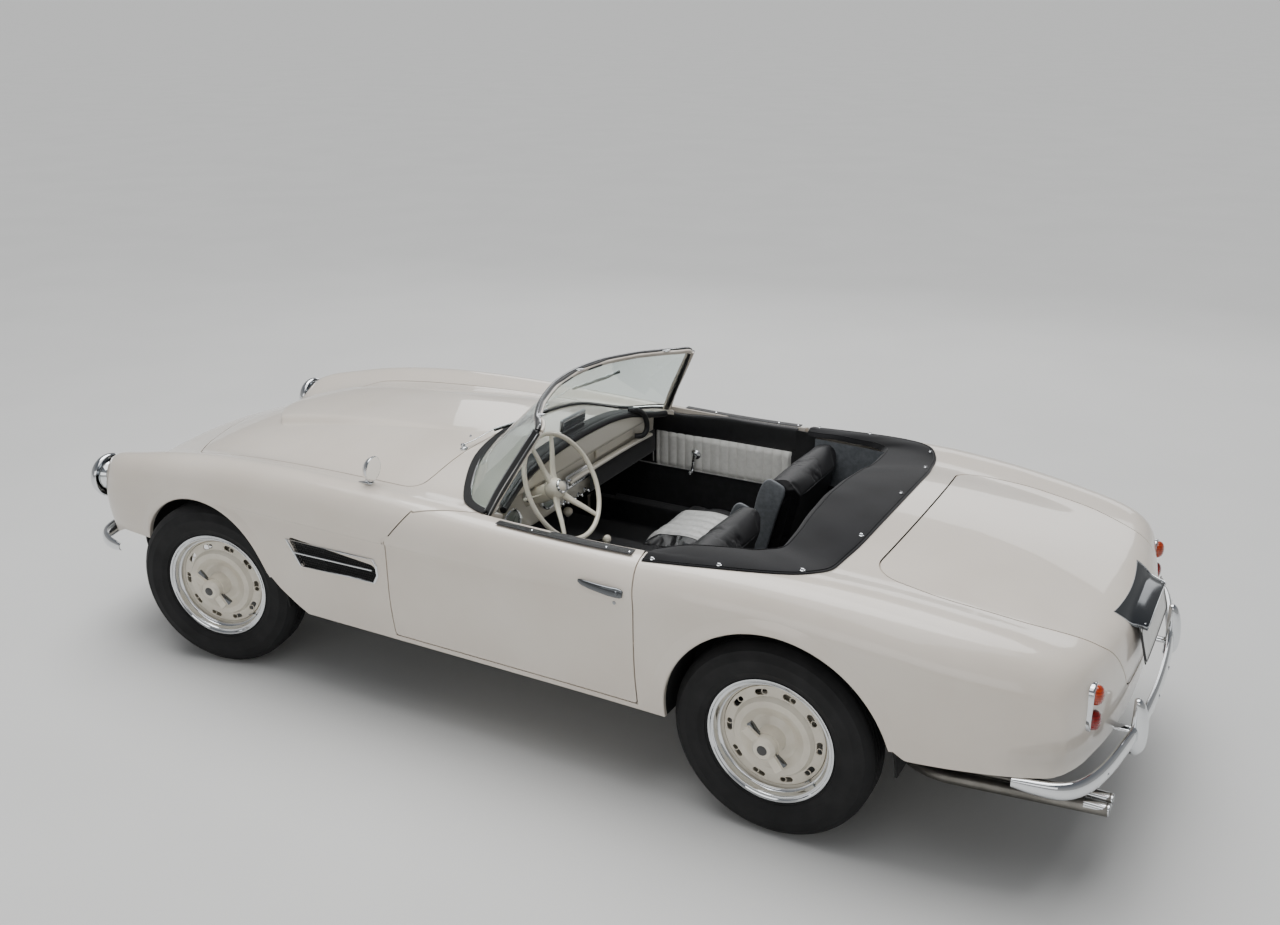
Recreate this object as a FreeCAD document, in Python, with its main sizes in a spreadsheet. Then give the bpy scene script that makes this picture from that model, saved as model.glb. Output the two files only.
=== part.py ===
import FreeCAD, Part
import math
import os
import re
from types import SimpleNamespace

Vector = FreeCAD.Vector
Rotation = FreeCAD.Rotation
Placement = FreeCAD.Placement

# A two-seat roadster with its top stowed. X points to the front of the car, Y to its left and
# Z up; the origin is on the ground, midway between nose and tail, on the centre plane.
doc = FreeCAD.newDocument("roadster")
sheet = doc.addObject("Spreadsheet::Sheet", "Sizes")

# Driving dimensions: name, value in millimetres (angles in degrees), what it is.
SIZES = [
    ("Wheelbase", 2480, "front axle to rear axle"),
    ("FrontOverhang", 818, "front axle to the front bumper's face"),
    ("RearOverhang", 1082, "rear axle to the rear bumper's face"),
    ("BodyWidth", 1650, "widest part of the rear wings"),
    ("BodyHeight", 1000, "ground to the cowl, the unit of body heights"),
    ("SkinWall", 16, "body panel with its folded edges"),
    ("PanelGap", 5, "gap round doors and lids"),
    ("SkinSeat", 0.6, "clearance under what is seated on the skin"),
    ("Seat", 0.3, "clearance between pieces that lie on each other"),
    ("Overrun", 60, "how far a cutting tool runs past what it cuts"),
    ("FrontTrack", 1445, "between the front wheels' centre planes"),
    ("RearTrack", 1425, "between the rear wheels' centre planes"),
    ("SteerAtRest", 12.7, "angle that the front wheels are turned to the left, degrees"),
    ("KingpinHalfTrack", 622.5, "centre plane to the kingpins"),
    ("TyreRadius", 351, "outer radius of a tyre"),
    ("TyreWidth", 166, "width of a tyre at its sidewalls"),
    ("TreadWidth", 124, "width of the tread between its shoulders"),
    ("ShoulderDrop", 17, "how far the shoulders lie inside the crown"),
    ("BulgeDrop", 64, "how far the widest part of the sidewall lies inside the crown"),
    ("RimSeatRadius", 203, "radius of the bead seat of a 16 inch rim"),
    ("RimFlange", 17.5, "height of the rim's flange"),
    ("RimWidth", 108, "between the rim's flanges"),
    ("RimLip", 5, "width of the rolled lip of the flange"),
    ("RimWall", 4, "thickness of the rim and the disc"),
    ("RimWell", 18, "depth of the rim's drop centre"),
    ("RimWellWidth", 44, "width of the drop centre"),
    ("DiscSlots", 10, "oval slots round the wheel disc"),
    ("SlotPitchRadius", 158, "centres of the slots from the axle"),
    ("SlotLength", 46, "length of a slot round the disc"),
    ("SlotWidth", 20, "width of a slot"),
    ("DiscWall", 5, "thickness of the disc"),
    ("DiscRing", 122, "radius of the raised ring of the disc"),
    ("DiscRingHeight", 22, "how far the ring stands out from the slots"),
    ("DiscOffset", 26, "centre plane to the slots' face"),
    ("DishRadius", 74, "radius of the dish round the hub"),
    ("DishDepth", 20, "depth of that dish below the ring"),
    ("HubRadius", 46, "radius of the hub barrel under the spinner"),
    ("CapRadius", 30, "radius of the spinner's boss"),
    ("CapFace", 126, "centre plane to the face of the spinner's boss"),
    ("EarSpan", 176, "tip to tip of the spinner's two ears"),
    ("EarWidth", 30, "width of an ear at its root"),
    ("EarTurn", 45, "turn of the nut's ears from level"),
    ("EarThickness", 12, "thickness of an ear"),
    ("DrumRadius", 142, "radius of a brake drum"),
    ("DrumWidth", 48, "width of a brake drum"),
    ("DrumOffset", 6, "centre plane to the outer face of the drum, inboard"),
    ("FrontArchRadius", 362, "radius of the front wheel opening"),
    ("FrontArchHeight", 364, "centre of that radius above the ground"),
    ("RearArchRadius", 392, "radius of the rear wheel opening"),
    ("RearArchHeight", 362, "centre of that radius above the ground"),
    ("LampBore", 88, "radius of the opening for a headlamp"),
    ("SillHeight", 335, "bottom of the sills above the ground"),
    ("DoorBottom", 360, "bottom of the doors above the ground"),
    ("DoorInner", 700, "centre plane to the doors' inner face"),
    ("StudHeight", 600, "stud in the rear jamb, against a shut door, above the ground"),
    ("StudLength", 14, "length of that stud"),
    ("LidFoot", 565, "lower edge of the boot lid above the ground"),
    ("CatchWidth", 180, "width of the catch plate behind the boot lid's lower edge"),
    ("CatchRise", 34, "how far that plate reaches up behind the lid"),
    ("CatchDrop", 24, "how far it reaches down behind the panel"),
    ("SillInner", 610, "centre plane to the sills' inner face"),
    ("SillTop", 425, "top of the sills' upstands above the ground"),
    ("TubWall", 8, "thickness of wheel tubs and inner panels"),
    ("FrontTubRadius", 402, "inner radius of the front wheel tubs"),
    ("FrontTubInner", 425, "centre plane to the inner wall of the front tubs"),
    ("RearTubRadius", 396, "inner radius of the rear wheel tubs"),
    ("RearTubInner", 578, "centre plane to the inner wall of the rear tubs"),
    ("FloorTop", 330, "top of the cabin floor above the ground"),
    ("FloorThickness", 12, "thickness of the floor and the bulkheads"),
    ("FirewallAhead", 740, "firewall ahead of the middle of the car"),
    ("RearBulkheadBehind", 800, "rear bulkhead behind the middle of the car"),
    ("WellBehind", 1290, "back of the well for the stowed top, behind the middle"),
    ("WellFloorTop", 560, "top of the floor behind the seats and of the boot"),
    ("BootBack", 1990, "back of the boot floor behind the middle"),
    ("TankFront", 1460, "front of the fuel tank behind the middle"),
    ("TankBack", 1840, "back of the fuel tank behind the middle"),
    ("TankHalfWidth", 430, "half width of the fuel tank"),
    ("EngineMount", 70, "width and height of the engine's mounting bar"),
    ("EyeRadius", 26, "radius of a wishbone's eye"),
    ("EyeHeight", 28, "height of a wishbone's eye"),
    ("TubWindow", 60, "room over the upper wishbones in the tubs"),
    ("RearArchBehind", 14, "rear wheel openings' centre behind the axle"),
    ("TunnelWidth", 270, "width of the transmission tunnel"),
    ("TunnelTop", 480, "top of the tunnel above the ground"),
    ("RailWidth", 64, "width of a frame rail"),
    ("RailBottom", 200, "bottom of the frame above the ground"),
    ("RailHalfSpread", 372, "centre plane to the middle of a rail"),
    ("CrossTube", 70, "diameter of the frame's cross tubes"),
    ("EngineLength", 620, "length of the engine"),
    ("EngineWidth", 560, "width of the engine"),
    ("EngineHeight", 500, "height of the engine"),
    ("EngineBottom", 225, "bottom of the engine above the ground"),
    ("EngineGap", 60, "firewall to the engine's back"),
    ("EngineChamfer", 70, "slope at the engine's upper edges"),
    ("GearboxLength", 560, "length of the gearbox, under the tunnel"),
    ("GearboxWidth", 200, "width of the gearbox"),
    ("RadiatorWidth", 560, "width of the radiator"),
    ("RadiatorHeight", 290, "height of the radiator"),
    ("RadiatorDepth", 70, "depth of the radiator"),
    ("RadiatorAhead", 1800, "back of the radiator ahead of the middle"),
    ("AxleTube", 76, "diameter of the rear axle's tubes"),
    ("AxleCase", 260, "diameter of the final drive's case"),
    ("BackplateThickness", 8, "thickness of a brake's backplate"),
    ("HubGap", 0.4, "running gap between a drum and what stands still"),
    ("SpringDiameter", 96, "diameter of the rear springs"),
    ("KingpinRadius", 15, "radius of a kingpin"),
    ("KingpinLow", 236, "bottom of a kingpin above the ground"),
    ("KingpinHigh", 490, "top of a kingpin above the ground"),
    ("UprightWidth", 46, "thickness of a knuckle's upright"),
    ("WishboneTube", 26, "diameter of a wishbone's tubes"),
    ("WishboneSpread", 150, "half the spread of a wishbone's inner pivots"),
    ("LowerPivotHeight", 255, "lower wishbones above the ground"),
    ("UpperPivotHeight", 470, "upper wishbones above the ground"),
    ("SteeringArm", 150, "kingpin to the steering arm's eye"),
    ("PipeDiameter", 44, "diameter of an exhaust tailpipe"),
    ("PipeSpacing", 58, "between the two pipes' centres"),
    ("PipeInner", 240, "centre plane to the exhaust under the floor"),
    ("PipeOuter", 450, "centre plane to the tailpipes"),
    ("PipeHeight", 197, "exhaust's centre above the ground"),
    ("PipeRise", 46, "rise of the tailpipes to their ends"),
    ("PipeKnee", 1547, "where the tailpipes turn straight back, behind the middle"),
    ("PipeEnd", 2114, "ends of the tailpipes behind the middle"),
    ("PipeBend", 260, "radius of the tailpipes' bends"),
    ("SilencerBack", 440, "back of the silencer behind the middle"),
    ("SilencerDiameter", 100, "diameter of the silencer"),
    ("SilencerLength", 470, "length of the silencer"),
    ("BladeHeight", 74, "height of a bumper's blade"),
    ("BladeThickness", 12, "thickness of a bumper's blade"),
    ("FrontBumperHeight", 425, "middle of the front bumper above the ground"),
    ("RearBumperHeight", 490, "middle of the rear bumper above the ground"),
    ("OverriderHeight", 190, "height of an overrider"),
    ("OverriderWidth", 46, "width of an overrider"),
    ("OverriderDepth", 52, "an overrider's front to its back"),
    ("OverriderOut", 360, "centre plane to an overrider"),
    ("BracketWidth", 40, "width of a bumper's bracket"),
    ("ScreenRail", 12, "radius of the windscreen's pillars and rail"),
    ("SealRadius", 8, "radius of the seal under the windscreen"),
    ("ScreenBend", 250, "radius of the bends along the windscreen"),
    ("ScreenCorner", 30, "radius where a pillar meets the rail"),
    ("GlassThickness", 5, "thickness of the windscreen's glass"),
    ("GlassRise", 12, "height of the glass's lower edge over the middle of its seal"),
    ("ColumnSlope", 28, "slope of the steering column in degrees"),
    ("SteeringBehind", 80, "steering wheel's centre behind the middle"),
    ("SteeringOut", 360, "centre plane to the steering wheel's centre"),
    ("SteeringHeight", 900, "steering wheel's centre above the ground"),
    ("SteeringRadius", 205, "steering wheel's centre to its rim's"),
    ("SteeringRim", 24, "thickness of the steering wheel's rim"),
    ("HubWidth", 84, "width of the steering wheel's hub"),
    ("HubDepth", 70, "depth of the steering wheel's hub"),
    ("SpokeWide", 26, "width of a spoke at the hub"),
    ("SpokeNarrow", 13, "width of a spoke at the rim"),
    ("ColumnDiameter", 48, "diameter of the steering column"),
    ("DashHalfWidth", 640, "half width of the dashboard"),
    ("DialRadius", 54, "radius of a large dial"),
    ("DialDepth", 8, "how far a dial's rim stands out"),
    ("LeverAhead", 160, "gear lever's foot ahead of the middle"),
    ("LeverLean", 40, "how far the gear lever leans back"),
    ("LeverHeight", 135, "height of the gear lever over the tunnel"),
    ("LeverRadius", 7, "radius of the levers' bars"),
    ("KnobRadius", 21, "radius of the gear knob"),
    ("PedalReach", 170, "firewall to a pedal's pad"),
    ("PedalHeight", 400, "a pedal's pad above the ground"),
    ("PedalRise", 230, "rise of a pedal's arm to the firewall"),
    ("PedalWidth", 58, "width of a pedal's pad"),
    ("SeatClearance", 5, "room between a seat and the tunnel"),
    ("SeatOuter", 602, "centre plane to a seat's outer side"),
    ("TrimThickness", 14, "thickness of a door's inner panel"),
    ("CoverThickness", 4, "thickness of the fabric cover over the well"),
    ("GrilleFrame", 13, "width of the intake's bright frame"),
    ("GrilleBar", 5, "width of a grille bar"),
    ("GrilleBars", 19, "number of grille bars"),
    ("GrilleProud", 4, "how far the intake's frame stands out"),
    ("LampProud", 8, "how far a headlamp stands out at its middle"),
    ("LampDepth", 120, "depth of a headlamp's bowl"),
    ("LampGap", 4, "room round a headlamp's bowl"),
    ("LensRadius", 190, "radius of the lens's dome"),
    ("LensBulge", 22, "how far the lens domes out"),
    ("VentProud", 2, "how far a vent's frame stands out"),
    ("VentFrame", 9, "width of a vent's frame"),
    ("TailLampOut", 580, "centre plane to the tail lamps"),
    ("TailLampLow", 600, "lower tail lamps above the ground"),
    ("TailLampPitch", 84, "between the two tail lamps of a side"),
    ("TailLampRadius", 36, "radius of a tail lamp"),
    ("TailLampDepth", 26, "how far a tail lamp stands out"),
    ("PlateTop", 742, "top of the number plate above the ground"),
    ("PlateWidth", 440, "width of the number plate"),
    ("PlateHeight", 120, "height of the number plate"),
    ("PlateThickness", 3, "thickness of the number plate"),
    ("PlateStand", 24, "how far the plate stands off the lid"),
    ("PlateLamp", 300, "width of the housing over the plate"),
    ("HandleFront", 421, "front of a door handle behind the middle"),
    ("HandleLength", 160, "length of a door handle"),
    ("HandleHeight", 770, "rear of a door handle above the ground"),
    ("HandleDrop", 15, "fall of a door handle from front to rear"),
    ("HandleFoot", 12, "radius of a door handle's grip at its rear"),
    ("MirrorAhead", 560, "wing mirror's foot ahead of the middle"),
    ("MirrorOut", 680, "centre plane to the wing mirror"),
    ("MirrorRise", 62, "height of a mirror over the skin"),
    ("MirrorStem", 12, "width of a mirror's stem"),
    ("MirrorRadius", 48, "radius of the wing mirror's head"),
    ("MirrorWide", 170, "width of the inside mirror"),
    ("WiperPivot", 11, "radius of a wiper's pivot"),
    ("WiperArm", 3.5, "radius of a wiper's arm"),
    ("WiperLength", 330, "length of a wiper"),
]


def readSizes(table):
    """Writes the table into the sheet and reads each named size back from it."""
    for row, (alias, value, note) in enumerate(table, start=1):
        sheet.set(f"A{row}", note)
        sheet.set(f"B{row}", str(value))
        sheet.setAlias(f"B{row}", alias)
    doc.recompute()
    return SimpleNamespace(**{alias: float(sheet.get(alias)) for alias, value, note in table})


size = readSizes(SIZES)
halfWidth = size.BodyWidth / 2
overallLength = size.FrontOverhang + size.Wheelbase + size.RearOverhang
frontAxleX = overallLength / 2 - size.FrontOverhang
rearAxleX = frontAxleX - size.Wheelbase
FRONT_AXLE = "((Wheelbase + RearOverhang - FrontOverhang) / 2)"
REAR_AXLE = "((RearOverhang - FrontOverhang - Wheelbase) / 2)"
SIDES = {"left": 1, "right": -1}
nodes = {}


def sized(expression):
    """The expression with each size's name pointing at the sheet."""
    return re.sub(r"\b[A-Z][A-Za-z]+\b", r"Sizes.\g<0>", str(expression))


def bind(piece, **places):
    """Binds a piece's dimensions, and its place as x, y and z, to the sheet."""
    for name, expression in places.items():
        path = f".Placement.Base.{name}" if name in ("x", "y", "z") else name
        piece.setExpression(path, sized(expression))
    return piece


def box(name, length, width, height, x="0", y="0", z="0"):
    piece = doc.addObject("Part::Box", name)
    return bind(piece, Length=length, Width=width, Height=height, x=x, y=y, z=z)


AXIS_TURNS = {"x": Rotation(Vector(0, 1, 0), 90), "y": Rotation(Vector(1, 0, 0), -90), "z": Rotation()}


def cylinder(name, radius, height, x="0", y="0", z="0", axis="z"):
    piece = doc.addObject("Part::Cylinder", name)
    piece.Placement = Placement(Vector(), AXIS_TURNS[axis])
    return bind(piece, Radius=radius, Height=height, x=x, y=y, z=z)


def joined(name, pieces):
    piece = doc.addObject("Part::MultiFuse", name)
    piece.Shapes = pieces
    return piece


def cutBy(name, base, tool):
    piece = doc.addObject("Part::Cut", name)
    piece.Base = base
    piece.Tool = tool
    return piece


def mirrored(name, source):
    """The same piece on the other side of the centre plane."""
    piece = doc.addObject("Part::Mirroring", name)
    piece.Source = source
    piece.Base = Vector(0, 0, 0)
    piece.Normal = Vector(0, 1, 0)
    return piece


def grouped(name, pieces):
    """Like pieces that don't touch, kept as one node."""
    piece = doc.addObject("Part::Compound", name)
    piece.Links = pieces
    return piece


def feature(name, shape):
    piece = doc.addObject("Part::Feature", name)
    piece.Shape = shape
    return piece


def node(label, piece):
    """Names a finished sub-part; its name is also its file's."""
    piece.Label = label
    nodes[label] = piece
    return piece


def along(share):
    """X of a station: 0 is the rear axle, 1 the front axle, -1 the tail and 2 the nose."""
    if share > 1:
        return frontAxleX + (share - 1) * size.FrontOverhang
    if share < 0:
        return rearAxleX + share * size.RearOverhang
    return rearAxleX + share * size.Wheelbase


# Body skin: rows of control points from nose to tail, each running from the centre line out
# over the wing and down the side. Every place is a share: lengthwise of wheelbase or
# overhang, across of the half width, up of the body height.
MIDDLE_STATION_SHARES = [1.58, 1.34, 1.02, 0.91, 0.81, 0.70, 0.59, 0.47,
                         0.35, 0.23, 0.12, 0.0, -0.24, -0.46, -0.64, -0.76]
ACROSS_SHARES = {
    "centre": [0.0] * 16,
    "crown": [0.235, 0.24, 0.245, 0.25, 0.25, 0.25, 0.25, 0.25,
              0.25, 0.25, 0.25, 0.25, 0.25, 0.245, 0.24, 0.235],
    "panel": [0.44, 0.45, 0.46, 0.47, 0.475, 0.48, 0.48, 0.48,
              0.48, 0.48, 0.47, 0.46, 0.46, 0.455, 0.45, 0.44],
    "valley": [0.625, 0.645, 0.66, 0.67, 0.68, 0.685, 0.69, 0.69,
               0.69, 0.69, 0.675, 0.655, 0.64, 0.625, 0.61, 0.6],
    "inner_wing": [0.735, 0.75, 0.762, 0.768, 0.772, 0.775, 0.778, 0.78,
                   0.782, 0.782, 0.77, 0.755, 0.735, 0.715, 0.695, 0.68],
    "wing_top": [0.825, 0.838, 0.848, 0.852, 0.855, 0.857, 0.86, 0.86,
                 0.86, 0.86, 0.852, 0.84, 0.82, 0.8, 0.775, 0.755],
    "shoulder": [0.895, 0.915, 0.927, 0.934, 0.938, 0.94, 0.941, 0.942,
                 0.943, 0.943, 0.943, 0.936, 0.918, 0.893, 0.862, 0.837],
    "upper_side": [0.937, 0.955, 0.968, 0.976, 0.981, 0.984, 0.984, 0.983,
                   0.983, 0.984, 0.99, 0.996, 0.986, 0.965, 0.93, 0.893],
    "lip_top": [0.951, 0.966, 0.978, 0.986, 0.99, 0.992, 0.992, 0.991,
                0.989, 0.988, 0.994, 1.0, 0.994, 0.975, 0.94, 0.902],
    "lip": [0.954, 0.968, 0.979, 0.987, 0.991, 0.993, 0.993, 0.992,
            0.99, 0.989, 0.995, 1.001, 0.996, 0.977, 0.942, 0.904],
    "under_lip": [0.955, 0.968, 0.976, 0.978, 0.98, 0.982, 0.982, 0.983,
                  0.985, 0.988, 0.995, 1.002, 0.997, 0.978, 0.943, 0.905],
    "inset": [0.956, 0.968, 0.972, 0.970, 0.970, 0.972, 0.974, 0.977,
              0.981, 0.987, 0.995, 1.002, 0.998, 0.979, 0.944, 0.906],
    "side": [0.952, 0.968, 0.975, 0.975, 0.975, 0.976, 0.977, 0.979,
             0.981, 0.985, 0.994, 1.002, 0.998, 0.982, 0.95, 0.913],
    "low_side": [0.928, 0.955, 0.968, 0.97, 0.97, 0.97, 0.97, 0.97,
                 0.971, 0.973, 0.982, 0.988, 0.98, 0.962, 0.926, 0.888],
    "edge": [0.873, 0.895, 0.91, 0.915, 0.92, 0.92, 0.92, 0.92,
             0.92, 0.922, 0.927, 0.932, 0.92, 0.896, 0.86, 0.824],
}
HEIGHT_SHARES = {
    "centre": [0.772, 0.845, 0.904, 0.938, 0.965, 0.984, 0.99, 0.985,
               0.972, 0.96, 0.95, 0.943, 0.927, 0.894, 0.851, 0.815],
    "crown": [0.758, 0.834, 0.894, 0.93, 0.958, 0.978, 0.986, 0.98,
              0.967, 0.955, 0.945, 0.938, 0.922, 0.89, 0.848, 0.812],
    "panel": [0.738, 0.815, 0.868, 0.902, 0.927, 0.948, 0.958, 0.951,
              0.938, 0.928, 0.922, 0.917, 0.905, 0.876, 0.84, 0.808],
    "valley": [0.735, 0.793, 0.833, 0.853, 0.867, 0.878, 0.885, 0.882,
               0.877, 0.876, 0.882, 0.886, 0.876, 0.85, 0.826, 0.802],
    "inner_wing": [0.78, 0.828, 0.864, 0.88, 0.887, 0.887, 0.886, 0.88,
                   0.877, 0.879, 0.893, 0.905, 0.896, 0.87, 0.842, 0.815],
    "wing_top": [0.815, 0.859, 0.892, 0.909, 0.916, 0.915, 0.908, 0.895,
                 0.887, 0.887, 0.902, 0.914, 0.903, 0.876, 0.846, 0.82],
    "shoulder": [0.79, 0.832, 0.866, 0.882, 0.889, 0.889, 0.883, 0.87,
                 0.86, 0.86, 0.874, 0.887, 0.877, 0.85, 0.82, 0.795],
    "upper_side": [0.742, 0.778, 0.806, 0.818, 0.822, 0.818, 0.81, 0.80,
                   0.794, 0.794, 0.802, 0.812, 0.802, 0.776, 0.748, 0.727],
    "lip_top": [0.70, 0.733, 0.755, 0.758, 0.759, 0.758, 0.758, 0.76,
                0.762, 0.763, 0.763, 0.764, 0.757, 0.737, 0.715, 0.70],
    "lip": [0.69, 0.722, 0.744, 0.745, 0.745, 0.745, 0.745, 0.747,
            0.749, 0.75, 0.751, 0.752, 0.745, 0.726, 0.705, 0.69],
    "under_lip": [0.68, 0.711, 0.736, 0.739, 0.739, 0.739, 0.739, 0.741,
                  0.742, 0.742, 0.742, 0.742, 0.735, 0.716, 0.695, 0.68],
    "inset": [0.665, 0.695, 0.72, 0.726, 0.726, 0.726, 0.726, 0.727,
              0.727, 0.727, 0.727, 0.725, 0.717, 0.70, 0.68, 0.665],
    "side": [0.56, 0.575, 0.58, 0.58, 0.58, 0.58, 0.58, 0.58,
             0.58, 0.58, 0.58, 0.58, 0.575, 0.57, 0.565, 0.56],
    "low_side": [0.43, 0.43, 0.43, 0.43, 0.43, 0.43, 0.43, 0.43,
                 0.43, 0.43, 0.43, 0.43, 0.43, 0.43, 0.43, 0.43],
    "edge": [0.25] * 16,
}
COLUMNS = list(ACROSS_SHARES)
# How far the side columns of the end rows lie back from their station, as the rows fan
# round the corners, from the centre column to the edge column.
FAN_SHARES = [0, 0, 0, 0, 0, 0, 0.15, 0.35, 0.45, 0.48, 0.52, 0.56, 0.75, 0.9, 1.0]
NOSE_FAN_SHARES = {1.58: -0.19, 1.34: -0.12}
TAIL_FAN_SHARES = {-0.64: 0.05, -0.76: 0.07}
# Nose and tail rows: lengthwise, across and height shares of each column.
NOSE_ROW_SHARES = [
    ("bottom", [
        (1.79, 0.0, 0.25), (1.785, 0.19, 0.25), (1.77, 0.38, 0.25), (1.755, 0.52, 0.25),
        (1.745, 0.61, 0.25), (1.735, 0.70, 0.25), (1.715, 0.77, 0.25), (1.69, 0.82, 0.25),
        (1.685, 0.833, 0.25), (1.682, 0.84, 0.25), (1.68, 0.846, 0.25), (1.675, 0.85, 0.25),
        (1.66, 0.858, 0.25), (1.635, 0.85, 0.25), (1.61, 0.83, 0.25)]),
    ("chin", [
        (1.91, 0.0, 0.44), (1.90, 0.20, 0.44), (1.875, 0.41, 0.44), (1.845, 0.55, 0.445),
        (1.84, 0.64, 0.46), (1.83, 0.735, 0.485), (1.795, 0.81, 0.48), (1.75, 0.865, 0.46),
        (1.735, 0.878, 0.455), (1.73, 0.883, 0.45), (1.725, 0.888, 0.445), (1.72, 0.893, 0.44),
        (1.69, 0.90, 0.41), (1.64, 0.88, 0.35), (1.60, 0.835, 0.25)]),
    ("leading edge", [
        (1.97, 0.0, 0.60), (1.955, 0.21, 0.598), (1.92, 0.42, 0.594), (1.88, 0.56, 0.60),
        (1.88, 0.655, 0.635), (1.885, 0.75, 0.68), (1.84, 0.835, 0.665), (1.78, 0.89, 0.62),
        (1.76, 0.905, 0.602), (1.75, 0.91, 0.592), (1.74, 0.914, 0.585), (1.73, 0.917, 0.575),
        (1.68, 0.92, 0.50), (1.62, 0.90, 0.40), (1.57, 0.85, 0.25)]),
    ("upper nose", [
        (1.875, 0.0, 0.70), (1.865, 0.225, 0.696), (1.84, 0.43, 0.685), (1.81, 0.58, 0.685),
        (1.815, 0.68, 0.73), (1.82, 0.775, 0.785), (1.765, 0.86, 0.76), (1.70, 0.92, 0.70),
        (1.68, 0.935, 0.668), (1.67, 0.938, 0.657), (1.66, 0.94, 0.648), (1.65, 0.942, 0.636),
        (1.60, 0.942, 0.54), (1.55, 0.92, 0.42), (1.50, 0.865, 0.25)]),
]
TAIL_ROW_SHARES = [
    ("upper tail", [
        (-0.895, 0.0, 0.777), (-0.892, 0.22, 0.776), (-0.88, 0.425, 0.773),
        (-0.866, 0.565, 0.77), (-0.855, 0.645, 0.775), (-0.845, 0.725, 0.776),
        (-0.83, 0.805, 0.756), (-0.808, 0.862, 0.705), (-0.802, 0.872, 0.69),
        (-0.796, 0.876, 0.68), (-0.79, 0.878, 0.67), (-0.783, 0.88, 0.66),
        (-0.765, 0.888, 0.57), (-0.742, 0.87, 0.44), (-0.715, 0.81, 0.25)]),
    ("tail edge", [
        (-0.93, 0.0, 0.68), (-0.926, 0.205, 0.678), (-0.912, 0.41, 0.674),
        (-0.894, 0.545, 0.67), (-0.882, 0.63, 0.674), (-0.872, 0.71, 0.678),
        (-0.856, 0.78, 0.662), (-0.833, 0.835, 0.628), (-0.826, 0.845, 0.617),
        (-0.821, 0.849, 0.61), (-0.817, 0.852, 0.603), (-0.812, 0.855, 0.594),
        (-0.796, 0.86, 0.52), (-0.777, 0.845, 0.42), (-0.75, 0.80, 0.25)]),
    ("lower tail", [
        (-0.94, 0.0, 0.50), (-0.935, 0.195, 0.50), (-0.922, 0.40, 0.50), (-0.904, 0.53, 0.495),
        (-0.883, 0.615, 0.49), (-0.87, 0.69, 0.488), (-0.85, 0.75, 0.48), (-0.828, 0.80, 0.47),
        (-0.822, 0.808, 0.462), (-0.818, 0.812, 0.456), (-0.815, 0.815, 0.45),
        (-0.81, 0.818, 0.445), (-0.80, 0.825, 0.41), (-0.785, 0.815, 0.35), (-0.765, 0.785, 0.25)]),
    ("bottom", [
        (-0.88, 0.0, 0.25), (-0.875, 0.18, 0.25), (-0.865, 0.37, 0.25), (-0.855, 0.50, 0.25),
        (-0.845, 0.58, 0.25), (-0.835, 0.65, 0.25), (-0.82, 0.71, 0.25), (-0.80, 0.75, 0.25),
        (-0.796, 0.757, 0.25), (-0.793, 0.76, 0.25), (-0.792, 0.764, 0.25),
        (-0.79, 0.767, 0.25), (-0.785, 0.775, 0.25), (-0.778, 0.772, 0.25), (-0.772, 0.765, 0.25)]),
]


def bodyPoint(lengthShare, acrossShare, heightShare):
    return Vector(along(lengthShare), acrossShare * halfWidth, heightShare * size.BodyHeight)


def leftRows():
    """The left half's rows of control points, nose to tail, each from the centre to the edge."""
    rows = [[bodyPoint(*place) for place in places] for name, places in NOSE_ROW_SHARES]
    for i, station in enumerate(MIDDLE_STATION_SHARES):
        fan = {**NOSE_FAN_SHARES, **TAIL_FAN_SHARES}.get(station, 0)
        rows.append([bodyPoint(station + fan * FAN_SHARES[j], ACROSS_SHARES[c][i], HEIGHT_SHARES[c][i])
                     for j, c in enumerate(COLUMNS)])
    rows += [[bodyPoint(*place) for place in places] for name, places in TAIL_ROW_SHARES]
    return rows


def fullRows(rows):
    """Mirrors each row, so that it runs from the right edge over the centre to the left edge."""
    return [[Vector(p.x, -p.y, p.z) for p in reversed(row[1:])] + row for row in rows]


def insetRows(rows, depth, floor):
    """The rows moved inwards by depth along the skin's normals, with the edge kept on the floor plane."""
    moved = []
    last = len(rows) - 1
    for i, row in enumerate(rows):
        line = []
        end = len(row) - 1
        for j, p in enumerate(row):
            a = min(max(i, 1), last - 1)
            b = min(max(j, 1), end - 1)
            lengthwise = rows[a - 1][b] - rows[a + 1][b]
            across = rows[a][b + 1] - rows[a][b - 1]
            normal = lengthwise.cross(across)
            onEdge = i in (0, last) or j in (0, end)
            if onEdge:
                normal.z = 0
            normal.normalize()
            q = p - normal * depth
            if onEdge:
                q.z = floor
            line.append(q)
        moved.append(line)
    return moved


def clampedKnots(count, degree):
    inner = count - degree - 1
    knots = list(range(inner + 2))
    mults = [degree + 1] + [1] * inner + [degree + 1]
    return knots, mults


def skinFace(rows):
    surface = Part.BSplineSurface()
    uKnots, uMults = clampedKnots(len(rows), 3)
    vKnots, vMults = clampedKnots(len(rows[0]), 3)
    surface.buildFromPolesMultsKnots(rows, uMults, vMults, uKnots, vKnots, False, False, 3, 3)
    return surface.toShape()


def closedBody(rows):
    """Solid under the skin, closed by a flat bottom."""
    skin = skinFace(rows)
    bottom = Part.Face(Part.Wire(Part.__sortEdges__(skin.Edges)))
    return positive(Part.Solid(Part.Shell([skin, bottom])))


def bodyShell(outerRows, innerRows):
    """The skin with its wall: outer and inner faces joined by a flat rim round the bottom."""
    outer = skinFace(outerRows)
    inner = skinFace(innerRows)
    outline = Part.Wire(Part.__sortEdges__(outer.Edges))
    hole = Part.Wire(Part.__sortEdges__(inner.Edges))
    hole.reverse()
    rim = Part.Face([outline, hole])
    shell = Part.Shell([outer, inner, rim])
    shell.sewShape()
    return positive(Part.Solid(shell))


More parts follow.
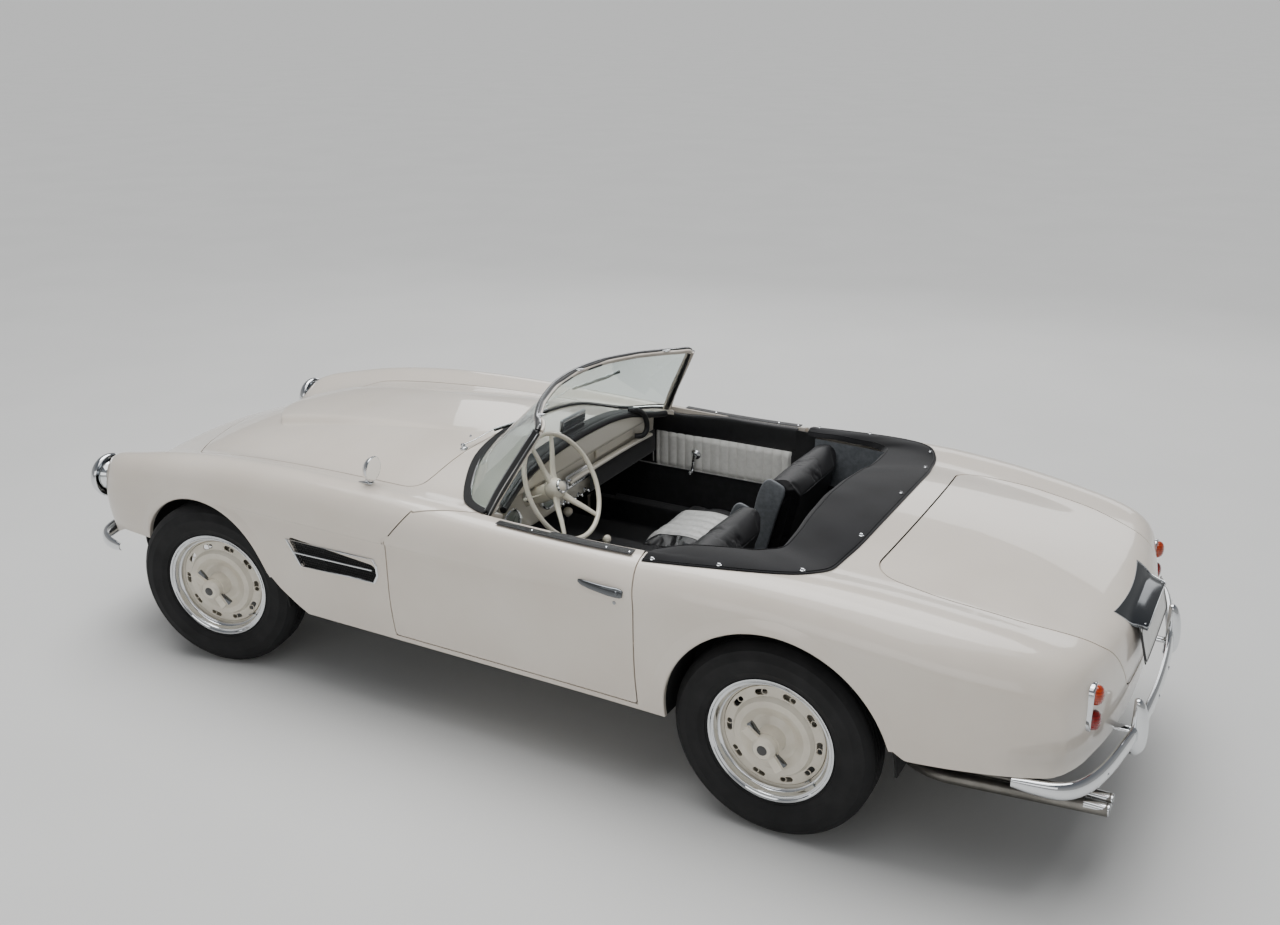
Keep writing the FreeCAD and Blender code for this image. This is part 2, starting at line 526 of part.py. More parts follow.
def positive(solid):
    if solid.Volume < 0:
        solid.reverse()
    return solid


def roundedWire(corners, closed=True):
    """An outline through corners (place, radius), with a tangent arc at each."""
    places = [place for place, radius in corners]
    starts, arcs, ends = [], [], []
    for i, (corner, radius) in enumerate(corners):
        if not closed and i in (0, len(corners) - 1):
            starts.append(corner)
            ends.append(corner)
            arcs.append(None)
            continue
        before = (places[i - 1] - corner).normalize()
        after = (places[(i + 1) % len(places)] - corner).normalize()
        half = before.getAngle(after) / 2
        reach = radius / math.tan(half)
        start = corner + before * reach
        end = corner + after * reach
        starts.append(start)
        ends.append(end)
        if radius > 0:
            middle = corner + (before + after).normalize() * (radius / math.sin(half) - radius)
            arcs.append(Part.Arc(start, middle, end).toShape())
        else:
            arcs.append(None)
    edges = []
    for i in range(len(corners)):
        if (closed or i > 0) and (starts[i] - ends[i - 1]).Length > 0:
            edges.append(Part.makeLine(ends[i - 1], starts[i]))
        if arcs[i]:
            edges.append(arcs[i])
    return Part.Wire(edges)


def flatFace(corners, grow=0):
    face = Part.Face(roundedWire(corners))
    return face.makeOffset2D(grow) if grow else face


def sideCorners(shares):
    """Corners of a side view outline: station, height and corner radius as shares."""
    return [(Vector(along(s), 0, z * size.BodyHeight), r * size.BodyHeight) for s, z, r in shares]


def planCorners(shares):
    """Corners of a plan outline: station, half width and corner radius as shares."""
    return [(Vector(along(s), y * halfWidth, 0), r * size.BodyHeight) for s, y, r in shares]


def sidePrism(corners, low, high, grow=0):
    face = flatFace(corners, grow)
    face.translate(Vector(0, low, 0))
    return face.extrude(Vector(0, high - low, 0))


def planPrism(corners, low, high, grow=0):
    face = flatFace(corners, grow)
    face.translate(Vector(0, 0, low))
    return face.extrude(Vector(0, 0, high - low))


def rod(start, end, radius):
    """A round bar from one place to another."""
    return Part.makeCylinder(radius, (end - start).Length, start, end - start)


def tube(places, radius, bend):
    """A round tube along straight runs joined by tangent arcs."""
    path = roundedWire([(place, bend) for place in places], closed=False)
    ring = Part.Wire(Part.makeCircle(radius, places[0], places[1] - places[0]))
    return path.makePipeShell([ring], True, True)


def bothSides(shape):
    """A piece and its mirror image, which don't touch."""
    return Part.makeCompound([shape, flipped(shape)])


def flipped(shape):
    return shape.mirror(Vector(0, 0, 0), Vector(0, 1, 0))


def mirroredShares(shares):
    """Half an outline and its mirror image, as one closed outline from the front's centre."""
    return shares + [(s, -y, r) for s, y, r in reversed(shares) if y > 0]


def cube(x0, x1, y0, y1, z0, z1):
    return Part.makeBox(x1 - x0, y1 - y0, z1 - z0, Vector(x0, y0, z0))


def column(x, z, radius, y0, y1):
    """A cylinder that lies across the car."""
    return Part.makeCylinder(radius, y1 - y0, Vector(x, y0, z), Vector(0, 1, 0))


# Skin of the whole car: the painted surface, the inside of the panels, and the space within.
outerRows = fullRows(leftRows())
skinOuter = closedBody(outerRows)
skinShell = bodyShell(outerRows, insetRows(outerRows, size.SkinWall, outerRows[0][0].z))
cavity = closedBody(insetRows(outerRows, size.SkinWall + size.Seat, outerRows[0][0].z))

# Underside of the panels in side view, from below the nose to below the tail.
UNDERSIDE_SHARES = [
    (2.3, 0.0, 0), (2.3, 0.40, 0), (1.72, 0.445, 0.02), (1.62, 0.483, 0.02), (1.38, 0.48, 0.01),
    (1.25, 0.46, 0), (0.9, 0.53, 0), (0.868, 0.507, 0), (0.838, 0.426, 0.03), (0.811, 0.371, 0.05),
    (0.79, 0.335, 0.02), (0.147, 0.335, 0), (0.11, 0.36, 0), (-0.28, 0.47, 0), (-0.366, 0.461, 0),
    (-0.412, 0.423, 0.03), (-0.72, 0.43, 0.05), (-1.2, 0.47, 0), (-1.2, 0.0, 0),
]
# Door outline in side view; its top runs above the panel, where the door's own top is.
DOOR_SHARES = [
    (0.611, 0.36, 0.012), (0.6105, 0.745, 0.07), (0.567, 0.878, 0.05), (0.53, 0.96, 0.02),
    (0.199, 0.96, 0.01), (0.1985, 0.86, 0.05), (0.1935, 0.74, 0.3), (0.1945, 0.36, 0.012),
]
# Plan of the cowl beside the door, which the door's front corner sweeps past.
COWL_SHARES = [
    (0.617, 0.60, 0), (0.617, 0.90, 0.01), (0.566, 0.937, 0.01), (0.511, 0.886, 0.1),
    (0.455, 0.835, 0.02), (0.439, 0.80, 0.01), (0.439, 0.60, 0),
]
BONNET_SHARES = [
    (1.585, 0.12, 0.4), (1.41, 0.50, 0.6), (1.25, 0.695, 0.12), (0.614, 0.735, 0.07),
    (0.600, 0.50, 0.5), (0.584, 0.25, 0.5),
]
COCKPIT_SHARES = [
    (0.475, 0.0, 0), (0.475, 0.60, 0.1), (0.455, 0.79, 0.02), (0.197, 0.855, 0.05), (0.045, 0.825, 0.06),
    (-0.06, 0.735, 0.06), (-0.105, 0.57, 0.12), (-0.115, 0.0, 0),
]
# Plan that a door stays within; its rear end leans forward, so that it clears as it swings.
DOOR_PLAN_SHARES = [
    (0.63, 0.60, 0), (0.63, 1.1, 0), (0.19, 1.1, 0), (0.1935, 0.98, 0), (0.2005, 0.84, 0), (0.21, 0.60, 0),
]
# Ends of the sills, from behind the doors to ahead of them.
SILL_SHARES = (0.1925, 0.613)
ROUND_SHARE = 0.49
LID_DEPTH_SHARE = 0.55
# Boot lid outline seen along its own slant: across, then down the slant from the origin's level.
LID_SLANT = 40
LID_SHARES = [
    (0.4455, 0.0, 0), (0.4455, 0.607, 0.1), (0.64, 0.648, 0.4), (0.86, 0.615, 0.4), (1.055, 0.53, 0.1),
    (1.235, 0.36, 0.07), (1.235, 0.0, 0),
]


def doorTool(side, grow=0, inner=None):
    """What a door takes out of the body on one side, or with no growth the door's own bounds."""
    depth = size.DoorInner if inner is None else inner
    block = planPrism(planCorners(COWL_SHARES), size.BodyHeight * 0.78 + grow, size.BodyHeight, -grow)
    tool = sidePrism(sideCorners(DOOR_SHARES), depth, halfWidth + size.Overrun, grow).cut(block)
    return tool if side > 0 else flipped(tool)


def lidPrism(grow=0):
    """The boot lid's outline, run through the panel along its slant."""
    slant = math.radians(LID_SLANT)
    down = Vector(-math.cos(slant), 0, -math.sin(slant))
    outward = Vector(-math.sin(slant), 0, math.cos(slant))
    half = [(v, y, r) for v, y, r in LID_SHARES]
    places = half + [(v, -y, r) for v, y, r in reversed(half) if y > 0]
    corners = [(down * v * size.BodyHeight + Vector(0, y * halfWidth, 0), r * size.BodyHeight)
               for v, y, r in places if y != 0]
    face = flatFace(corners, grow)
    face.translate(outward * -size.BodyHeight)
    return face.extrude(outward * 3 * size.BodyHeight)


def wheelOpening(x, height, radius):
    return column(x, height, radius, -halfWidth - size.Overrun, halfWidth + size.Overrun)


# Opening of the air intake, the headlamps and the side vents.
INTAKE_HALF_WIDTH_SHARE = 0.60
INTAKE_HEIGHT_SHARES = (0.455, 0.585)
HEADLAMP_SHARES = (0.776, 0.655)
VENT_SHARES = [
    (0.807, 0.668, 0.012), (0.633, 0.637, 0.035), (0.630, 0.566, 0.035), (0.785, 0.554, 0.05),
]


def intakePrism(inset):
    low, high = INTAKE_HEIGHT_SHARES
    across = INTAKE_HALF_WIDTH_SHARE * halfWidth - inset
    bottom = low * size.BodyHeight + inset
    top = high * size.BodyHeight - inset
    corner = (top - bottom) * ROUND_SHARE
    places = [Vector(0, -across, bottom), Vector(0, across, bottom)]
    places += [Vector(0, across, top), Vector(0, -across, top)]
    face = Part.Face(roundedWire([(place, corner) for place in places]))
    face.translate(Vector(along(1.6), 0, 0))
    return face.extrude(Vector(size.FrontOverhang, 0, 0))


def headlampBore(side, radius):
    y = side * HEADLAMP_SHARES[0] * halfWidth
    z = HEADLAMP_SHARES[1] * size.BodyHeight
    return Part.makeCylinder(radius, size.FrontOverhang, Vector(along(1.7), y, z), Vector(1, 0, 0))


def ventPrism(side, grow):
    prism = sidePrism(sideCorners(VENT_SHARES), size.DoorInner, halfWidth + size.Overrun, grow)
    return prism if side > 0 else flipped(prism)


# Body panels, trimmed below, with their openings.
underside = sidePrism(sideCorners(UNDERSIDE_SHARES), -halfWidth - size.Overrun, halfWidth + size.Overrun)
panels = skinShell.cut(underside)
panels = panels.cut(wheelOpening(frontAxleX, size.FrontArchHeight, size.FrontArchRadius))
rearArchX = rearAxleX - size.RearArchBehind
panels = panels.cut(wheelOpening(rearArchX, size.RearArchHeight, size.RearArchRadius))
deck = (size.BodyHeight * LID_DEPTH_SHARE, size.BodyHeight + size.Overrun)
bonnetShape = panels.common(planPrism(planCorners(mirroredShares(BONNET_SHARES)), *deck))
bootLidShape = panels.common(lidPrism())
openings = [
    planPrism(planCorners(mirroredShares(BONNET_SHARES)), *deck, size.PanelGap),
    planPrism(planCorners(mirroredShares(COCKPIT_SHARES)), *deck),
    lidPrism(size.PanelGap),
    intakePrism(0),
]
for side in SIDES.values():
    openings += [
        doorTool(side, size.PanelGap, size.DoorInner - size.Overrun),
        headlampBore(side, size.LampBore),
        ventPrism(side, 0),
    ]
panels = panels.cut(openings)
wholeHeight = (0, 2 * size.BodyHeight)
sillZone = cube(along(SILL_SHARES[0]), along(SILL_SHARES[1]), -halfWidth * 2, halfWidth * 2, 0,
                size.DoorBottom)
frontZone = cube(along(0.43), overallLength, -halfWidth * 2, halfWidth * 2, *wholeHeight).cut(sillZone)
rearZone = cube(-overallLength, along(0.3), -halfWidth * 2, halfWidth * 2, *wholeHeight).cut(sillZone)


def doorShape(side):
    """A door as thick as the real one: the skin, and its box down to the inner face."""
    reach = planPrism(planCorners(DOOR_PLAN_SHARES), 0, 2 * size.BodyHeight)
    tool = doorTool(1).common(reach)
    door = skinOuter.common(tool)
    return door if side > 0 else flipped(door)


def skinSide(x, z):
    line = Part.makeLine(Vector(x, 0, z), Vector(x, size.BodyWidth, z))
    return max(corner.Y for corner in skinOuter.Shells[0].section(line).Vertexes)


def doorStuds(door):
    """Studs in the rear jambs that the shut doors stand against, in the middle of the panel's wall."""
    z = size.StudHeight
    y = skinSide(along(SILL_SHARES[0]), z) - size.SkinWall / 2
    line = Part.makeLine(Vector(along(0.1), y, z), Vector(along(0.3), y, z))
    face = min(corner.X for corner in door.section(line).Vertexes) - size.Seat
    stud = rod(Vector(face - size.StudLength, y, z), Vector(face, y, z), size.SkinWall / 4)
    return [stud, flipped(stud)]


def skinBand(outer, inner):
    """A shell between two depths under the skin."""
    return bodyShell(insetRows(outerRows, outer, outerRows[0][0].z), insetRows(outerRows, inner,
                                                                               outerRows[0][0].z))


def lidCatch():
    """Catch plate behind the boot lid's lower edge, on the panel under it."""
    low = size.LidFoot
    half = size.CatchWidth / 2
    depth = size.SkinWall * 1.5
    reach = cube(-overallLength, along(-0.6), -half, half, low - size.CatchDrop, low + size.CatchRise)
    root = cube(-overallLength, along(-0.6), -half, half, low - size.CatchDrop, low - size.PanelGap * 2)
    plate = skinBand(size.SkinWall + size.Seat, depth).common(reach)
    return plate.fuse(skinBand(size.SkinWall / 2, depth).common(root))


def sillShape(side):
    """A sill: its outer strip below the door, its floor, and the upstand inside the door."""
    solid = skinOuter.cut(underside)
    strip = solid.common(cube(along(SILL_SHARES[0]), along(SILL_SHARES[1]), size.SillInner, halfWidth * 2,
                              0, size.DoorBottom - size.PanelGap - size.Seat))
    sillOuter = size.DoorInner - size.TrimThickness - size.PanelGap * 2
    upstand = cube(along(SILL_SHARES[0]), along(SILL_SHARES[1]), size.SillInner, sillOuter,
                   size.SillHeight, size.SillTop)
    sill = strip.fuse(upstand).removeSplitter()
    return sill if side > 0 else flipped(sill)


node("sills", feature("Sills", Part.makeCompound([sillShape(side) for side in SIDES.values()])))
node("body_front", feature("BodyFront", panels.common(frontZone)))
doors = {name: doorShape(side) for name, side in SIDES.items()}
rearPanels = panels.common(rearZone).multiFuse([lidCatch()] + doorStuds(doors["left"]))
node("body_rear", feature("BodyRear", rearPanels))
node("bonnet", feature("Bonnet", bonnetShape))
node("boot_lid", feature("BootLid", bootLidShape))
for name, door in doors.items():
    node(f"door_{name}", feature(f"Door{name.title()}", door))


floorLow = size.FloorTop - size.FloorThickness
wellFloor = size.WellFloorTop - size.FloorThickness
railHeight = floorLow - size.Seat - size.RailBottom
railKick = wellFloor - floorLow
# Frame rails in side view: station and height above the rails' bottom as a share of the kick-up.
RAIL_SHARES = [
    (1.62, 0.35), (1.45, 0.35), (1.31, 0.0), (0.1, 0.0), (0.05, 1.0), (-0.12, 1.0), (-0.3, 0.55), (-0.72,
                                                                                                   0.55),
]
CROSS_TUBE_SHARES = [(1.58, 0.35), (1.12, 0.0), (0.487, 0.0), (0.24, 0.0), (-0.2, 0.8), (-0.66, 0.55)]


def railShape(side):
    """One box-section rail, swept up over the rear axle."""
    low = [Vector(along(s), 0, size.RailBottom + lift * railKick) for s, lift in RAIL_SHARES]
    high = [place + Vector(0, 0, railHeight) for place in reversed(low)]
    radius = railHeight / 2
    corners = [(place, 0 if i in (0, len(low) - 1) else radius) for i, place in enumerate(low)]
    corners += [(place, 0 if i in (0, len(high) - 1) else radius) for i, place in enumerate(high)]
    y = side * size.RailHalfSpread - size.RailWidth / 2
    return sidePrism(corners, y, y + size.RailWidth)


def crossTube(share, lift):
    z = size.RailBottom + lift * railKick + railHeight / 2
    reach = size.RailHalfSpread
    return column(along(share), z, size.CrossTube / 2, -reach, reach)


frame = railShape(1).multiFuse([railShape(-1)] + [crossTube(*place) for place in CROSS_TUBE_SHARES])
node("chassis_frame", feature("ChassisFrame", frame.removeSplitter()))

# Floor of the cabin with its tunnel, firewall, rear bulkhead and the well for the stowed top.
wellBack = -size.WellBehind
firewallX = size.FirewallAhead
bulkheadX = -size.RearBulkheadBehind
tunnelHalf = size.TunnelWidth / 2


def floorShape():
    """Floor, tunnel, firewall, bulkhead and the well's floor and back, within the panels."""
    t = size.FloorThickness
    across = size.SillInner - size.Seat
    aft = size.RearTubInner - size.TubWall - size.Seat
    tubEnd = rearArchX + size.RearTubRadius + size.TubWall + size.Seat
    hollow = cube(bulkheadX - t, firewallX + t, -tunnelHalf, tunnelHalf, 0, size.TunnelTop - t)
    plate = cube(bulkheadX, firewallX, -across, across, floorLow, size.FloorTop)
    for side in SIDES.values():
        outer = cube(bulkheadX - t, tubEnd, aft, across + t, floorLow - t, size.WellFloorTop + t)
        plate = plate.cut(outer if side > 0 else flipped(outer))
    hump = cube(bulkheadX, firewallX, -tunnelHalf - t, tunnelHalf + t, floorLow, size.TunnelTop)
    wall = cube(firewallX - t, firewallX, -halfWidth, halfWidth, floorLow, size.BodyHeight).common(cavity)
    back = cube(bulkheadX, bulkheadX + t, -aft, aft, floorLow, size.WellFloorTop)
    shelf = cube(wellBack, bulkheadX + t, -aft, aft, wellFloor, size.WellFloorTop)
    rear = cube(wellBack, wellBack + t, -aft, aft, wellFloor, size.BodyHeight).common(cavity)
    return plate.multiFuse([hump, wall, back, shelf, rear]).cut(hollow).removeSplitter()


node("floor_pan", feature("FloorPan", floorShape()))


def tubShape(x, height, radius, inner, side):
    """Half round wheel tub: its crown over the tyre and its wall inside, within the panels."""
    wall = size.TubWall
    y0 = inner - wall
    window = size.WishboneSpread + size.WishboneTube
    drum = column(x, height, radius + wall, y0, halfWidth).cut(column(x, height, radius, inner, halfWidth))
    keep = cube(x - 2 * radius, x + 2 * radius, y0, halfWidth, size.FloorTop + size.Seat, size.BodyHeight)
    tub = drum.common(keep).common(cavity)
    axleRoom = size.AxleTube
    tub = tub.cut(cube(rearAxleX - axleRoom, rearAxleX + axleRoom, y0 - wall, inner + wall, 0,
                       size.TyreRadius + axleRoom))
    if x > 0:
        tub = tub.cut(cube(x - window, x + window, y0 - wall, inner + wall, 0,
                           size.UpperPivotHeight + size.TubWindow))
    return tub if side > 0 else flipped(tub)


tubs = []
for side in SIDES.values():
    tubs.append(tubShape(frontAxleX, size.FrontArchHeight, size.FrontTubRadius, size.FrontTubInner, side))
    tubs.append(tubShape(rearArchX, size.RearArchHeight, size.RearTubRadius, size.RearTubInner, side))
node("wheel_tubs", feature("WheelTubs", Part.makeCompound(tubs)))

# Boot floor over the fuel tank, which sits on the frame's tail.
aftHalf = size.RearTubInner - size.TubWall - size.Seat
bootFloor = cube(-size.BootBack, wellBack - size.Seat, -aftHalf, aftHalf, wellFloor, size.WellFloorTop)
bootFloor = bootFloor.common(cavity)
tank = cube(-size.TankBack, -size.TankFront, -size.TankHalfWidth, size.TankHalfWidth,
            size.RailBottom + RAIL_SHARES[-1][1] * railKick + railHeight + size.Seat, wellFloor)
node("boot_floor", feature("BootFloor", bootFloor.fuse(tank).removeSplitter()))

# Engine and gearbox as plain blocks at their real place; radiator behind the air intake.
engine = box("EngineBlock", "EngineLength", "EngineWidth", "EngineHeight",
             "FirewallAhead + EngineGap", "-EngineWidth / 2", "EngineBottom")
doc.recompute()
engineMiddle = size.EngineBottom + size.EngineHeight / 2
upper = [i + 1 for i, edge in enumerate(engine.Shape.Edges)
         if edge.BoundBox.ZMin > engineMiddle and edge.BoundBox.YLength < size.Seat]
slopes = doc.addObject("Part::Chamfer", "EngineSlopes")
slopes.Base = engine
slopes.Edges = [(i, size.EngineChamfer, size.EngineChamfer) for i in upper]
gearbox = box("Gearbox", "GearboxLength + EngineGap", "GearboxWidth", "GearboxWidth",
              "FirewallAhead - GearboxLength", "-GearboxWidth / 2", "EngineBottom + EngineGap / 2")
mount = box("EngineMount", "EngineMount", "2 * RailHalfSpread - RailWidth - 2 * Seat", "EngineMount",
            "FirewallAhead + EngineLength / 2", "-RailHalfSpread + RailWidth / 2 + Seat", "EngineBottom")
node("engine", joined("Engine", [slopes, gearbox, mount]))
radiator = cube(size.RadiatorAhead, size.RadiatorAhead + size.RadiatorDepth, -size.RadiatorWidth / 2,
                size.RadiatorWidth / 2, 0, size.RadiatorHeight)
radiatorFoot = size.RailBottom + RAIL_SHARES[0][1] * railKick + (railHeight + size.CrossTube) / 2 + size.Seat
radiator.translate(Vector(0, 0, radiatorFoot))
node("radiator", feature("Radiator", radiator))

# Rear axle: tubes, final drive, backplates, and the springs under the frame's rails.
axleReach = size.RearTrack / 2 - size.DrumOffset - size.DrumWidth - size.HubGap
axleParts = [Part.makeSphere(size.AxleCase / 2, Vector(rearAxleX, 0, size.TyreRadius))]
for side in SIDES.values():
    y0 = axleReach - size.BackplateThickness if side > 0 else -axleReach
    axleParts.append(column(rearAxleX, size.TyreRadius, size.DrumRadius, y0, y0 + size.BackplateThickness))
    seatHeight = size.RailBottom + railKick - size.Seat - size.TyreRadius
    axleParts.append(Part.makeCylinder(size.SpringDiameter / 2, seatHeight,
                                       Vector(rearAxleX, side * size.RailHalfSpread, size.TyreRadius)))
axle = column(rearAxleX, size.TyreRadius, size.AxleTube / 2, -axleReach, axleReach).multiFuse(axleParts)
node("rear_axle", feature("RearAxle", axle.removeSplitter()))


def eye(height):
    """The bored eye of a wishbone, round the kingpin."""
    base = Vector(frontAxleX, size.KingpinHalfTrack, height - size.EyeHeight / 2)
    ring = Part.makeCylinder(size.EyeRadius, size.EyeHeight, base)
    return ring, Part.makeCylinder(size.KingpinRadius + size.Seat, size.EyeHeight, base)


def wishbones(side):
    """Lower and upper wishbones of one front wheel, and the tower that carries the upper one."""
    sets = []
    railSide = size.RailHalfSpread + size.RailWidth / 2 + size.Seat
    for height in (size.LowerPivotHeight, size.UpperPivotHeight):
        ring, bore = eye(height)
        bars = []
        for way in (-1, 1):
            start = Vector(frontAxleX + way * size.WishboneSpread, size.RailHalfSpread, height)
            bars.append(rod(start, Vector(frontAxleX, size.KingpinHalfTrack, height), size.WishboneTube / 2))
        arm = ring.multiFuse(bars).common(cube(0, overallLength, railSide, halfWidth, 0, size.BodyHeight))
        sets.append(arm.cut(bore))
    reach = size.WishboneSpread + size.WishboneTube - size.TubWall
    tower = cube(frontAxleX - reach, frontAxleX + reach, railSide - size.RailWidth,
                 railSide + size.TubWall, size.RailBottom + railHeight + size.Seat,
                 size.UpperPivotHeight + size.WishboneTube)
    sets[1] = sets[1].fuse(tower).removeSplitter()
    whole = Part.makeCompound(sets)
    return whole if side > 0 else flipped(whole)


node("front_suspension", feature("FrontSuspension",
                                 Part.makeCompound([wishbones(side) for side in SIDES.values()])))


def knuckleShape(side):
    """Kingpin, upright, backplate and steering arm, drawn straight ahead and turned to the rest angle."""
    offset = size.FrontTrack / 2 - size.KingpinHalfTrack - size.DrumOffset - size.DrumWidth - size.HubGap
    pin = Part.makeCylinder(size.KingpinRadius, size.KingpinHigh - size.KingpinLow, Vector(0, 0,
                                                                                           size.KingpinLow))
    half = size.UprightWidth / 2
    gap = size.EyeHeight / 2 + size.Seat
    upright = cube(-half, half, -half, offset, size.LowerPivotHeight + gap, size.UpperPivotHeight - gap)
    plate = column(0, size.TyreRadius, size.DrumRadius, offset - size.BackplateThickness, offset)
    armBase = size.LowerPivotHeight + gap + size.BackplateThickness
    arm = cube(-size.SteeringArm, 0, -half / 2, half / 2, armBase, armBase + half)
    whole = pin.multiFuse([upright, plate, arm]).removeSplitter()
    whole = whole if side > 0 else flipped(whole)
    whole.rotate(Vector(), Vector(0, 0, 1), size.SteerAtRest)
    whole.translate(Vector(frontAxleX, side * size.KingpinHalfTrack, 0))
    return whole


for name, side in SIDES.items():
    node(f"knuckle_{name}", feature(f"Knuckle{name.title()}", knuckleShape(side)))

# Exhaust: front pipe, silencer and twin tailpipes under the left side.
pipeRadius = size.PipeDiameter / 2
pipeY = size.PipeInner
pipeZ = size.PipeHeight
silencer = Part.makeCylinder(size.SilencerDiameter / 2, size.SilencerLength,
                             Vector(-size.SilencerBack, pipeY, pipeZ), Vector(1, 0, 0))
frontEnd = firewallX + size.EngineGap * 2
frontPipe = rod(Vector(-size.SilencerBack, pipeY, pipeZ), Vector(frontEnd, pipeY, pipeZ), pipeRadius)
flange = Part.makeCylinder(pipeRadius, size.EngineBottom - size.Seat - pipeZ,
                           Vector(frontEnd - pipeRadius, pipeY, pipeZ))
exhaust = [silencer, frontPipe, flange]
for way in (-1, 1):
    shift = way * size.PipeSpacing / 2
    exhaust.append(tube([
        Vector(-size.SilencerBack + pipeRadius, pipeY + shift, pipeZ),
        Vector(rearAxleX - size.DrumRadius, pipeY + shift, pipeZ),
        Vector(-size.PipeKnee, size.PipeOuter + shift, pipeZ),
        Vector(-size.PipeEnd, size.PipeOuter + shift, pipeZ + size.PipeRise),
    ], pipeRadius, size.PipeBend))
exhaustShape = exhaust[0].multiFuse(exhaust[1:])
node("exhaust", feature("Exhaust", exhaustShape))


def originPart(body, role):
    return next(piece for piece in body.Origin.OriginFeatures if piece.Role == role)


def planeSketch(body, role, name, edges):
    """A sketch on one of the body's own planes."""
    sketch = body.newObject("Sketcher::SketchObject", name)
    sketch.AttachmentSupport = (originPart(body, role), "")
    sketch.MapMode = "FlatFace"
    sketch.addGeometry(edges)
    return sketch


def outlineEdges(places):
    """Straight edges round a closed outline of (radius, offset) places."""
    corners = [Vector(r, v, 0) for r, v in places]
    return [Part.LineSegment(corner, corners[(i + 1) % len(corners)]) for i, corner in enumerate(corners)]


def turned(body, name, places):
    """A revolved feature: its section drawn as radius and offset along the wheel's axis."""
    sketch = planeSketch(body, "XY_Plane", f"{name}Section", outlineEdges(places))
    turning = body.newObject("PartDesign::Revolution", name)
    turning.Profile = sketch
    turning.ReferenceAxis = (sketch, ["V_Axis"])
    turning.Angle = 360
    return turning


rimWall = size.RimWall
flangeRadius = size.RimSeatRadius + size.RimFlange
halfRim = size.RimWidth / 2
wellRadius = size.RimSeatRadius - size.RimWell
halfWell = size.RimWellWidth / 2
flangeFace = halfRim + 2 * rimWall
rimOuter = [
    (flangeRadius, flangeFace), (flangeRadius, halfRim + rimWall), (size.RimSeatRadius, halfRim - rimWall),
    (size.RimSeatRadius, halfWell + 2 * rimWall), (wellRadius, halfWell),
]
rimInner = [
    (wellRadius - rimWall, halfWell + rimWall / 2), (size.RimSeatRadius - rimWall, halfWell + 2.5 * rimWall),
    (size.RimSeatRadius - rimWall, halfRim), (flangeRadius - 2 * rimWall, flangeFace),
]
rimOutline = rimOuter + [(r, -v) for r, v in reversed(rimOuter)] + [(r, -v) for r,
                                                                    v in reversed(rimInner)] + rimInner
# Disc from the rim's well in to the hub, with its raised ring and the dish inside it.
discWall = size.DiscWall
discFace = [
    (wellRadius - rimWall / 2,
     size.DiscOffset - size.DiscRingHeight), (size.SlotPitchRadius + size.SlotWidth, size.DiscOffset),
    (size.DiscRing + size.DiscRingHeight, size.DiscOffset + discWall),
    (size.DiscRing + size.DiscRingHeight / 2, size.DiscOffset + size.DiscRingHeight),
    (size.DiscRing - size.DiscRingHeight / 2, size.DiscOffset + size.DiscRingHeight),
    (size.DishRadius + size.DishDepth / 2, size.DiscOffset + discWall), (size.DishRadius,
                                                                         size.DiscOffset + discWall),
    (size.HubRadius, size.DiscOffset + size.DishDepth),
]
discOutline = discFace + [(r, v - discWall) for r, v in reversed(discFace)]
hubEnd = -size.DrumOffset - size.DrumWidth
hubOutline = [
    (0, size.CapFace), (size.CapRadius, size.CapFace), (size.HubRadius - discWall,
                                                        size.CapFace - size.EarThickness),
    (size.HubRadius - discWall, size.CapFace - 3 * size.EarThickness), (size.HubRadius,
                                                                        size.CapFace - 3 * size.EarThickness),
    (size.HubRadius + discWall, size.DiscOffset), (size.HubRadius + discWall, -size.DrumOffset),
    (size.DrumRadius, -size.DrumOffset), (size.DrumRadius, hubEnd), (0, hubEnd),
]


def wheelBody():
    """The steel wheel with its drum and hub: turned sections, and a ring of cooling slots."""
    body = doc.addObject("PartDesign::Body", "Wheel")
    turned(body, "Disc", discOutline)
    turned(body, "Hub", hubOutline)
    rim = turned(body, "Rim", rimOutline)
    doc.recompute()
    full = rim.Shape.Volume
    radius = size.SlotWidth / 2
    reach = size.SlotLength / 2 - radius
    pitch = size.SlotPitchRadius
    slotEdges = [
        Part.LineSegment(Vector(pitch - radius, -reach, 0), Vector(pitch - radius, reach, 0)),
        Part.Arc(Vector(pitch - radius, reach, 0), Vector(pitch, reach + radius, 0), Vector(pitch + radius,
                                                                                            reach, 0)),
        Part.LineSegment(Vector(pitch + radius, reach, 0), Vector(pitch + radius, -reach, 0)),
        Part.Arc(Vector(pitch + radius, -reach, 0), Vector(pitch, -reach - radius, 0),
                 Vector(pitch - radius, -reach, 0)),
    ]
    sketch = planeSketch(body, "XZ_Plane", "SlotOutline", slotEdges)
    slot = body.newObject("PartDesign::Pocket", "Slot")
    slot.Profile = sketch
    slot.Midplane = True
    slot.Length = size.RimWidth
    doc.recompute()
    pattern = body.newObject("PartDesign::PolarPattern", "Slots")
    pattern.Originals = [slot]
    pattern.Axis = (originPart(body, "Y_Axis"), [""])
    pattern.Angle = 360
    pattern.setExpression("Occurrences", "Sizes.DiscSlots")
    body.Tip = pattern
    doc.recompute()
    if body.Shape.Volume >= full:
        raise ValueError("the wheel's slots cut nothing")
    return body


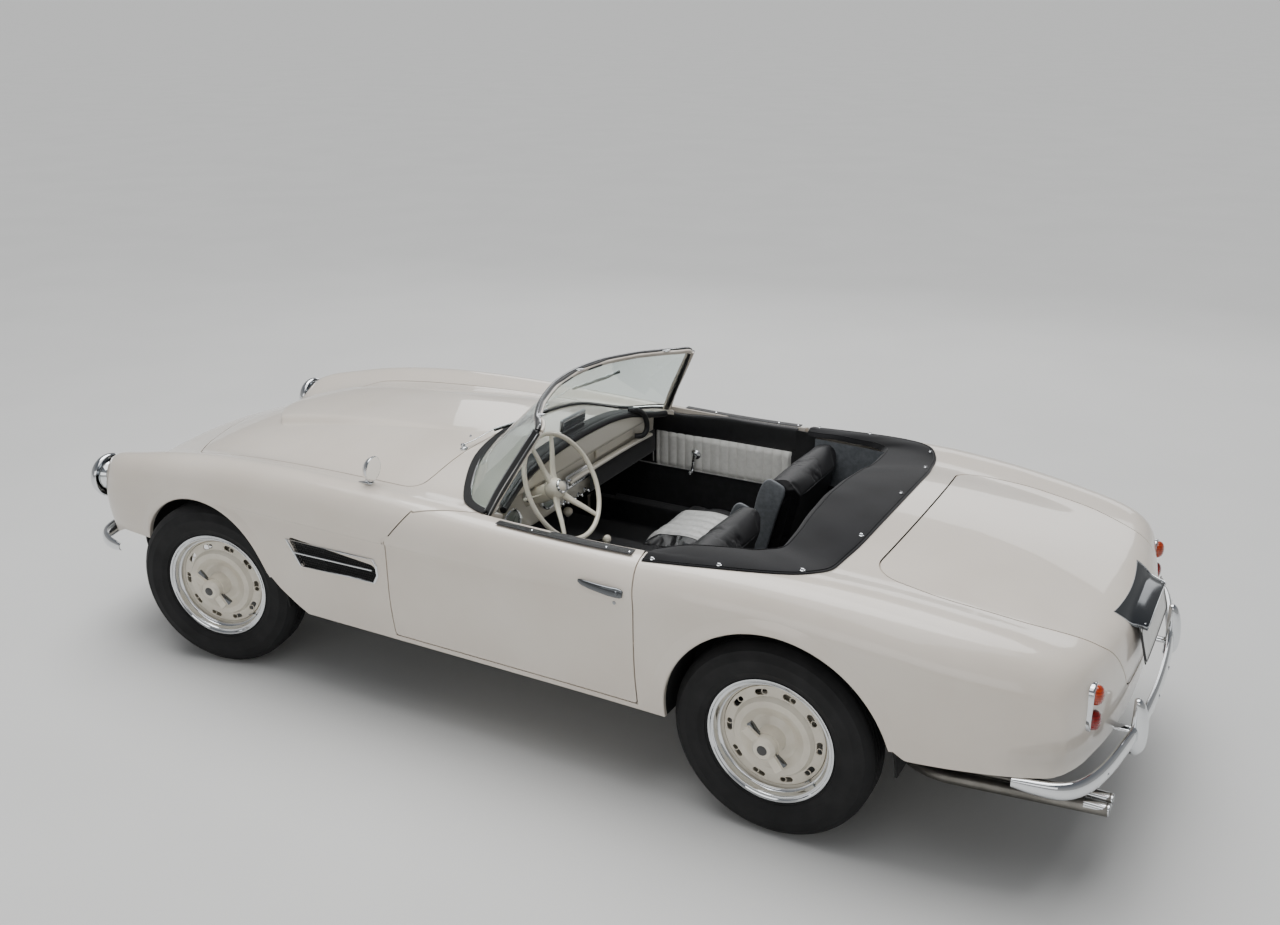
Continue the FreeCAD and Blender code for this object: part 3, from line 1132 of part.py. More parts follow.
def spinnerShape():
    """Two-eared knock-off nut, its ears swept outward from the hub's cap."""
    half = size.EarSpan / 2
    root = size.CapRadius
    low = size.CapFace - 2 * size.EarThickness
    outline = [
        (Vector(-half, 0, low + size.EarThickness), size.EarThickness / 3),
        (Vector(-root, 0, low), 0), (Vector(root, 0, low), 0),
        (Vector(half, 0, low + size.EarThickness), size.EarThickness / 3),
        (Vector(half, 0, low + 2 * size.EarThickness), size.EarThickness / 3),
        (Vector(root, 0, low + size.EarThickness), 0), (Vector(-root, 0, low + size.EarThickness), 0),
        (Vector(-half, 0, low + 2 * size.EarThickness), size.EarThickness / 3),
    ]
    ears = sidePrism(outline, -size.EarWidth / 2, size.EarWidth / 2)
    ears.rotate(Vector(), Vector(1, 0, 0), -90)
    ears.rotate(Vector(), Vector(0, 1, 0), -size.EarTurn)
    return ears


def tyreSection():
    """Half of the tyre's outline is drawn: bead, bulged sidewall, shoulder and crowned tread."""
    gap = size.Seat
    bead = size.RimSeatRadius + gap
    half = halfRim - rimWall - gap
    lip = (flangeRadius + gap, halfRim + rimWall - gap)
    bulge = (size.TyreRadius - size.BulgeDrop, size.TyreWidth / 2)
    shoulder = (size.TyreRadius - size.ShoulderDrop, size.TreadWidth / 2)

    def at(place, way):
        return Vector(place[0], way * place[1], 0)

    edges = []
    for way in (1, -1):
        edges.append(Part.makeLine(at((bead, half), way), at(lip, way)))
        edges.append(Part.Arc(at(lip, way), at(bulge, way), at(shoulder, way)).toShape())
    edges.append(Part.Arc(at(shoulder, 1), Vector(size.TyreRadius, 0, 0), at(shoulder, -1)).toShape())
    edges.append(Part.makeLine(at((bead, half), 1), at((bead, half), -1)))
    return Part.Face(Part.Wire(Part.__sortEdges__(edges)))


wheelMaster = wheelBody()
wheelWhole = wheelMaster.Shape.fuse(spinnerShape()).removeSplitter()
tyreWhole = tyreSection().revolve(Vector(), Vector(0, 1, 0), 360)
WHEELS = {}
for name, side in SIDES.items():
    turn = 0 if side > 0 else 180
    reach = size.FrontTrack / 2 - size.KingpinHalfTrack
    steer = math.radians(size.SteerAtRest)
    frontCentre = Vector(frontAxleX - side * reach * math.sin(steer),
                         side * (size.KingpinHalfTrack + reach * math.cos(steer)), size.TyreRadius)
    rearCentre = Vector(rearAxleX, side * size.RearTrack / 2, size.TyreRadius)
    WHEELS[f"front_{name}"] = (frontCentre, turn + size.SteerAtRest)
    WHEELS[f"rear_{name}"] = (rearCentre, turn)
for corner, (centre, turn) in WHEELS.items():
    for kind, shape in (("wheel", wheelWhole), ("tyre", tyreWhole)):
        piece = feature(kind.title() + corner.title().replace("_", ""), shape)
        piece.Placement = Placement(centre, Rotation(Vector(0, 0, 1), turn))
        node(f"{kind}_{corner}", piece)


# A surface just clear of the skin, for what is seated on it.
skinClear = closedBody(insetRows(outerRows, -size.SkinSeat, outerRows[0][0].z))


def largest(shape):
    """The largest solid of a shape, turned right side out."""
    return positive(max(shape.Solids, key=lambda solid: abs(solid.Volume)))


def seated(shape):
    """The shape less what lies under the skin, so that it sits on the panels; its largest solid."""
    b = shape.BoundBox
    grow = size.Overrun
    block = cube(b.XMin - grow, b.XMax + grow, b.YMin - grow, b.YMax + grow, b.ZMin - grow, b.ZMax + grow)
    rest = shape.cut(block.common(skinClear))
    return largest(rest)


def skinHeight(x, y):
    """Height of the skin over a place in plan."""
    line = Part.makeLine(Vector(x, y, size.BodyHeight / 2), Vector(x, y, size.BodyHeight * 2))
    return max(corner.Z for corner in skinOuter.Shells[0].section(line).Vertexes)


def skinEnd(y, z, way):
    """Station of the nose's skin, or with way -1 the tail's, at a place seen from ahead."""
    line = Part.makeLine(Vector(0, y, z), Vector(way * overallLength, y, z))
    return way * max(way * corner.X for corner in skinOuter.Shells[0].section(line).Vertexes)


# Windscreen: pillars and top rail as one tube, the seal along its base, and the curved glass.
SCREEN_BASE_SHARES = [(0.5738, 0.0), (0.5677, 0.24), (0.5577, 0.45), (0.5375, 0.61), (0.5133, 0.725),
                      (0.484, 0.79), (0.4585, 0.812)]
SCREEN_TOP_SHARES = [(0.475, 0.0, 1.225), (0.467, 0.24, 1.22), (0.447, 0.435, 1.21), (0.423, 0.58, 1.2),
                     (0.393, 0.709, 1.195)]
# Where the top's curve is matched to each place along the base.
SCREEN_MATCH_SHARES = [(0.475, 0.0, 1.225), (0.468, 0.22, 1.22), (0.452, 0.40, 1.212), (0.434, 0.52, 1.204),
                       (0.419, 0.60, 1.2), (0.405, 0.66, 1.197), (0.393, 0.709, 1.195)]


def mirroredPlaces(half):
    """Places from the right, through the centre plane, to the left."""
    return [Vector(p.x, -p.y, p.z) for p in reversed(half) if p.y > 0] + half


screenBase = []
for s, y in SCREEN_BASE_SHARES:
    screenBase.append(Vector(along(s), y * halfWidth, skinHeight(along(s), y * halfWidth)))
screenTop = [Vector(along(s), y * halfWidth, z * size.BodyHeight) for s, y, z in SCREEN_TOP_SHARES]
basePlaces = mirroredPlaces(screenBase)
topPlaces = mirroredPlaces(screenTop)


def screenRail(radius):
    foot, cornerPlace = screenBase[-1], screenTop[-1]
    below = foot - (cornerPlace - foot) * size.SealRadius * 2 / (cornerPlace - foot).Length
    route = [(Vector(below.x, -below.y, below.z), 0)]
    route += [(place,
               size.ScreenBend if abs(place.y) < cornerPlace.y else size.ScreenCorner) for place in topPlaces]
    route.append((below, 0))
    path = roundedWire(route, closed=False)
    ring = Part.Wire(Part.makeCircle(radius, route[0][0], route[1][0] - route[0][0]))
    return path.makePipeShell([ring], True, True)


def smoothCurve(places):
    curve = Part.BSplineCurve()
    curve.interpolate(places)
    return curve.toShape()


def screenSeal(radius):
    line = smoothCurve(basePlaces)
    ring = Part.Wire(Part.makeCircle(radius, basePlaces[0], line.tangentAt(line.FirstParameter)))
    return Part.Wire(line).makePipeShell([ring], True, True)


def curvedPane(lows, highs, thickness):
    """A pane between two curves, its back face drawn in by the thickness, closed by narrow edges."""
    backs = []
    for i, low in enumerate(lows):
        before, after = lows[max(i - 1, 0)], lows[min(i + 1, len(lows) - 1)]
        inward = (after - before).cross(highs[i] - low).normalize() * thickness
        backs.append((low + inward, highs[i] + inward))
    curves = [smoothCurve(places) for places in (lows, highs, [p[1] for p in backs], [p[0] for p in backs])]
    faces = [Part.makeRuledSurface(curves[i - 1], curves[i]) for i in range(4)]
    for end in (0, -1):
        corners = [lows[end], highs[end], backs[end][1], backs[end][0]]
        faces.append(Part.makeRuledSurface(Part.makeLine(corners[0], corners[1]), Part.makeLine(corners[3],
                                                                                                corners[2])))
    shell = Part.Shell(faces)
    shell.sewShape()
    return positive(Part.Solid(shell))


rail = screenRail(size.ScreenRail)
frameShape = seated(rail.fuse(screenSeal(size.SealRadius)))
node("windscreen_frame", feature("WindscreenFrame", frameShape))
paneTop = [Vector(along(s), y * halfWidth, z * size.BodyHeight) for s, y, z in SCREEN_MATCH_SHARES]
paneTop = mirroredPlaces(paneTop)
paneFoot = [low + (high - low).normalize() * size.GlassRise for low, high in zip(basePlaces, paneTop)]
glass = curvedPane(paneFoot, paneTop, size.GlassThickness).cut(screenRail(size.ScreenRail + size.Seat))
node("windscreen_glass", feature("WindscreenGlass", largest(glass)))

# Steering wheel and column, along the column's slope.
slope = math.radians(size.ColumnSlope)
columnWay = Vector(math.cos(slope), 0, -math.sin(slope))
wheelCentre = Vector(-size.SteeringBehind, size.SteeringOut, size.SteeringHeight)
columnTurn = Rotation(Vector(0, 0, 1), columnWay * -1)
columnEnd = firewallX - size.FloorThickness - size.Seat
columnLength = (columnEnd - wheelCentre.x) / math.cos(slope) - size.ColumnDiameter / 2
columnShape = Part.makeCylinder(size.ColumnDiameter / 2, columnLength - size.HubDepth - size.Seat,
                                wheelCentre + columnWay * (size.HubDepth + size.Seat), columnWay)


SPOKE_TURNS = [20, -20, 145, -145]


def steeringWheelShape():
    """Rim, hub with its horn button, and four tapered spokes, two up and two down."""
    rim = Part.makeTorus(size.SteeringRadius, size.SteeringRim / 2)
    hub = Part.makeCone(size.HubWidth / 2, size.ColumnDiameter * 0.75, size.HubDepth, Vector(0, 0,
                                                                                             -size.HubDepth))
    hub.translate(Vector())
    button = Part.makeCylinder(size.ColumnDiameter / 2, size.SteeringRim / 2)
    pieces = [hub, button]
    for turn in SPOKE_TURNS:
        spoke = Part.makeCone(size.SpokeWide / 2, size.SpokeNarrow / 2, size.SteeringRadius, Vector(),
                              Vector(math.cos(math.radians(turn)), math.sin(math.radians(turn)), 0))
        pieces.append(spoke.translated(Vector(0, 0, -size.SpokeWide / 2)))
    whole = rim.multiFuse(pieces)
    whole.Placement = Placement(wheelCentre, columnTurn)
    return whole


node("steering_wheel", feature("SteeringWheel", steeringWheelShape()))
node("steering_column", feature("SteeringColumn", columnShape))

# Dashboard under the cowl, with its rolled top, and round dials ahead of the driver.
DASH_SHARES = [
    (0.57, 1.2, 0), (0.462, 1.2, 0), (0.46, 0.88, 0.02), (0.478, 0.86, 0.005), (0.482, 0.69, 0.02),
    (0.52, 0.655, 0.02), (0.57, 0.655, 0),
]
DIAL_SHARES = [(0.29, 0.795, 1.0), (0.60, 0.77, 1.0), (0.445, 0.845, 0.55)]
dash = sidePrism(sideCorners(DASH_SHARES), -size.DashHalfWidth, size.DashHalfWidth).common(cavity)
dashFace = along(DASH_SHARES[3][0])
for y, z, width in DIAL_SHARES:
    dash = dash.fuse(Part.makeCylinder(size.DialRadius * width, size.DialDepth * 2,
                                       Vector(dashFace - size.DialDepth, y * halfWidth, z * size.BodyHeight),
                                       Vector(1, 0, 0)))
dash = dash.cut(Part.makeCylinder(size.ColumnDiameter / 2 + size.Seat, columnLength, wheelCentre, columnWay))
node("dashboard", feature("Dashboard", largest(dash)))

# Gear lever on the tunnel; pedals hung from the firewall.
leverFoot = Vector(size.LeverAhead, 0, size.TunnelTop + size.Seat)
leverTop = leverFoot + Vector(-size.LeverLean, 0, size.LeverHeight)
boot = Part.makeCone(size.KnobRadius * 2, size.LeverRadius, size.LeverHeight / 3, leverFoot)
stick = rod(leverFoot, leverTop, size.LeverRadius).common(cube(0, overallLength, -halfWidth, halfWidth,
                                                               leverFoot.z, overallLength))
lever = boot.multiFuse([stick, Part.makeSphere(size.KnobRadius, leverTop)])
controls = [lever]
for share in (0.24, 0.345, 0.525):
    y = share * halfWidth
    padX = firewallX - size.PedalReach
    pad = cube(padX, padX + size.LeverRadius * 2, y - size.PedalWidth / 2, y + size.PedalWidth / 2,
               size.PedalHeight, size.PedalHeight + size.PedalWidth)
    top = Vector(firewallX - size.FloorThickness - size.Seat, y, size.PedalHeight + size.PedalRise)
    arm = rod(Vector(padX + size.LeverRadius, y, size.PedalHeight + size.PedalWidth / 2),
              top + Vector(size.PedalReach, 0, 0),
              size.LeverRadius)
    arm = arm.common(cube(0, top.x, 0, halfWidth, 0, size.BodyHeight))
    controls.append(pad.fuse(arm))
node("controls", feature("Controls", Part.makeCompound(controls)))

# Seats: cushions on the floor and leaning backs behind them.
seatFoot = (size.FloorTop + size.Seat) / size.BodyHeight
CUSHION_SHARES = [(0.219, seatFoot, 0), (0.406, seatFoot, 0.03), (0.406, 0.495, 0.05), (0.32, 0.52, 0.2),
                  (0.219, 0.48, 0.02)]
BACK_SHARES = [(0.2165, seatFoot, 0.0), (0.168, seatFoot, 0.0), (0.118, 0.86, 0.05), (0.135, 0.895, 0.04),
               (0.168, 0.885, 0.05)]
seatInner = tunnelHalf + size.FloorThickness + size.SeatClearance
cushion = sidePrism(sideCorners(CUSHION_SHARES), seatInner, size.SeatOuter)
node("seat_cushions", feature("SeatCushions", bothSides(cushion)))
seatBack = sidePrism(sideCorners(BACK_SHARES), seatInner, size.SeatOuter)
node("seat_backs", feature("SeatBacks", bothSides(seatBack)))


TRIM_SHARES = [(0.605, 0.37, 0.02), (0.605, 0.765, 0.04), (0.21, 0.77, 0.03), (0.21, 0.37, 0.02)]


def doorTrim(side):
    """Padded panel inside a door: flat below, and thicker along its top."""
    inner = size.DoorInner - size.Seat
    face = inner - size.TrimThickness
    panel = sidePrism(sideCorners(TRIM_SHARES), face, inner)
    return panel if side > 0 else flipped(panel)


for name, side in SIDES.items():
    node(f"door_trim_{name}", feature(f"DoorTrim{name.title()}", doorTrim(side)))


# Fabric cover round the well for the stowed top, over the rim of the opening.
COVER_OUTER_SHARES = [
    (0.194, 0.95, 0.0), (0.12, 0.893, 0.2), (0.028, 0.868, 0.06), (-0.08, 0.775, 0.08), (-0.128, 0.58, 0.12),
    (-0.1395, 0.0, 0.0),
]
COVER_INNER_SHARES = [
    (0.194, 0.80, 0.0), (0.105, 0.765, 0.03), (0.06, 0.58, 0.06), (0.0, 0.30, 0.1), (0.0, 0.0, 0.0),
]


def coverOutline(shares):
    half = [corner for corner in shares if corner[1] > 0]
    return planPrism(planCorners(half + [(s, -y, r) for s, y, r in reversed(half)]), 0, 2 * size.BodyHeight)


coverTop = closedBody(insetRows(outerRows, -size.CoverThickness - size.Seat, outerRows[0][0].z))
cover = coverTop.cut(skinClear).common(coverOutline(COVER_OUTER_SHARES)).cut(coverOutline(COVER_INNER_SHARES))
node("top_cover", feature("TopCover", largest(cover)))


# Bumpers: blades that follow the nose and the tail, with overriders and brackets.
FRONT_BLADE_SHARES = [(1.969, 0.18, 1.5), (1.925, 0.60, 0.9), (1.84, 0.88, 0.12), (1.62, 0.965, 0),
                      (1.3, 0.965, 0)]
REAR_BLADE_SHARES = [(-0.977, 0.18, 1.5), (-0.943, 0.60, 0.9), (-0.875, 0.905, 0.12), (-0.704, 0.98, 0),
                     (-0.4, 0.98, 0)]
OVERRIDER_SHARES = [(0.0, 0.0), (1.0, 0.12), (1.0, 0.72), (0.62, 1.0), (0.0, 1.0)]


def bladeShape(shares, height, way):
    """The blade's outline in plan, less the same outline drawn in by its thickness."""
    corners = planCorners(shares + [(s, -y, r) for s, y, r in reversed(shares)])
    low = height - size.BladeHeight / 2
    band = planPrism(corners, low, low + size.BladeHeight)
    band = band.cut(planPrism(corners, low, low + size.BladeHeight, -size.BladeThickness))
    tip = along(shares[-2][0])
    span = sorted((tip, way * overallLength))
    return band.common(cube(*span, -halfWidth, halfWidth, 0, size.BodyHeight))


def overrider(height, way, side):
    """An upright guard over the blade, rounded at its top and its foot."""
    reach = size.OverriderDepth
    back = way * (overallLength / 2 - reach)
    base = height - size.OverriderHeight / 2
    places = [Vector(back + way * share * reach, 0, base + rise * size.OverriderHeight) for share,
              rise in OVERRIDER_SHARES]
    y = side * size.OverriderOut - size.OverriderWidth / 2
    return sidePrism([(place, size.OverriderWidth / 4) for place in places], y, y + size.OverriderWidth)


railTipLow = size.RailBottom + RAIL_SHARES[0][1] * railKick
frontBlade = bladeShape(FRONT_BLADE_SHARES, size.FrontBumperHeight, 1)
bladeFoot = size.FrontBumperHeight - size.BladeHeight / 2
bladeBack = overallLength / 2 - size.OverriderDepth
frontPieces = []
for side in SIDES.values():
    y = side * size.RailHalfSpread - size.BracketWidth / 2
    frontPieces.append(overrider(size.FrontBumperHeight, 1, side))
    frontPieces.append(cube(along(RAIL_SHARES[0][0]) + size.Seat, bladeBack + size.BladeThickness / 2,
                            y, y + size.BracketWidth,
                            bladeFoot - size.BladeThickness * 2, bladeFoot + size.BladeThickness))
node("front_bumper", feature("FrontBumper", frontBlade.multiFuse(frontPieces).removeSplitter()))

rearBlade = bladeShape(REAR_BLADE_SHARES, size.RearBumperHeight, -1)
tailRailTop = size.RailBottom + RAIL_SHARES[-1][1] * railKick + railHeight
rearPieces = []
for side in SIDES.values():
    y = side * size.RailHalfSpread - size.BracketWidth / 2
    rearPieces.append(overrider(size.RearBumperHeight, -1, side))
    rearPieces.append(cube(-bladeBack - size.BladeThickness, along(RAIL_SHARES[-1][0]) - size.Seat,
                           y, y + size.BracketWidth,
                           tailRailTop - size.BladeThickness * 5, tailRailTop - size.BladeThickness * 2))
    rearPieces.append(cube(-bladeBack - size.BladeThickness, -bladeBack + size.BladeThickness / 2, y,
                           y + size.BracketWidth,
                           tailRailTop - size.BladeThickness * 5, size.RearBumperHeight))
node("rear_bumper", feature("RearBumper", rearBlade.multiFuse(rearPieces).removeSplitter()))

# Air intake: a bright frame round the opening and upright bars just behind it.
intakeFrame = intakePrism(size.PanelGap / 5).cut(intakePrism(size.GrilleFrame))
bars = []
count = int(size.GrilleBars)
span = 2 * (INTAKE_HALF_WIDTH_SHARE * halfWidth - size.GrilleFrame)
pitch = span / (count + 1)
for i in range(count):
    y = -span / 2 + pitch * (i + 1)
    bars.append(cube(along(1.7), overallLength, y - size.GrilleBar / 2, y + size.GrilleBar / 2,
                     size.FrontBumperHeight, INTAKE_HEIGHT_SHARES[1] * size.BodyHeight))
opening = intakePrism(size.GrilleFrame - size.Seat)
barField = Part.makeCompound(bars).common(opening)
noseZone = cube(along(1.7), overallLength, -halfWidth, halfWidth, 0, size.BodyHeight)
ring = skinBand(-size.GrilleProud, size.SkinWall + size.GrilleProud).common(noseZone).common(intakeFrame)
slats = skinBand(size.GrilleProud, size.SkinWall).common(noseZone).common(barField)
node("grille", feature("Grille", ring.multiFuse(slats.Solids)))


def headlampShape(side):
    """A bowl in the wing's bore, its domed lens, and the rim that laps over the bore's edge."""
    y = side * HEADLAMP_SHARES[0] * halfWidth
    z = HEADLAMP_SHARES[1] * size.BodyHeight
    face = skinEnd(y, z, 1) + size.LampProud
    bowl = Part.makeCylinder(size.LampBore - size.LampGap, size.LampDepth, Vector(face - size.LampDepth, y,
                                                                                  z), Vector(1, 0, 0))
    dome = Part.makeSphere(size.LensRadius, Vector(face + size.LensBulge - size.LensRadius, y, z))
    dome = dome.common(Part.makeCylinder(size.LampBore - size.LampGap * 2, size.LensBulge * 2,
                                         Vector(face - size.LensBulge, y, z),
                                         Vector(1, 0, 0)))
    rim = Part.makeCylinder(size.LampBore + size.LampGap * 2, size.LampDepth,
                            Vector(face - size.LampDepth + size.LampGap, y, z),
                            Vector(1, 0, 0))
    outside = seated(rim)
    return largest(outside.multiFuse([bowl, dome]))


node("headlamps", feature("Headlamps", Part.makeCompound([headlampShape(side) for side in SIDES.values()])))


def ventShape(side):
    """Bright frame of a side vent with its middle bar, over a mesh panel."""
    band = skinBand(-size.VentProud, size.SkinWall / 2)
    zone = cube(along(0.6), along(0.9), size.DoorInner, halfWidth * 2, 0, size.BodyHeight)
    band = band.common(zone)
    opening = sidePrism(sideCorners(VENT_SHARES), size.DoorInner, halfWidth + size.Overrun,
                        -size.PanelGap / 5)
    inner = sidePrism(sideCorners(VENT_SHARES), size.DoorInner, halfWidth + size.Overrun, -size.VentFrame)
    middle = (VENT_SHARES[0][1] + VENT_SHARES[2][1]) / 2 * size.BodyHeight
    strip = cube(along(0.6), along(0.9), size.DoorInner, halfWidth * 2, middle - size.VentFrame / 2,
                 middle + size.VentFrame / 2)
    bright = band.common(opening.cut(inner).fuse(strip.common(opening)))
    backing = skinBand(size.SkinWall / 2 - size.Seat, size.SkinWall).common(zone).common(opening)
    whole = bright.fuse(backing)
    whole = largest(whole)
    return whole if side > 0 else flipped(whole)


node("side_vents", feature("SideVents", Part.makeCompound([ventShape(side) for side in SIDES.values()])))


def tailLampShape(side):
    """Two stacked lenses in one bright bezel on the rear wing."""
    y = side * size.TailLampOut
    lenses = []
    for height in (size.TailLampLow, size.TailLampLow + size.TailLampPitch):
        x = skinEnd(y, height, -1)
        lenses.append(Part.makeCylinder(size.TailLampRadius, size.TailLampDepth * 2,
                                        Vector(x - size.TailLampDepth, y, height), Vector(1, 0, 0)))
    return [seated(lens) for lens in lenses]


tailLamps = [lens for side in SIDES.values() for lens in tailLampShape(side)]
node("tail_lamps", feature("TailLamps", Part.makeCompound(tailLamps)))


def plateShape():
    """Blank number plate on a stand, and the lamp housing over it, on the boot lid."""
    top = Vector(skinEnd(0, size.PlateTop, -1), 0, size.PlateTop)
    low = Vector(skinEnd(0, size.PlateTop - size.PlateHeight, -1), 0, size.PlateTop - size.PlateHeight)
    lean = math.degrees(math.atan2(top.x - low.x, top.z - low.z))
    plate = Part.makeBox(size.PlateThickness, size.PlateWidth, size.PlateHeight,
                         Vector(0, -size.PlateWidth / 2, -size.PlateHeight))
    stand = Part.makeBox(size.PlateStand * 2, size.PlateWidth / 2, size.PlateHeight / 2,
                         Vector(0, -size.PlateWidth / 4, -size.PlateHeight * 0.75))
    for piece in (plate, stand):
        piece.rotate(Vector(), Vector(0, 1, 0), lean)
        piece.translate(top - Vector(size.PlateStand, 0, 0))
    housing = cube(top.x - size.PlateStand * 1.25, top.x + size.PlateStand * 2, -size.PlateLamp / 2,
                   size.PlateLamp / 2, size.PlateTop - size.PlateStand / 4, size.PlateTop + size.PlateStand)
    return seated(plate.multiFuse([stand, housing]))


node("number_plate", feature("NumberPlate", plateShape()))


def handleShape(side):
    """A tapered pull handle along the door's side, on its two feet."""
    frontX, rearX = -size.HandleFront, -size.HandleFront - size.HandleLength
    frontZ, rearZ = size.HandleHeight + size.HandleDrop, size.HandleHeight
    front = Vector(frontX, skinSide(frontX, frontZ) + size.HandleFoot, frontZ)
    rear = Vector(rearX, skinSide(rearX, rearZ) + size.HandleFoot, rearZ)
    grip = Part.makeCone(size.HandleFoot / 2, size.HandleFoot, (rear - front).Length, front, rear - front)
    ball = Part.makeSphere(size.HandleFoot, rear)
    feet = []
    for place in (front + (rear - front) * 0.25, rear):
        feet.append(rod(place - Vector(0, size.HandleFoot * 2, 0), place, size.HandleFoot / 2))
    whole = seated(grip.multiFuse([ball] + feet))
    return whole if side > 0 else flipped(whole)


for name, side in SIDES.items():
    node(f"door_handle_{name}", feature(f"DoorHandle{name.title()}", handleShape(side)))

# Mirrors: round one on the left front wing, and one on the dashboard's top.
mirrorX, mirrorY = size.MirrorAhead, size.MirrorOut
mirrorZ = skinHeight(mirrorX, mirrorY)
foot = Part.makeCone(size.MirrorRadius / 2, size.MirrorStem, size.MirrorStem * 2,
                     Vector(mirrorX, mirrorY, mirrorZ - size.MirrorStem / 2))
headPlace = Vector(mirrorX - size.MirrorStem * 2, mirrorY, mirrorZ + size.MirrorRise)
stem = rod(Vector(mirrorX, mirrorY, mirrorZ), headPlace + Vector(size.MirrorStem, 0, 0), size.MirrorStem / 2)
head = Part.makeCone(size.MirrorRadius, size.MirrorRadius / 2, size.MirrorStem * 2, headPlace,
                     Vector(1, 0, 0))
node("fender_mirror", feature("FenderMirror", seated(foot.multiFuse([stem, head]))))
insideX = along(0.49)
insideZ = skinHeight(insideX, 0)
insideTop = insideZ + size.MirrorRise
insideStem = rod(Vector(insideX, 0, insideZ - size.MirrorStem), Vector(insideX, 0, insideTop),
                 size.MirrorStem / 2)
insideGlass = cube(insideX - size.MirrorStem, insideX, -size.MirrorWide / 2, size.MirrorWide / 2,
                   insideTop - size.MirrorStem * 2, insideTop + size.MirrorStem)
node("interior_mirror", feature("InteriorMirror", seated(insideStem.fuse(insideGlass))))


# Wipers: pivots on the cowl, each with an arm and blade before the glass.
WIPER_SHARES = [(0.592, 0.40, 0.05), (0.598, 0.10, -0.30)]
wipers = []
for s, y, tip in WIPER_SHARES:
    base = Vector(along(s), y * halfWidth, skinHeight(along(s), y * halfWidth))
    pivot = Part.makeCylinder(size.WiperPivot, size.WiperPivot * 2, base - Vector(0, 0, size.WiperPivot / 2))
    end = base + Vector(-size.WiperLength * 0.16, (tip - y) * halfWidth, size.WiperLength * 0.36)
    arm = rod(base + Vector(0, 0, size.WiperPivot), end, size.WiperArm)
    wipers.append(seated(pivot.fuse(arm)))
node("wipers", feature("Wipers", Part.makeCompound(wipers)))


doc.recompute()
os.makedirs("parts", exist_ok=True)
for piece in doc.Objects:
    if "Invalid" in piece.State or "Error" in piece.State:
        raise ValueError(f"{piece.Label} failed to build: {piece.State}")
faulty = [label for label, piece in nodes.items()
          if piece.Shape.isNull() or not piece.Shape.isValid() or not piece.Shape.Solids]
if faulty:
    raise ValueError(f"no valid solid in {', '.join(faulty)}")
for label, piece in nodes.items():
    piece.Shape.exportStep(f"parts/{label}.step")
    print(label, len(piece.Shape.Solids), round(piece.Shape.Volume / 1e3))
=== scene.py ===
import math

import bmesh
import bpy
from mathutils import Matrix, Vector
from mathutils.bvhtree import BVHTree


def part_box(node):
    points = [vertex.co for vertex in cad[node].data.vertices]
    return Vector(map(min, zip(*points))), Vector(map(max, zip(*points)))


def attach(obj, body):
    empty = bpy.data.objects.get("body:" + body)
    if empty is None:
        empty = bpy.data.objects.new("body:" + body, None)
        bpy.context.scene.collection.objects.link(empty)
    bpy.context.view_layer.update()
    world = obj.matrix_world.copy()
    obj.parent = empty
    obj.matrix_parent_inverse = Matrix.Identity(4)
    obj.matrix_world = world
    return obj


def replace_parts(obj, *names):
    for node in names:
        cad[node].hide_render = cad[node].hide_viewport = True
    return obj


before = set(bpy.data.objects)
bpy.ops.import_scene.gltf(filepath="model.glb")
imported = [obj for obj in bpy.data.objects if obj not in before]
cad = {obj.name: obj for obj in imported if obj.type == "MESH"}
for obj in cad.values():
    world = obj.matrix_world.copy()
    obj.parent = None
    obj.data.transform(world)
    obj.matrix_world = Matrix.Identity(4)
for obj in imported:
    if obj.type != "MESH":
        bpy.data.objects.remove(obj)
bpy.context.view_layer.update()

# White two-seat roadster, top down. Metres; X to the nose, Y to the driver's side, Z up.
sides = {"left": 1, "right": -1}
print("frame loaded:", len(cad), "nodes")


# Working helpers: picking, editing, placing and finishing a piece.

def pickOnly(*pieces):
    if bpy.context.object and bpy.context.object.mode != "OBJECT":
        bpy.ops.object.mode_set(mode="OBJECT")
    bpy.ops.object.select_all(action="DESELECT")
    for piece in pieces:
        piece.select_set(True)
    if pieces:
        bpy.context.view_layer.objects.active = pieces[0]


def openMesh(piece, everything=False):
    pickOnly(piece)
    bpy.ops.object.mode_set(mode="EDIT")
    bpy.ops.mesh.select_mode(type="VERT")
    bpy.ops.mesh.select_all(action="SELECT" if everything else "DESELECT")


def closeMesh():
    bpy.ops.object.mode_set(mode="OBJECT")


def chooseFaces(piece, test):
    # Selects the faces that pass the test, in edit mode.
    bpy.ops.mesh.select_mode(type="FACE")
    mesh = bmesh.from_edit_mesh(piece.data)
    for face in mesh.faces:
        face.select_set(bool(test(face)))
    bmesh.update_edit_mesh(piece.data)


def settle(piece):
    pickOnly(piece)
    bpy.ops.object.transform_apply(location=True, rotation=True, scale=True)


def closeSeams(piece, reach=0.0001):
    openMesh(piece, everything=True)
    bpy.ops.mesh.remove_doubles(threshold=reach)
    bpy.ops.mesh.normals_make_consistent(inside=False)
    closeMesh()


def applyModifiers(piece):
    pickOnly(piece)
    for modifier in list(piece.modifiers):
        bpy.ops.object.modifier_apply(modifier=modifier.name)


def finish(piece, name, look, body, sharp=35):
    settle(piece)
    applyModifiers(piece)
    piece.name = piece.data.name = name
    piece.data.materials.clear()
    piece.data.materials.append(look)
    pickOnly(piece)
    bpy.ops.object.shade_smooth_by_angle(angle=math.radians(sharp))
    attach(piece, body)
    return piece


def merged(pieces):
    pickOnly(*pieces)
    if len(pieces) > 1:
        bpy.ops.object.join()
    return bpy.context.view_layer.objects.active


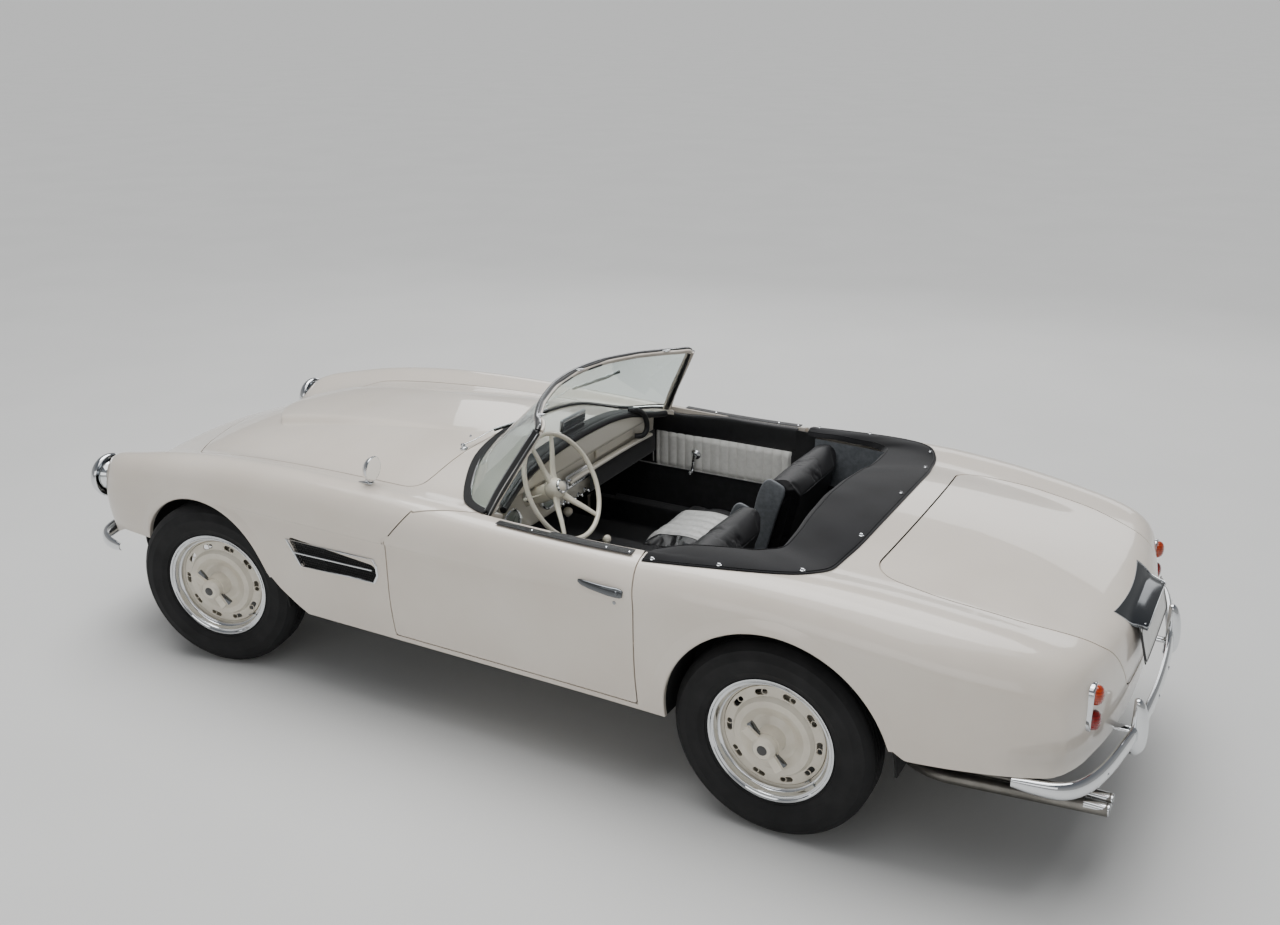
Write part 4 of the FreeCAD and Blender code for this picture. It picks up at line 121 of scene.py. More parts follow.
def copied(piece, place=None):
    pickOnly(piece)
    bpy.ops.object.duplicate(linked=False)
    twin = bpy.context.object
    if place is not None:
        twin.matrix_world = place @ twin.matrix_world
        settle(twin)
    return twin


def acrossCar(piece):
    # The same piece on the other side of the car.
    twin = copied(piece)
    twin.scale = (1, -1, 1)
    settle(twin)
    closeSeams(twin, 0.00001)
    return twin


def lathed(outline, steps, *where):
    return pointed(spun(outline, steps), *where)


def pointed(piece, centre, way=(0, 0, 1), turn=0.0):
    # Puts a piece drawn round Z at its place, facing the way given.
    facing = Vector(way).to_track_quat("Z", "Y").to_matrix().to_4x4()
    piece.matrix_world = Matrix.Translation(centre) @ facing @ Matrix.Rotation(turn, 4, "Z")
    settle(piece)
    return piece


def spun(outline, steps=64, turn=360):
    # Turns an outline of (radius, height) places about Z, as on a lathe.
    pickOnly()
    bpy.ops.mesh.primitive_plane_add(size=0.01)
    piece = bpy.context.object
    openMesh(piece, everything=True)
    bpy.ops.mesh.merge(type="CENTER")
    bpy.ops.transform.translate(value=(outline[0][0], 0, outline[0][1]))
    for before, after in zip(outline, outline[1:]):
        step = (after[0] - before[0], 0, after[1] - before[1])
        bpy.ops.mesh.extrude_vertices_move(TRANSFORM_OT_translate={"value": step})
    bpy.ops.mesh.select_all(action="SELECT")
    bpy.ops.mesh.spin(steps=steps, angle=math.radians(turn), center=(0, 0, 0), axis=(0, 0, 1))
    bpy.ops.mesh.select_all(action="SELECT")
    bpy.ops.mesh.remove_doubles(threshold=0.00002)
    bpy.ops.mesh.normals_make_consistent(inside=False)
    closeMesh()
    return piece


def strand(places, radius, closed=False, round=2, smooth=6, swell=None):
    # A round bar, bead or tube along a smooth line; swell gives a share of the radius at each place.
    pickOnly()
    bpy.ops.curve.primitive_nurbs_path_add()
    piece = bpy.context.object
    line = piece.data
    line.splines.clear()
    run = line.splines.new("NURBS")
    run.points.add(len(places) - 1)
    for i, place in enumerate(places):
        run.points[i].co = (*place, 1)
        run.points[i].radius = swell[i] if swell else 1
    run.order_u = 3
    run.use_cyclic_u = closed
    run.use_endpoint_u = not closed
    run.resolution_u = smooth
    line.bevel_depth = radius
    line.bevel_resolution = round
    line.use_fill_caps = True
    bpy.ops.object.convert(target="MESH")
    return bpy.context.object


def rounded(piece, width, steps=2):
    bevel = piece.modifiers.new("Edges", "BEVEL")
    bevel.width = width
    bevel.segments = steps
    bevel.limit_method = "ANGLE"
    return piece


def block(size, centre, edge=0.0, steps=2):
    # A block with softened edges, still to be shaped.
    pickOnly()
    bpy.ops.mesh.primitive_cube_add(size=1, location=centre)
    piece = bpy.context.object
    piece.scale = size
    settle(piece)
    if edge:
        rounded(piece, edge, steps)
        applyModifiers(piece)
    return piece


def shellOf(*names):
    # The CAD surfaces of these nodes, to set pieces on.
    places, faces = [], []
    for name in names:
        start = len(places)
        places += [vertex.co.copy() for vertex in cad[name].data.vertices]
        faces += [[start + i for i in polygon.vertices] for polygon in cad[name].data.polygons]
    return BVHTree.FromPolygons(places, faces)


panels = shellOf("body_front", "body_rear", "bonnet", "boot_lid", "door_left", "door_right")


def castOn(shell, start, way, across, lift):
    # Where a ray meets the panels; over a gap between two of them, what lies just beside it.
    for shift in (0, 0.004, -0.004, 0.009, -0.009, 0.016, -0.016):
        place, normal, _, _ = shell.ray_cast(start + across * shift, way)
        if place:
            return place - across * shift + normal * lift
    return None


def onTop(x, y, lift=0.0, shell=panels):
    return castOn(shell, Vector((x, y, 2)), Vector((0, 0, -1)), Vector((1, 0, 0)), lift)


def onSide(x, z, side, lift=0.0, shell=panels):
    return castOn(shell, Vector((x, side * 2, z)), Vector((0, -side, 0)), Vector((1, 0, 0)), lift)


def onEnd(y, z, way, lift=0.0, shell=panels):
    return castOn(shell, Vector((way * 3, y, z)), Vector((-way, 0, 0)), Vector((0, 1, 0)), lift)


# Materials. Patterns are sized in millimetres on Object coordinates.

def linear(code):
    channels = [int(code[i:i + 2], 16) / 255 for i in (1, 3, 5)]
    return [c / 12.92 if c <= 0.04045 else ((c + 0.055) / 1.055) ** 2.4 for c in channels] + [1.0]


def perMm(millimetres):
    return 1000 / millimetres


def addNode(tree, kind, settings={}, links={}):
    node = tree.nodes.new(kind)
    for key, value in settings.items():
        if isinstance(key, int) or key in node.inputs:
            node.inputs[key].default_value = value
        else:
            setattr(node, key, value)
    for key, source in links.items():
        tree.links.new(source, node.inputs[key])
    return node


def startLook(name, colour, settings):
    # A material with its shader's constant values set; gives it, its tree, shader and place on the object.
    look = bpy.data.materials.new(name)
    look.use_nodes = True
    tree = look.node_tree
    shader = tree.nodes["Principled BSDF"]
    shader.inputs["Base Color"].default_value = linear(colour)
    for key, value in settings.items():
        shader.inputs[key].default_value = value
    look.diffuse_color = linear(colour)
    place = addNode(tree, "ShaderNodeTexCoord").outputs["Object"]
    return look, tree, shader, place


def addTone(tree, shader, pattern, dark, light, low=0.35, high=0.65):
    # The base colour wanders between two tones with a pattern.
    spread = addNode(tree, "ShaderNodeMapRange", {"From Min": low, "From Max": high}, {"Value": pattern})
    mix = addNode(tree, "ShaderNodeMix", {"data_type": "RGBA", 6: linear(dark), 7: linear(light)},
                  {0: spread.outputs["Result"]})
    tree.links.new(mix.outputs[2], shader.inputs["Base Color"])
    return mix


def addGloss(tree, shader, pattern, low, high):
    gloss = addNode(tree, "ShaderNodeMapRange", {"To Min": low, "To Max": high}, {"Value": pattern})
    tree.links.new(gloss.outputs["Result"], shader.inputs["Roughness"])


def addRelief(tree, shader, pattern, strength, depthMm, under=None):
    bump = addNode(tree, "ShaderNodeBump", {"Strength": strength, "Distance": depthMm / 1000},
        {"Height": pattern})
    if under:
        tree.links.new(under, bump.inputs["Normal"])
    tree.links.new(bump.outputs["Normal"], shader.inputs["Normal"])
    return bump.outputs["Normal"]


def noiseOf(tree, place, millimetres, detail=3.0, roughness=0.5, stretch=None):
    if stretch:
        place = addNode(tree, "ShaderNodeMapping", {"Scale": stretch}, {"Vector": place}).outputs["Vector"]
    return addNode(tree, "ShaderNodeTexNoise", {"Scale": perMm(millimetres), "Detail": detail,
        "Roughness": roughness},
                   {"Vector": place}).outputs["Fac"]


def makePaint(name, colour, warm, values):
    # Sprayed and polished car enamel: deep gloss, faint orange peel, tone a touch uneven.
    look, tree, shader, place = startLook(name, colour, {
        "Roughness": values["roughness"], "Coat Weight": values["coat"],
        "Coat Roughness": values["coatRoughness"],
        "Coat IOR": 1.5, "IOR": 1.5})
    addTone(tree, shader, noiseOf(tree, place, values["toneMm"]), warm, colour)
    peel = noiseOf(tree, place, values["peelMm"], 1.0)
    addRelief(tree, shader, peel, values["peel"], 0.05)
    return look


bodyPaint = {"roughness": 0.28, "coat": 0.9, "coatRoughness": 0.035, "toneMm": 420, "peelMm": 3.0,
    "peel": 0.05}
wheelPaint = {"roughness": 0.32, "coat": 0.6, "coatRoughness": 0.08, "toneMm": 60, "peelMm": 2.0,
    "peel": 0.08}
ivoryEnamel = makePaint("ivoryEnamel", "#E9E0D4", "#E2D8CB", bodyPaint)
wheelEnamel = makePaint("wheelEnamel", "#E9E2D2", "#DFD7C6", wheelPaint)
dashEnamel = makePaint("dashEnamel", "#ECE6D8", "#E6DFCF", bodyPaint)
blackEnamel = makePaint("blackEnamel", "#0B0B0C", "#121213", {**bodyPaint, "roughness": 0.35})


def makeChrome(name, colour, low, high):
    # Nickel-chrome plate on polished steel: mirror bright with a faint haze.
    look, tree, shader, place = startLook(name, colour, {"Metallic": 1.0, "Roughness": low})
    addGloss(tree, shader, noiseOf(tree, place, 35), low, high)
    addRelief(tree, shader, noiseOf(tree, place, 18, 1.0), 0.03, 0.1)
    return look


chromePlate = makeChrome("chromePlate", "#E2E4E6", 0.04, 0.11)
shadedChrome = makeChrome("shadedChrome", "#6E7174", 0.06, 0.14)
satinSteel = makeChrome("satinSteel", "#A9ABAD", 0.28, 0.45)
mirrorSilver = makeChrome("mirrorSilver", "#EEF1F2", 0.01, 0.03)


def makeRubber(name, colour, grey, grainMm):
    # Moulded rubber: dull black, greyer where it is dusty.
    look, tree, shader, place = startLook(name, colour, {"Roughness": 0.72, "Specular IOR Level": 0.35})
    addTone(tree, shader, noiseOf(tree, place, 90, 4.0), colour, grey)
    addRelief(tree, shader, noiseOf(tree, place, grainMm, 4.0), 0.35, 0.4)
    return look


tyreRubber = makeRubber("tyreRubber", "#141415", "#1F1F20", 4)
sealRubber = makeRubber("sealRubber", "#0D0D0E", "#151516", 2.5)


def makeLeather(name, colour, light, grainMm, values):
    # Tanned and painted hide: pebble grain with fine creases and a soft shine.
    look, tree, shader, place = startLook(name, colour, {
        "Specular IOR Level": values["shine"], "Sheen Weight": 0.05, "Roughness": values["roughness"]})
    cells = addNode(tree, "ShaderNodeTexVoronoi", {"Scale": perMm(grainMm), "feature": "DISTANCE_TO_EDGE"},
                    {"Vector": place}).outputs["Distance"]
    creases = noiseOf(tree, place, grainMm * 9, 5.0, 0.65)
    addTone(tree, shader, creases, colour, light)
    addGloss(tree, shader, creases, values["roughness"] - 0.08, values["roughness"] + 0.12)
    fine = addRelief(tree, shader, cells, values["grain"], 0.35)
    addRelief(tree, shader, creases, 0.25, 0.8, fine)
    return look


blackHide = {"roughness": 0.42, "shine": 0.5, "grain": 0.35}
paleHide = {"roughness": 0.40, "shine": 0.5, "grain": 0.25}
blackLeather = makeLeather("blackLeather", "#111113", "#1B1B1E", 2.2, blackHide)
silverLeather = makeLeather("silverLeather", "#BDBDBB", "#CFCFCC", 2.2, paleHide)
greyLeather = makeLeather("greyLeather", "#5E6266", "#73777B", 2.4, paleHide)
whiteLeather = makeLeather("whiteLeather", "#D9D8D3", "#E6E5E0", 2.2, paleHide)


def makeCloth(name, colour, light, values):
    # Woven or piled cloth: threads in the relief, a little fuzz at grazing light.
    look, tree, shader, place = startLook(name, colour, {
        "Roughness": 0.9, "Specular IOR Level": 0.2, "Sheen Weight": values["fuzz"], "Sheen Roughness": 0.5})
    addTone(tree, shader, noiseOf(tree, place, values["cloudMm"], 5.0), colour, light)
    if values["weave"]:
        turn = addNode(tree, "ShaderNodeMapping", {"Rotation": (0.0, 0.0, 0.0)},
            {"Vector": place}).outputs["Vector"]
        warp = addNode(tree, "ShaderNodeTexWave", {"Scale": perMm(values["threadMm"]) / 6.28,
            "bands_direction": "X",
                       "Distortion": 0.6, "Detail": 1.0}, {"Vector": turn}).outputs["Fac"]
        weft = addNode(tree, "ShaderNodeTexWave", {"Scale": perMm(values["threadMm"]) / 6.28,
            "bands_direction": "Y",
                       "Distortion": 0.6, "Detail": 1.0}, {"Vector": turn}).outputs["Fac"]
        threads = addNode(tree, "ShaderNodeMath", {"operation": "MAXIMUM"},
            {0: warp, 1: weft}).outputs["Value"]
        under = addRelief(tree, shader, threads, values["relief"], 0.5)
        addRelief(tree, shader, noiseOf(tree, place, 1.5 * values["threadMm"], 4.0), 0.2, 0.4, under)
    else:
        addRelief(tree, shader, noiseOf(tree, place, values["threadMm"], 6.0, 0.7), values["relief"], 2.5)
    return look


# Real threads are about 1 mm; drawn at 2 mm so that they show at all.
topCanvas = makeCloth("topCanvas", "#0E0E10", "#17171A", {"fuzz": 0.25, "cloudMm": 120, "weave": True,
    "threadMm": 2.0, "relief": 0.3})
woolCarpet = makeCloth("woolCarpet", "#0B0B0D", "#17171A", {"fuzz": 0.35, "cloudMm": 30, "weave": False,
    "threadMm": 3.0, "relief": 0.7})


def makePlastic(name, colour, light, roughness, coat=0.3):
    # Cast and polished celluloid or moulded plastic, slightly waxy.
    look, tree, shader, place = startLook(name, colour, {
        "Roughness": roughness, "Coat Weight": coat, "Coat Roughness": 0.08, "IOR": 1.5,
        "Subsurface Weight": 0.05, "Subsurface Radius": (0.004, 0.003, 0.002)})
    addTone(tree, shader, noiseOf(tree, place, 45), colour, light)
    addRelief(tree, shader, noiseOf(tree, place, 6, 2.0), 0.04, 0.1)
    return look


ivoryCelluloid = makePlastic("ivoryCelluloid", "#E9E2CE", "#EFE9D8", 0.25, 0.5)
blackBakelite = makePlastic("blackBakelite", "#0C0C0D", "#141415", 0.30, 0.4)


def makeLens(name, colour, deep, ribMm, axis):
    # Pressed lens plastic: clear colour with moulded ribs.
    look, tree, shader, place = startLook(name, colour, {
        "Roughness": 0.12, "IOR": 1.49, "Transmission Weight": 0.35, "Coat Weight": 0.8,
        "Coat Roughness": 0.03})
    ribs = addNode(tree, "ShaderNodeTexWave", {"Scale": perMm(ribMm) / 6.28, "bands_direction": axis},
                   {"Vector": place}).outputs["Fac"]
    addTone(tree, shader, ribs, deep, colour, 0.0, 1.0)
    addRelief(tree, shader, ribs, 0.5, 1.2)
    return look


redLens = makeLens("redLens", "#B3140C", "#8E0D08", 4, "Z")
amberLens = makeLens("amberLens", "#D2460F", "#B23407", 4, "Z")


def makeGlass(name, colour, values):
    # Ground glass sheet, or pressed lamp glass with its flutes.
    look, tree, shader, place = startLook(name, colour, {
        "Roughness": values["roughness"], "IOR": values["ior"], "Transmission Weight": 1.0})
    if values["fluteMm"]:
        flutes = addNode(tree, "ShaderNodeTexWave", {"Scale": perMm(values["fluteMm"]) / 6.28,
            "bands_direction": "Y"},
                         {"Vector": place}).outputs["Fac"]
        addRelief(tree, shader, flutes, 0.6, 1.5)
    else:
        addRelief(tree, shader, noiseOf(tree, place, 160, 1.0), 0.02, 0.1)
    return look


screenGlass = makeGlass("screenGlass", "#EAF3F0", {"roughness": 0.0, "ior": 1.45, "fluteMm": 0})
lampGlass = makeGlass("lampGlass", "#F4F7F7", {"roughness": 0.04, "ior": 1.45, "fluteMm": 9})


def makeCastMetal(name, colour, light, metallic, roughness, grainMm):
    # Sand-cast metal: pitted and matt, with oily patches.
    look, tree, shader, place = startLook(name, colour, {"Metallic": metallic, "Roughness": roughness})
    addTone(tree, shader, noiseOf(tree, place, 70, 5.0), colour, light)
    addGloss(tree, shader, noiseOf(tree, place, 40, 4.0), roughness - 0.1, roughness + 0.15)
    addRelief(tree, shader, noiseOf(tree, place, grainMm, 5.0), 0.4, 0.6)
    return look


castAluminium = makeCastMetal("castAluminium", "#8D8F90", "#A7A9AA", 0.9, 0.5, 4)
exhaustSteel = makeCastMetal("exhaustSteel", "#85827C", "#9B9791", 0.9, 0.38, 5)
chassisPaint = makeCastMetal("chassisPaint", "#131314", "#1C1C1D", 0.0, 0.5, 6)
underseal = makeCastMetal("underseal", "#101011", "#1A1A1A", 0.0, 0.85, 5)


def makeDialFace(name, colour, ink, centre, radius):
    # Printed dial card: pale face with ticks round its edge, on the dial's own plane.
    look, tree, shader, place = startLook(name, colour, {"Roughness": 0.5})
    local = addNode(tree, "ShaderNodeMapping", {"Location": tuple(-c for c in centre)},
        {"Vector": place}).outputs["Vector"]
    parts = addNode(tree, "ShaderNodeSeparateXYZ", {}, {"Vector": local}).outputs
    angle = addNode(tree, "ShaderNodeMath", {"operation": "ARCTAN2"}, {0: parts["Z"],
        1: parts["Y"]}).outputs["Value"]
    spokes = addNode(tree, "ShaderNodeMath", {"operation": "MULTIPLY", 1: 36.0}, {0: angle}).outputs["Value"]
    wave = addNode(tree, "ShaderNodeMath", {"operation": "COSINE"}, {0: spokes}).outputs["Value"]
    tick = addNode(tree, "ShaderNodeMath", {"operation": "GREATER_THAN", 1: 0.75}, {0: wave}).outputs["Value"]
    flat = addNode(tree, "ShaderNodeCombineXYZ", {}, {"Y": parts["Y"], "Z": parts["Z"]}).outputs["Vector"]
    reach = addNode(tree, "ShaderNodeVectorMath", {"operation": "LENGTH"}, {0: flat}).outputs["Value"]
    inner = addNode(tree, "ShaderNodeMath", {"operation": "GREATER_THAN", 1: radius * 0.80},
        {0: reach}).outputs["Value"]
    outer = addNode(tree, "ShaderNodeMath", {"operation": "LESS_THAN", 1: radius * 0.94},
        {0: reach}).outputs["Value"]
    band = addNode(tree, "ShaderNodeMath", {"operation": "MULTIPLY"}, {0: inner, 1: outer}).outputs["Value"]
    mark = addNode(tree, "ShaderNodeMath", {"operation": "MULTIPLY"}, {0: band, 1: tick}).outputs["Value"]
    mix = addNode(tree, "ShaderNodeMix", {"data_type": "RGBA", 6: linear(colour), 7: linear(ink)}, {0: mark})
    tree.links.new(mix.outputs[2], shader.inputs["Base Color"])
    return look


# A studio floor isn't part of the car.
floorLook, floorTree, floorShader, floorPlace = startLook("studioFloor", "#D8D8D6", {"Roughness": 0.7})
addTone(floorTree, floorShader, noiseOf(floorTree, floorPlace, 900, 2.0), "#D6D6D4", "#D9D9D7")

# The CAD nodes that stay, each with its finish.
keptNodes = {
    ivoryEnamel: ["sills", "body_front", "body_rear", "bonnet", "boot_lid", "door_left", "door_right"],
    chassisPaint: ["chassis_frame", "front_suspension", "rear_axle", "boot_floor", "radiator"],
    underseal: ["wheel_tubs"],
    woolCarpet: ["floor_pan"],
    castAluminium: ["engine", "knuckle_left", "knuckle_right"],
    exhaustSteel: ["exhaust"],
    wheelEnamel: ["wheel_front_left", "wheel_front_right", "wheel_rear_left", "wheel_rear_right"],
    blackEnamel: ["windscreen_frame"],
    screenGlass: ["windscreen_glass"],
    ivoryCelluloid: ["steering_wheel", "steering_column"],
    dashEnamel: ["dashboard"],
    blackLeather: ["seat_cushions", "seat_backs", "door_trim_left", "door_trim_right"],
    topCanvas: ["top_cover"],
    chromePlate: ["front_bumper", "rear_bumper", "grille", "headlamps", "side_vents", "number_plate",
    "controls",
                  "door_handle_left", "door_handle_right", "fender_mirror", "interior_mirror", "wipers"],
    redLens: ["tail_lamps"],
    tyreRubber: ["tyre_front_left", "tyre_front_right", "tyre_rear_left", "tyre_rear_right"],
}
for look, names in keptNodes.items():
    for name in names:
        mesh = cad[name].data
        if not mesh.materials:
            mesh.materials.append(look)
        for i in range(len(mesh.materials)):
            mesh.materials[i] = look
print("finishes given to the frame")

# Wheels: tyre with ribbed tread, polished trim ring, bolts, slot edges, valve and a two-eared nut.

wheel = {
    "steer": 12.7, "earTurn": -45,
    "centres": {"wheel_front_left": (1.350, 0.720, 0.351), "wheel_front_right": (1.394, -0.720, 0.351),
                "wheel_rear_left": (-1.108, 0.7125, 0.351), "wheel_rear_right": (-1.108, -0.7125, 0.351)},
}
tyre = {
    "steps": 120, "zigzag": 0.0022, "grooveDeep": 0.0065,
    "grooves": (-0.033, -0.0115, 0.0115, 0.033), "grooveWide": 0.0045,
    # radius and height of the outer side wall, from the rim up to the tread
    "wall": [(0.2045, 0.0490), (0.2150, 0.0560), (0.2225, 0.0600), (0.2245, 0.0660), (0.2290, 0.0672),
    (0.2310, 0.0720),
             (0.2480, 0.0785), (0.2500, 0.0802), (0.2530, 0.0808), (0.2555, 0.0806), (0.2720, 0.0822),
             (0.2860, 0.0826),
             (0.2900, 0.0838), (0.2930, 0.0838), (0.2960, 0.0824), (0.3100, 0.0790), (0.3200, 0.0745),
             (0.3235, 0.0745),
             (0.3260, 0.0722), (0.3330, 0.0665), (0.3385, 0.0610), (0.3420, 0.0560)],
    "crown": [(0.3478, 0.0500), (0.3500, 0.0400)],
}
trimRing = {"outline": [(0.2215, 0.0560), (0.2222, 0.0640), (0.2205, 0.0672), (0.2170, 0.0680),
    (0.2135, 0.0665),
                        (0.2110, 0.0630), (0.2080, 0.0618), (0.2050, 0.0628), (0.2025, 0.0622),
                        (0.2000, 0.0580),
                        (0.1975, 0.0500), (0.1950, 0.0440), (0.1915, 0.0405), (0.1885, 0.0395),
                        (0.1868, 0.0375),
                        (0.1862, 0.0345)]}
nut = {"collar": [(0.0, 0.1240), (0.0120, 0.1262), (0.0230, 0.1258), (0.0285, 0.1225), (0.0325, 0.1150),
    (0.0345, 0.1050),
                  (0.0350, 0.0900), (0.0385, 0.0860), (0.0400, 0.0800), (0.0400, 0.0740), (0.0440, 0.0700),
                  (0.0450, 0.0480)],
       "disc": [(0.0, 0.1285), (0.0110, 0.1280), (0.0175, 0.1262), (0.0180, 0.1240)],
       "earOut": 0.0905, "earWide": 0.022, "earThick": 0.0125, "earHigh": 0.100}
bolts = {"ring": 0.066, "count": 14, "size": 0.0052, "high": 0.0265}
slotEdge = {"ring": 0.158, "count": 10, "half": (0.0232, 0.0104), "bead": 0.0019}
valve = {"ring": 0.181, "high": 0.036}


def makeTyre():
    half = tyre["wall"] + tyre["crown"]
    outline = [(r, -z) for r, z in half]
    for middle in tyre["grooves"]:
        w = tyre["grooveWide"]
        crown = 0.351 - 0.9 * middle ** 2
        outline += [(crown, middle - w), (crown - tyre["grooveDeep"], middle - w * 0.7),
                    (crown - tyre["grooveDeep"], middle + w * 0.7), (crown, middle + w)]
    outline += [(r, z) for r, z in reversed(half)]
    outline += [(0.199, 0.044), (0.199, -0.044), outline[0]]
    piece = spun(outline, tyre["steps"])
    openMesh(piece)
    mesh = bmesh.from_edit_mesh(piece.data)
    for vertex in mesh.verts:
        reach = math.hypot(vertex.co.x, vertex.co.y)
        if reach > 0.3425 and abs(vertex.co.z) < 0.042:
            step = round(math.degrees(math.atan2(vertex.co.y, vertex.co.x)) / (360 / tyre["steps"]))
            vertex.co.z += tyre["zigzag"] * (1 if step % 4 < 2 else -1)
    bmesh.update_edit_mesh(piece.data)
    closeMesh()
    return piece


def makeNut():
    # Cap turned on a lathe, its two ears drawn out of a block and rounded.
    cap = spun(nut["collar"], 48)
    ears = block((nut["earOut"] * 2, nut["earWide"] * 1.7, nut["earThick"]), (0, 0, 0.0))
    openMesh(ears, everything=True)
    bpy.ops.mesh.subdivide(number_cuts=6)
    mesh = bmesh.from_edit_mesh(ears.data)
    for vertex in mesh.verts:
        share = abs(vertex.co.x) / nut["earOut"]
        waist = 1.05 - 0.62 * min(share / 0.55, 1) + 0.20 * max(share - 0.7, 0) / 0.3
        vertex.co.y *= waist
        lift = nut["earHigh"] - 0.030 * share ** 1.5 + 0.014 * max(share - 0.7, 0) / 0.3
        vertex.co.z = vertex.co.z * (1.35 - 0.5 * share) + lift
    bmesh.update_edit_mesh(ears.data)
    closeMesh()
    soften = ears.modifiers.new("Round", "SUBSURF")
    soften.levels = soften.render_levels = 2
    applyModifiers(ears)
    return merged([cap, ears])


def makeBolts():
    heads = []
    for i in range(bolts["count"]):
        turn = 2 * math.pi * (i + 0.5) / bolts["count"]
        pickOnly()
        bpy.ops.mesh.primitive_cylinder_add(vertices=6, radius=bolts["size"], depth=0.007,
                                            location=(bolts["ring"] * math.cos(turn),
                                            bolts["ring"] * math.sin(turn), bolts["high"] + 0.002))
        heads.append(rounded(bpy.context.object, 0.0008, 1))
        applyModifiers(heads[-1])
    return merged(heads)


def makeSlotEdges():
    edges = []
    long, wide = slotEdge["half"]
    for i in range(slotEdge["count"]):
        turn = 2 * math.pi * i / slotEdge["count"]
        places = []
        for j in range(16):
            a = 2 * math.pi * j / 16
            u = (long - wide) * (1 if math.cos(a) > 0 else -1) + wide * math.cos(a)
            v = wide * math.sin(a)
            radius = slotEdge["ring"] + v
            places.append((radius * math.cos(turn) - u * math.sin(turn),
                radius * math.sin(turn) + u * math.cos(turn), 0.0262))
        edges.append(strand(places, slotEdge["bead"], closed=True, round=1, smooth=2))
    return merged(edges)


def makeValve():
    stem = spun([(0.0, 0.030), (0.0016, 0.0298), (0.0020, 0.024), (0.0020, 0.012), (0.0034, 0.0115),
        (0.0038, 0.004), (0.0045, 0.0)], 12)
    return pointed(stem, (valve["ring"], 0, 0.028), (-0.25, 0, 1))


wheelSet = {
    "tyre": (makeTyre(), tyreRubber, "tyre_rubber", 40),
    "trimRing": (spun(trimRing["outline"], 96), chromePlate, "chrome", 30),
    "hubNut": (makeNut(), shadedChrome, "chrome", 40),
    "nutDisc": (spun(nut["disc"], 32), blackEnamel, "wheel_paint", 40),
    "wheelBolts": (makeBolts(), wheelEnamel, "wheel_paint", 30),
    "slotEdges": (makeSlotEdges(), wheelEnamel, "wheel_paint", 60),
    "valveStem": (makeValve(), satinSteel, "steel", 40),
}
for name, centre in wheel["centres"].items():
    side = 1 if name.endswith("left") else -1
    turn = math.radians(wheel["steer"]) if "front" in name else 0.0
    outward = Vector((-math.sin(turn), math.cos(turn), 0)) * side
    for part, (pattern, look, slotName, sharp) in wheelSet.items():
        piece = pointed(copied(pattern), centre, outward, math.radians(wheel["earTurn"]))
        finish(piece, part + name[5:].title().replace("_", ""), look, name, sharp)
        if part == "tyre":
            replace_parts(piece, name.replace("wheel", "tyre"))
for pattern, *_ in wheelSet.values():
    bpy.data.objects.remove(pattern)
print("wheels dressed")

# More ways to make a piece: a sheet laid point by point, and a bar of any section along a smooth line.

def smoothLine(places, steps=6):
    places = [Vector(place) for place in places]
    ends = [places[0] * 2 - places[1]] + places + [places[-1] * 2 - places[-2]]
    line = []
    for i in range(1, len(ends) - 2):
        a, b, c, d = ends[i - 1:i + 3]
        for k in range(steps):
            t = k / steps
            line.append(0.5 * (2 * b + (c - a) * t + (2 * a - 5 * b + 4 * c - d) * t * t
                               + (3 * b - a - 3 * c + d) * t ** 3))
    return line + [places[-1]]


def ease(share):
    share = min(max(share, 0), 1)
    return share * share * (3 - 2 * share)


def between(pairs, share):
    # Value at a share of the way along a list of (share, value) steps.
    for (s0, v0), (s1, v1) in zip(pairs, pairs[1:]):
        if share <= s1:
            return v0 + (v1 - v0) * max(share - s0, 0) / (s1 - s0)
    return pairs[-1][1]


def laidGrid(across, along, where):
    # A sheet of cells whose corners lie where the function says, for shares from 0 to 1.
    pickOnly()
    bpy.ops.mesh.primitive_grid_add(x_subdivisions=across, y_subdivisions=along, size=1)
    piece = bpy.context.object
    for vertex in piece.data.vertices:
        vertex.co = where(vertex.co.x + 0.5, vertex.co.y + 0.5)
    return piece


def roundSection(wide, thick, corner, steps=3):
    # Places round a bar's section, as (out, side), with rounded corners.
    corner = min(corner, wide / 2, thick / 2)
    places = []
    for turn, (out, side) in enumerate([(1, 1), (1, -1), (-1, -1), (-1, 1)]):
        for i in range(steps + 1):
            angle = math.radians(90 - turn * 90 - 90 * i / steps)
            places.append((out * (thick / 2 - corner) + corner * math.cos(angle),
                           side * (wide / 2 - corner) + corner * math.sin(angle)))
    return places


def ringSkin(rings, reach=0.0001, capped=False):
    # Rings of equally many places, each joined to the next.
    count = len(rings[0])
    piece = laidGrid(count, len(rings) - 1, lambda u,
        v: rings[round(v * (len(rings) - 1))][round(u * count) % count])
    openMesh(piece, everything=True)
    bpy.ops.mesh.remove_doubles(threshold=reach)
    if capped:
        bpy.ops.mesh.fill_holes(sides=0)
    bpy.ops.mesh.normals_make_consistent(inside=False)
    closeMesh()
    return piece


def swept(places, section, facing, steps=6, grow=None):
    # facing gives the way that the bar's outer face looks, as a vector or from the place on the line.
    line = smoothLine(places, steps)
    rows = []
    for i, place in enumerate(line):
        ahead = (line[min(i + 1, len(line) - 1)] - line[max(i - 1, 0)]).normalized()
        out = Vector(facing(place)) if callable(facing) else Vector(facing)
        side = ahead.cross(out).normalized()
        out = side.cross(ahead)
        scale = between(grow, i / (len(line) - 1)) if grow else 1
        rows.append([place + (out * o + side * s) * scale for o, s in section])
    return ringSkin(rows, 0.00001, True)


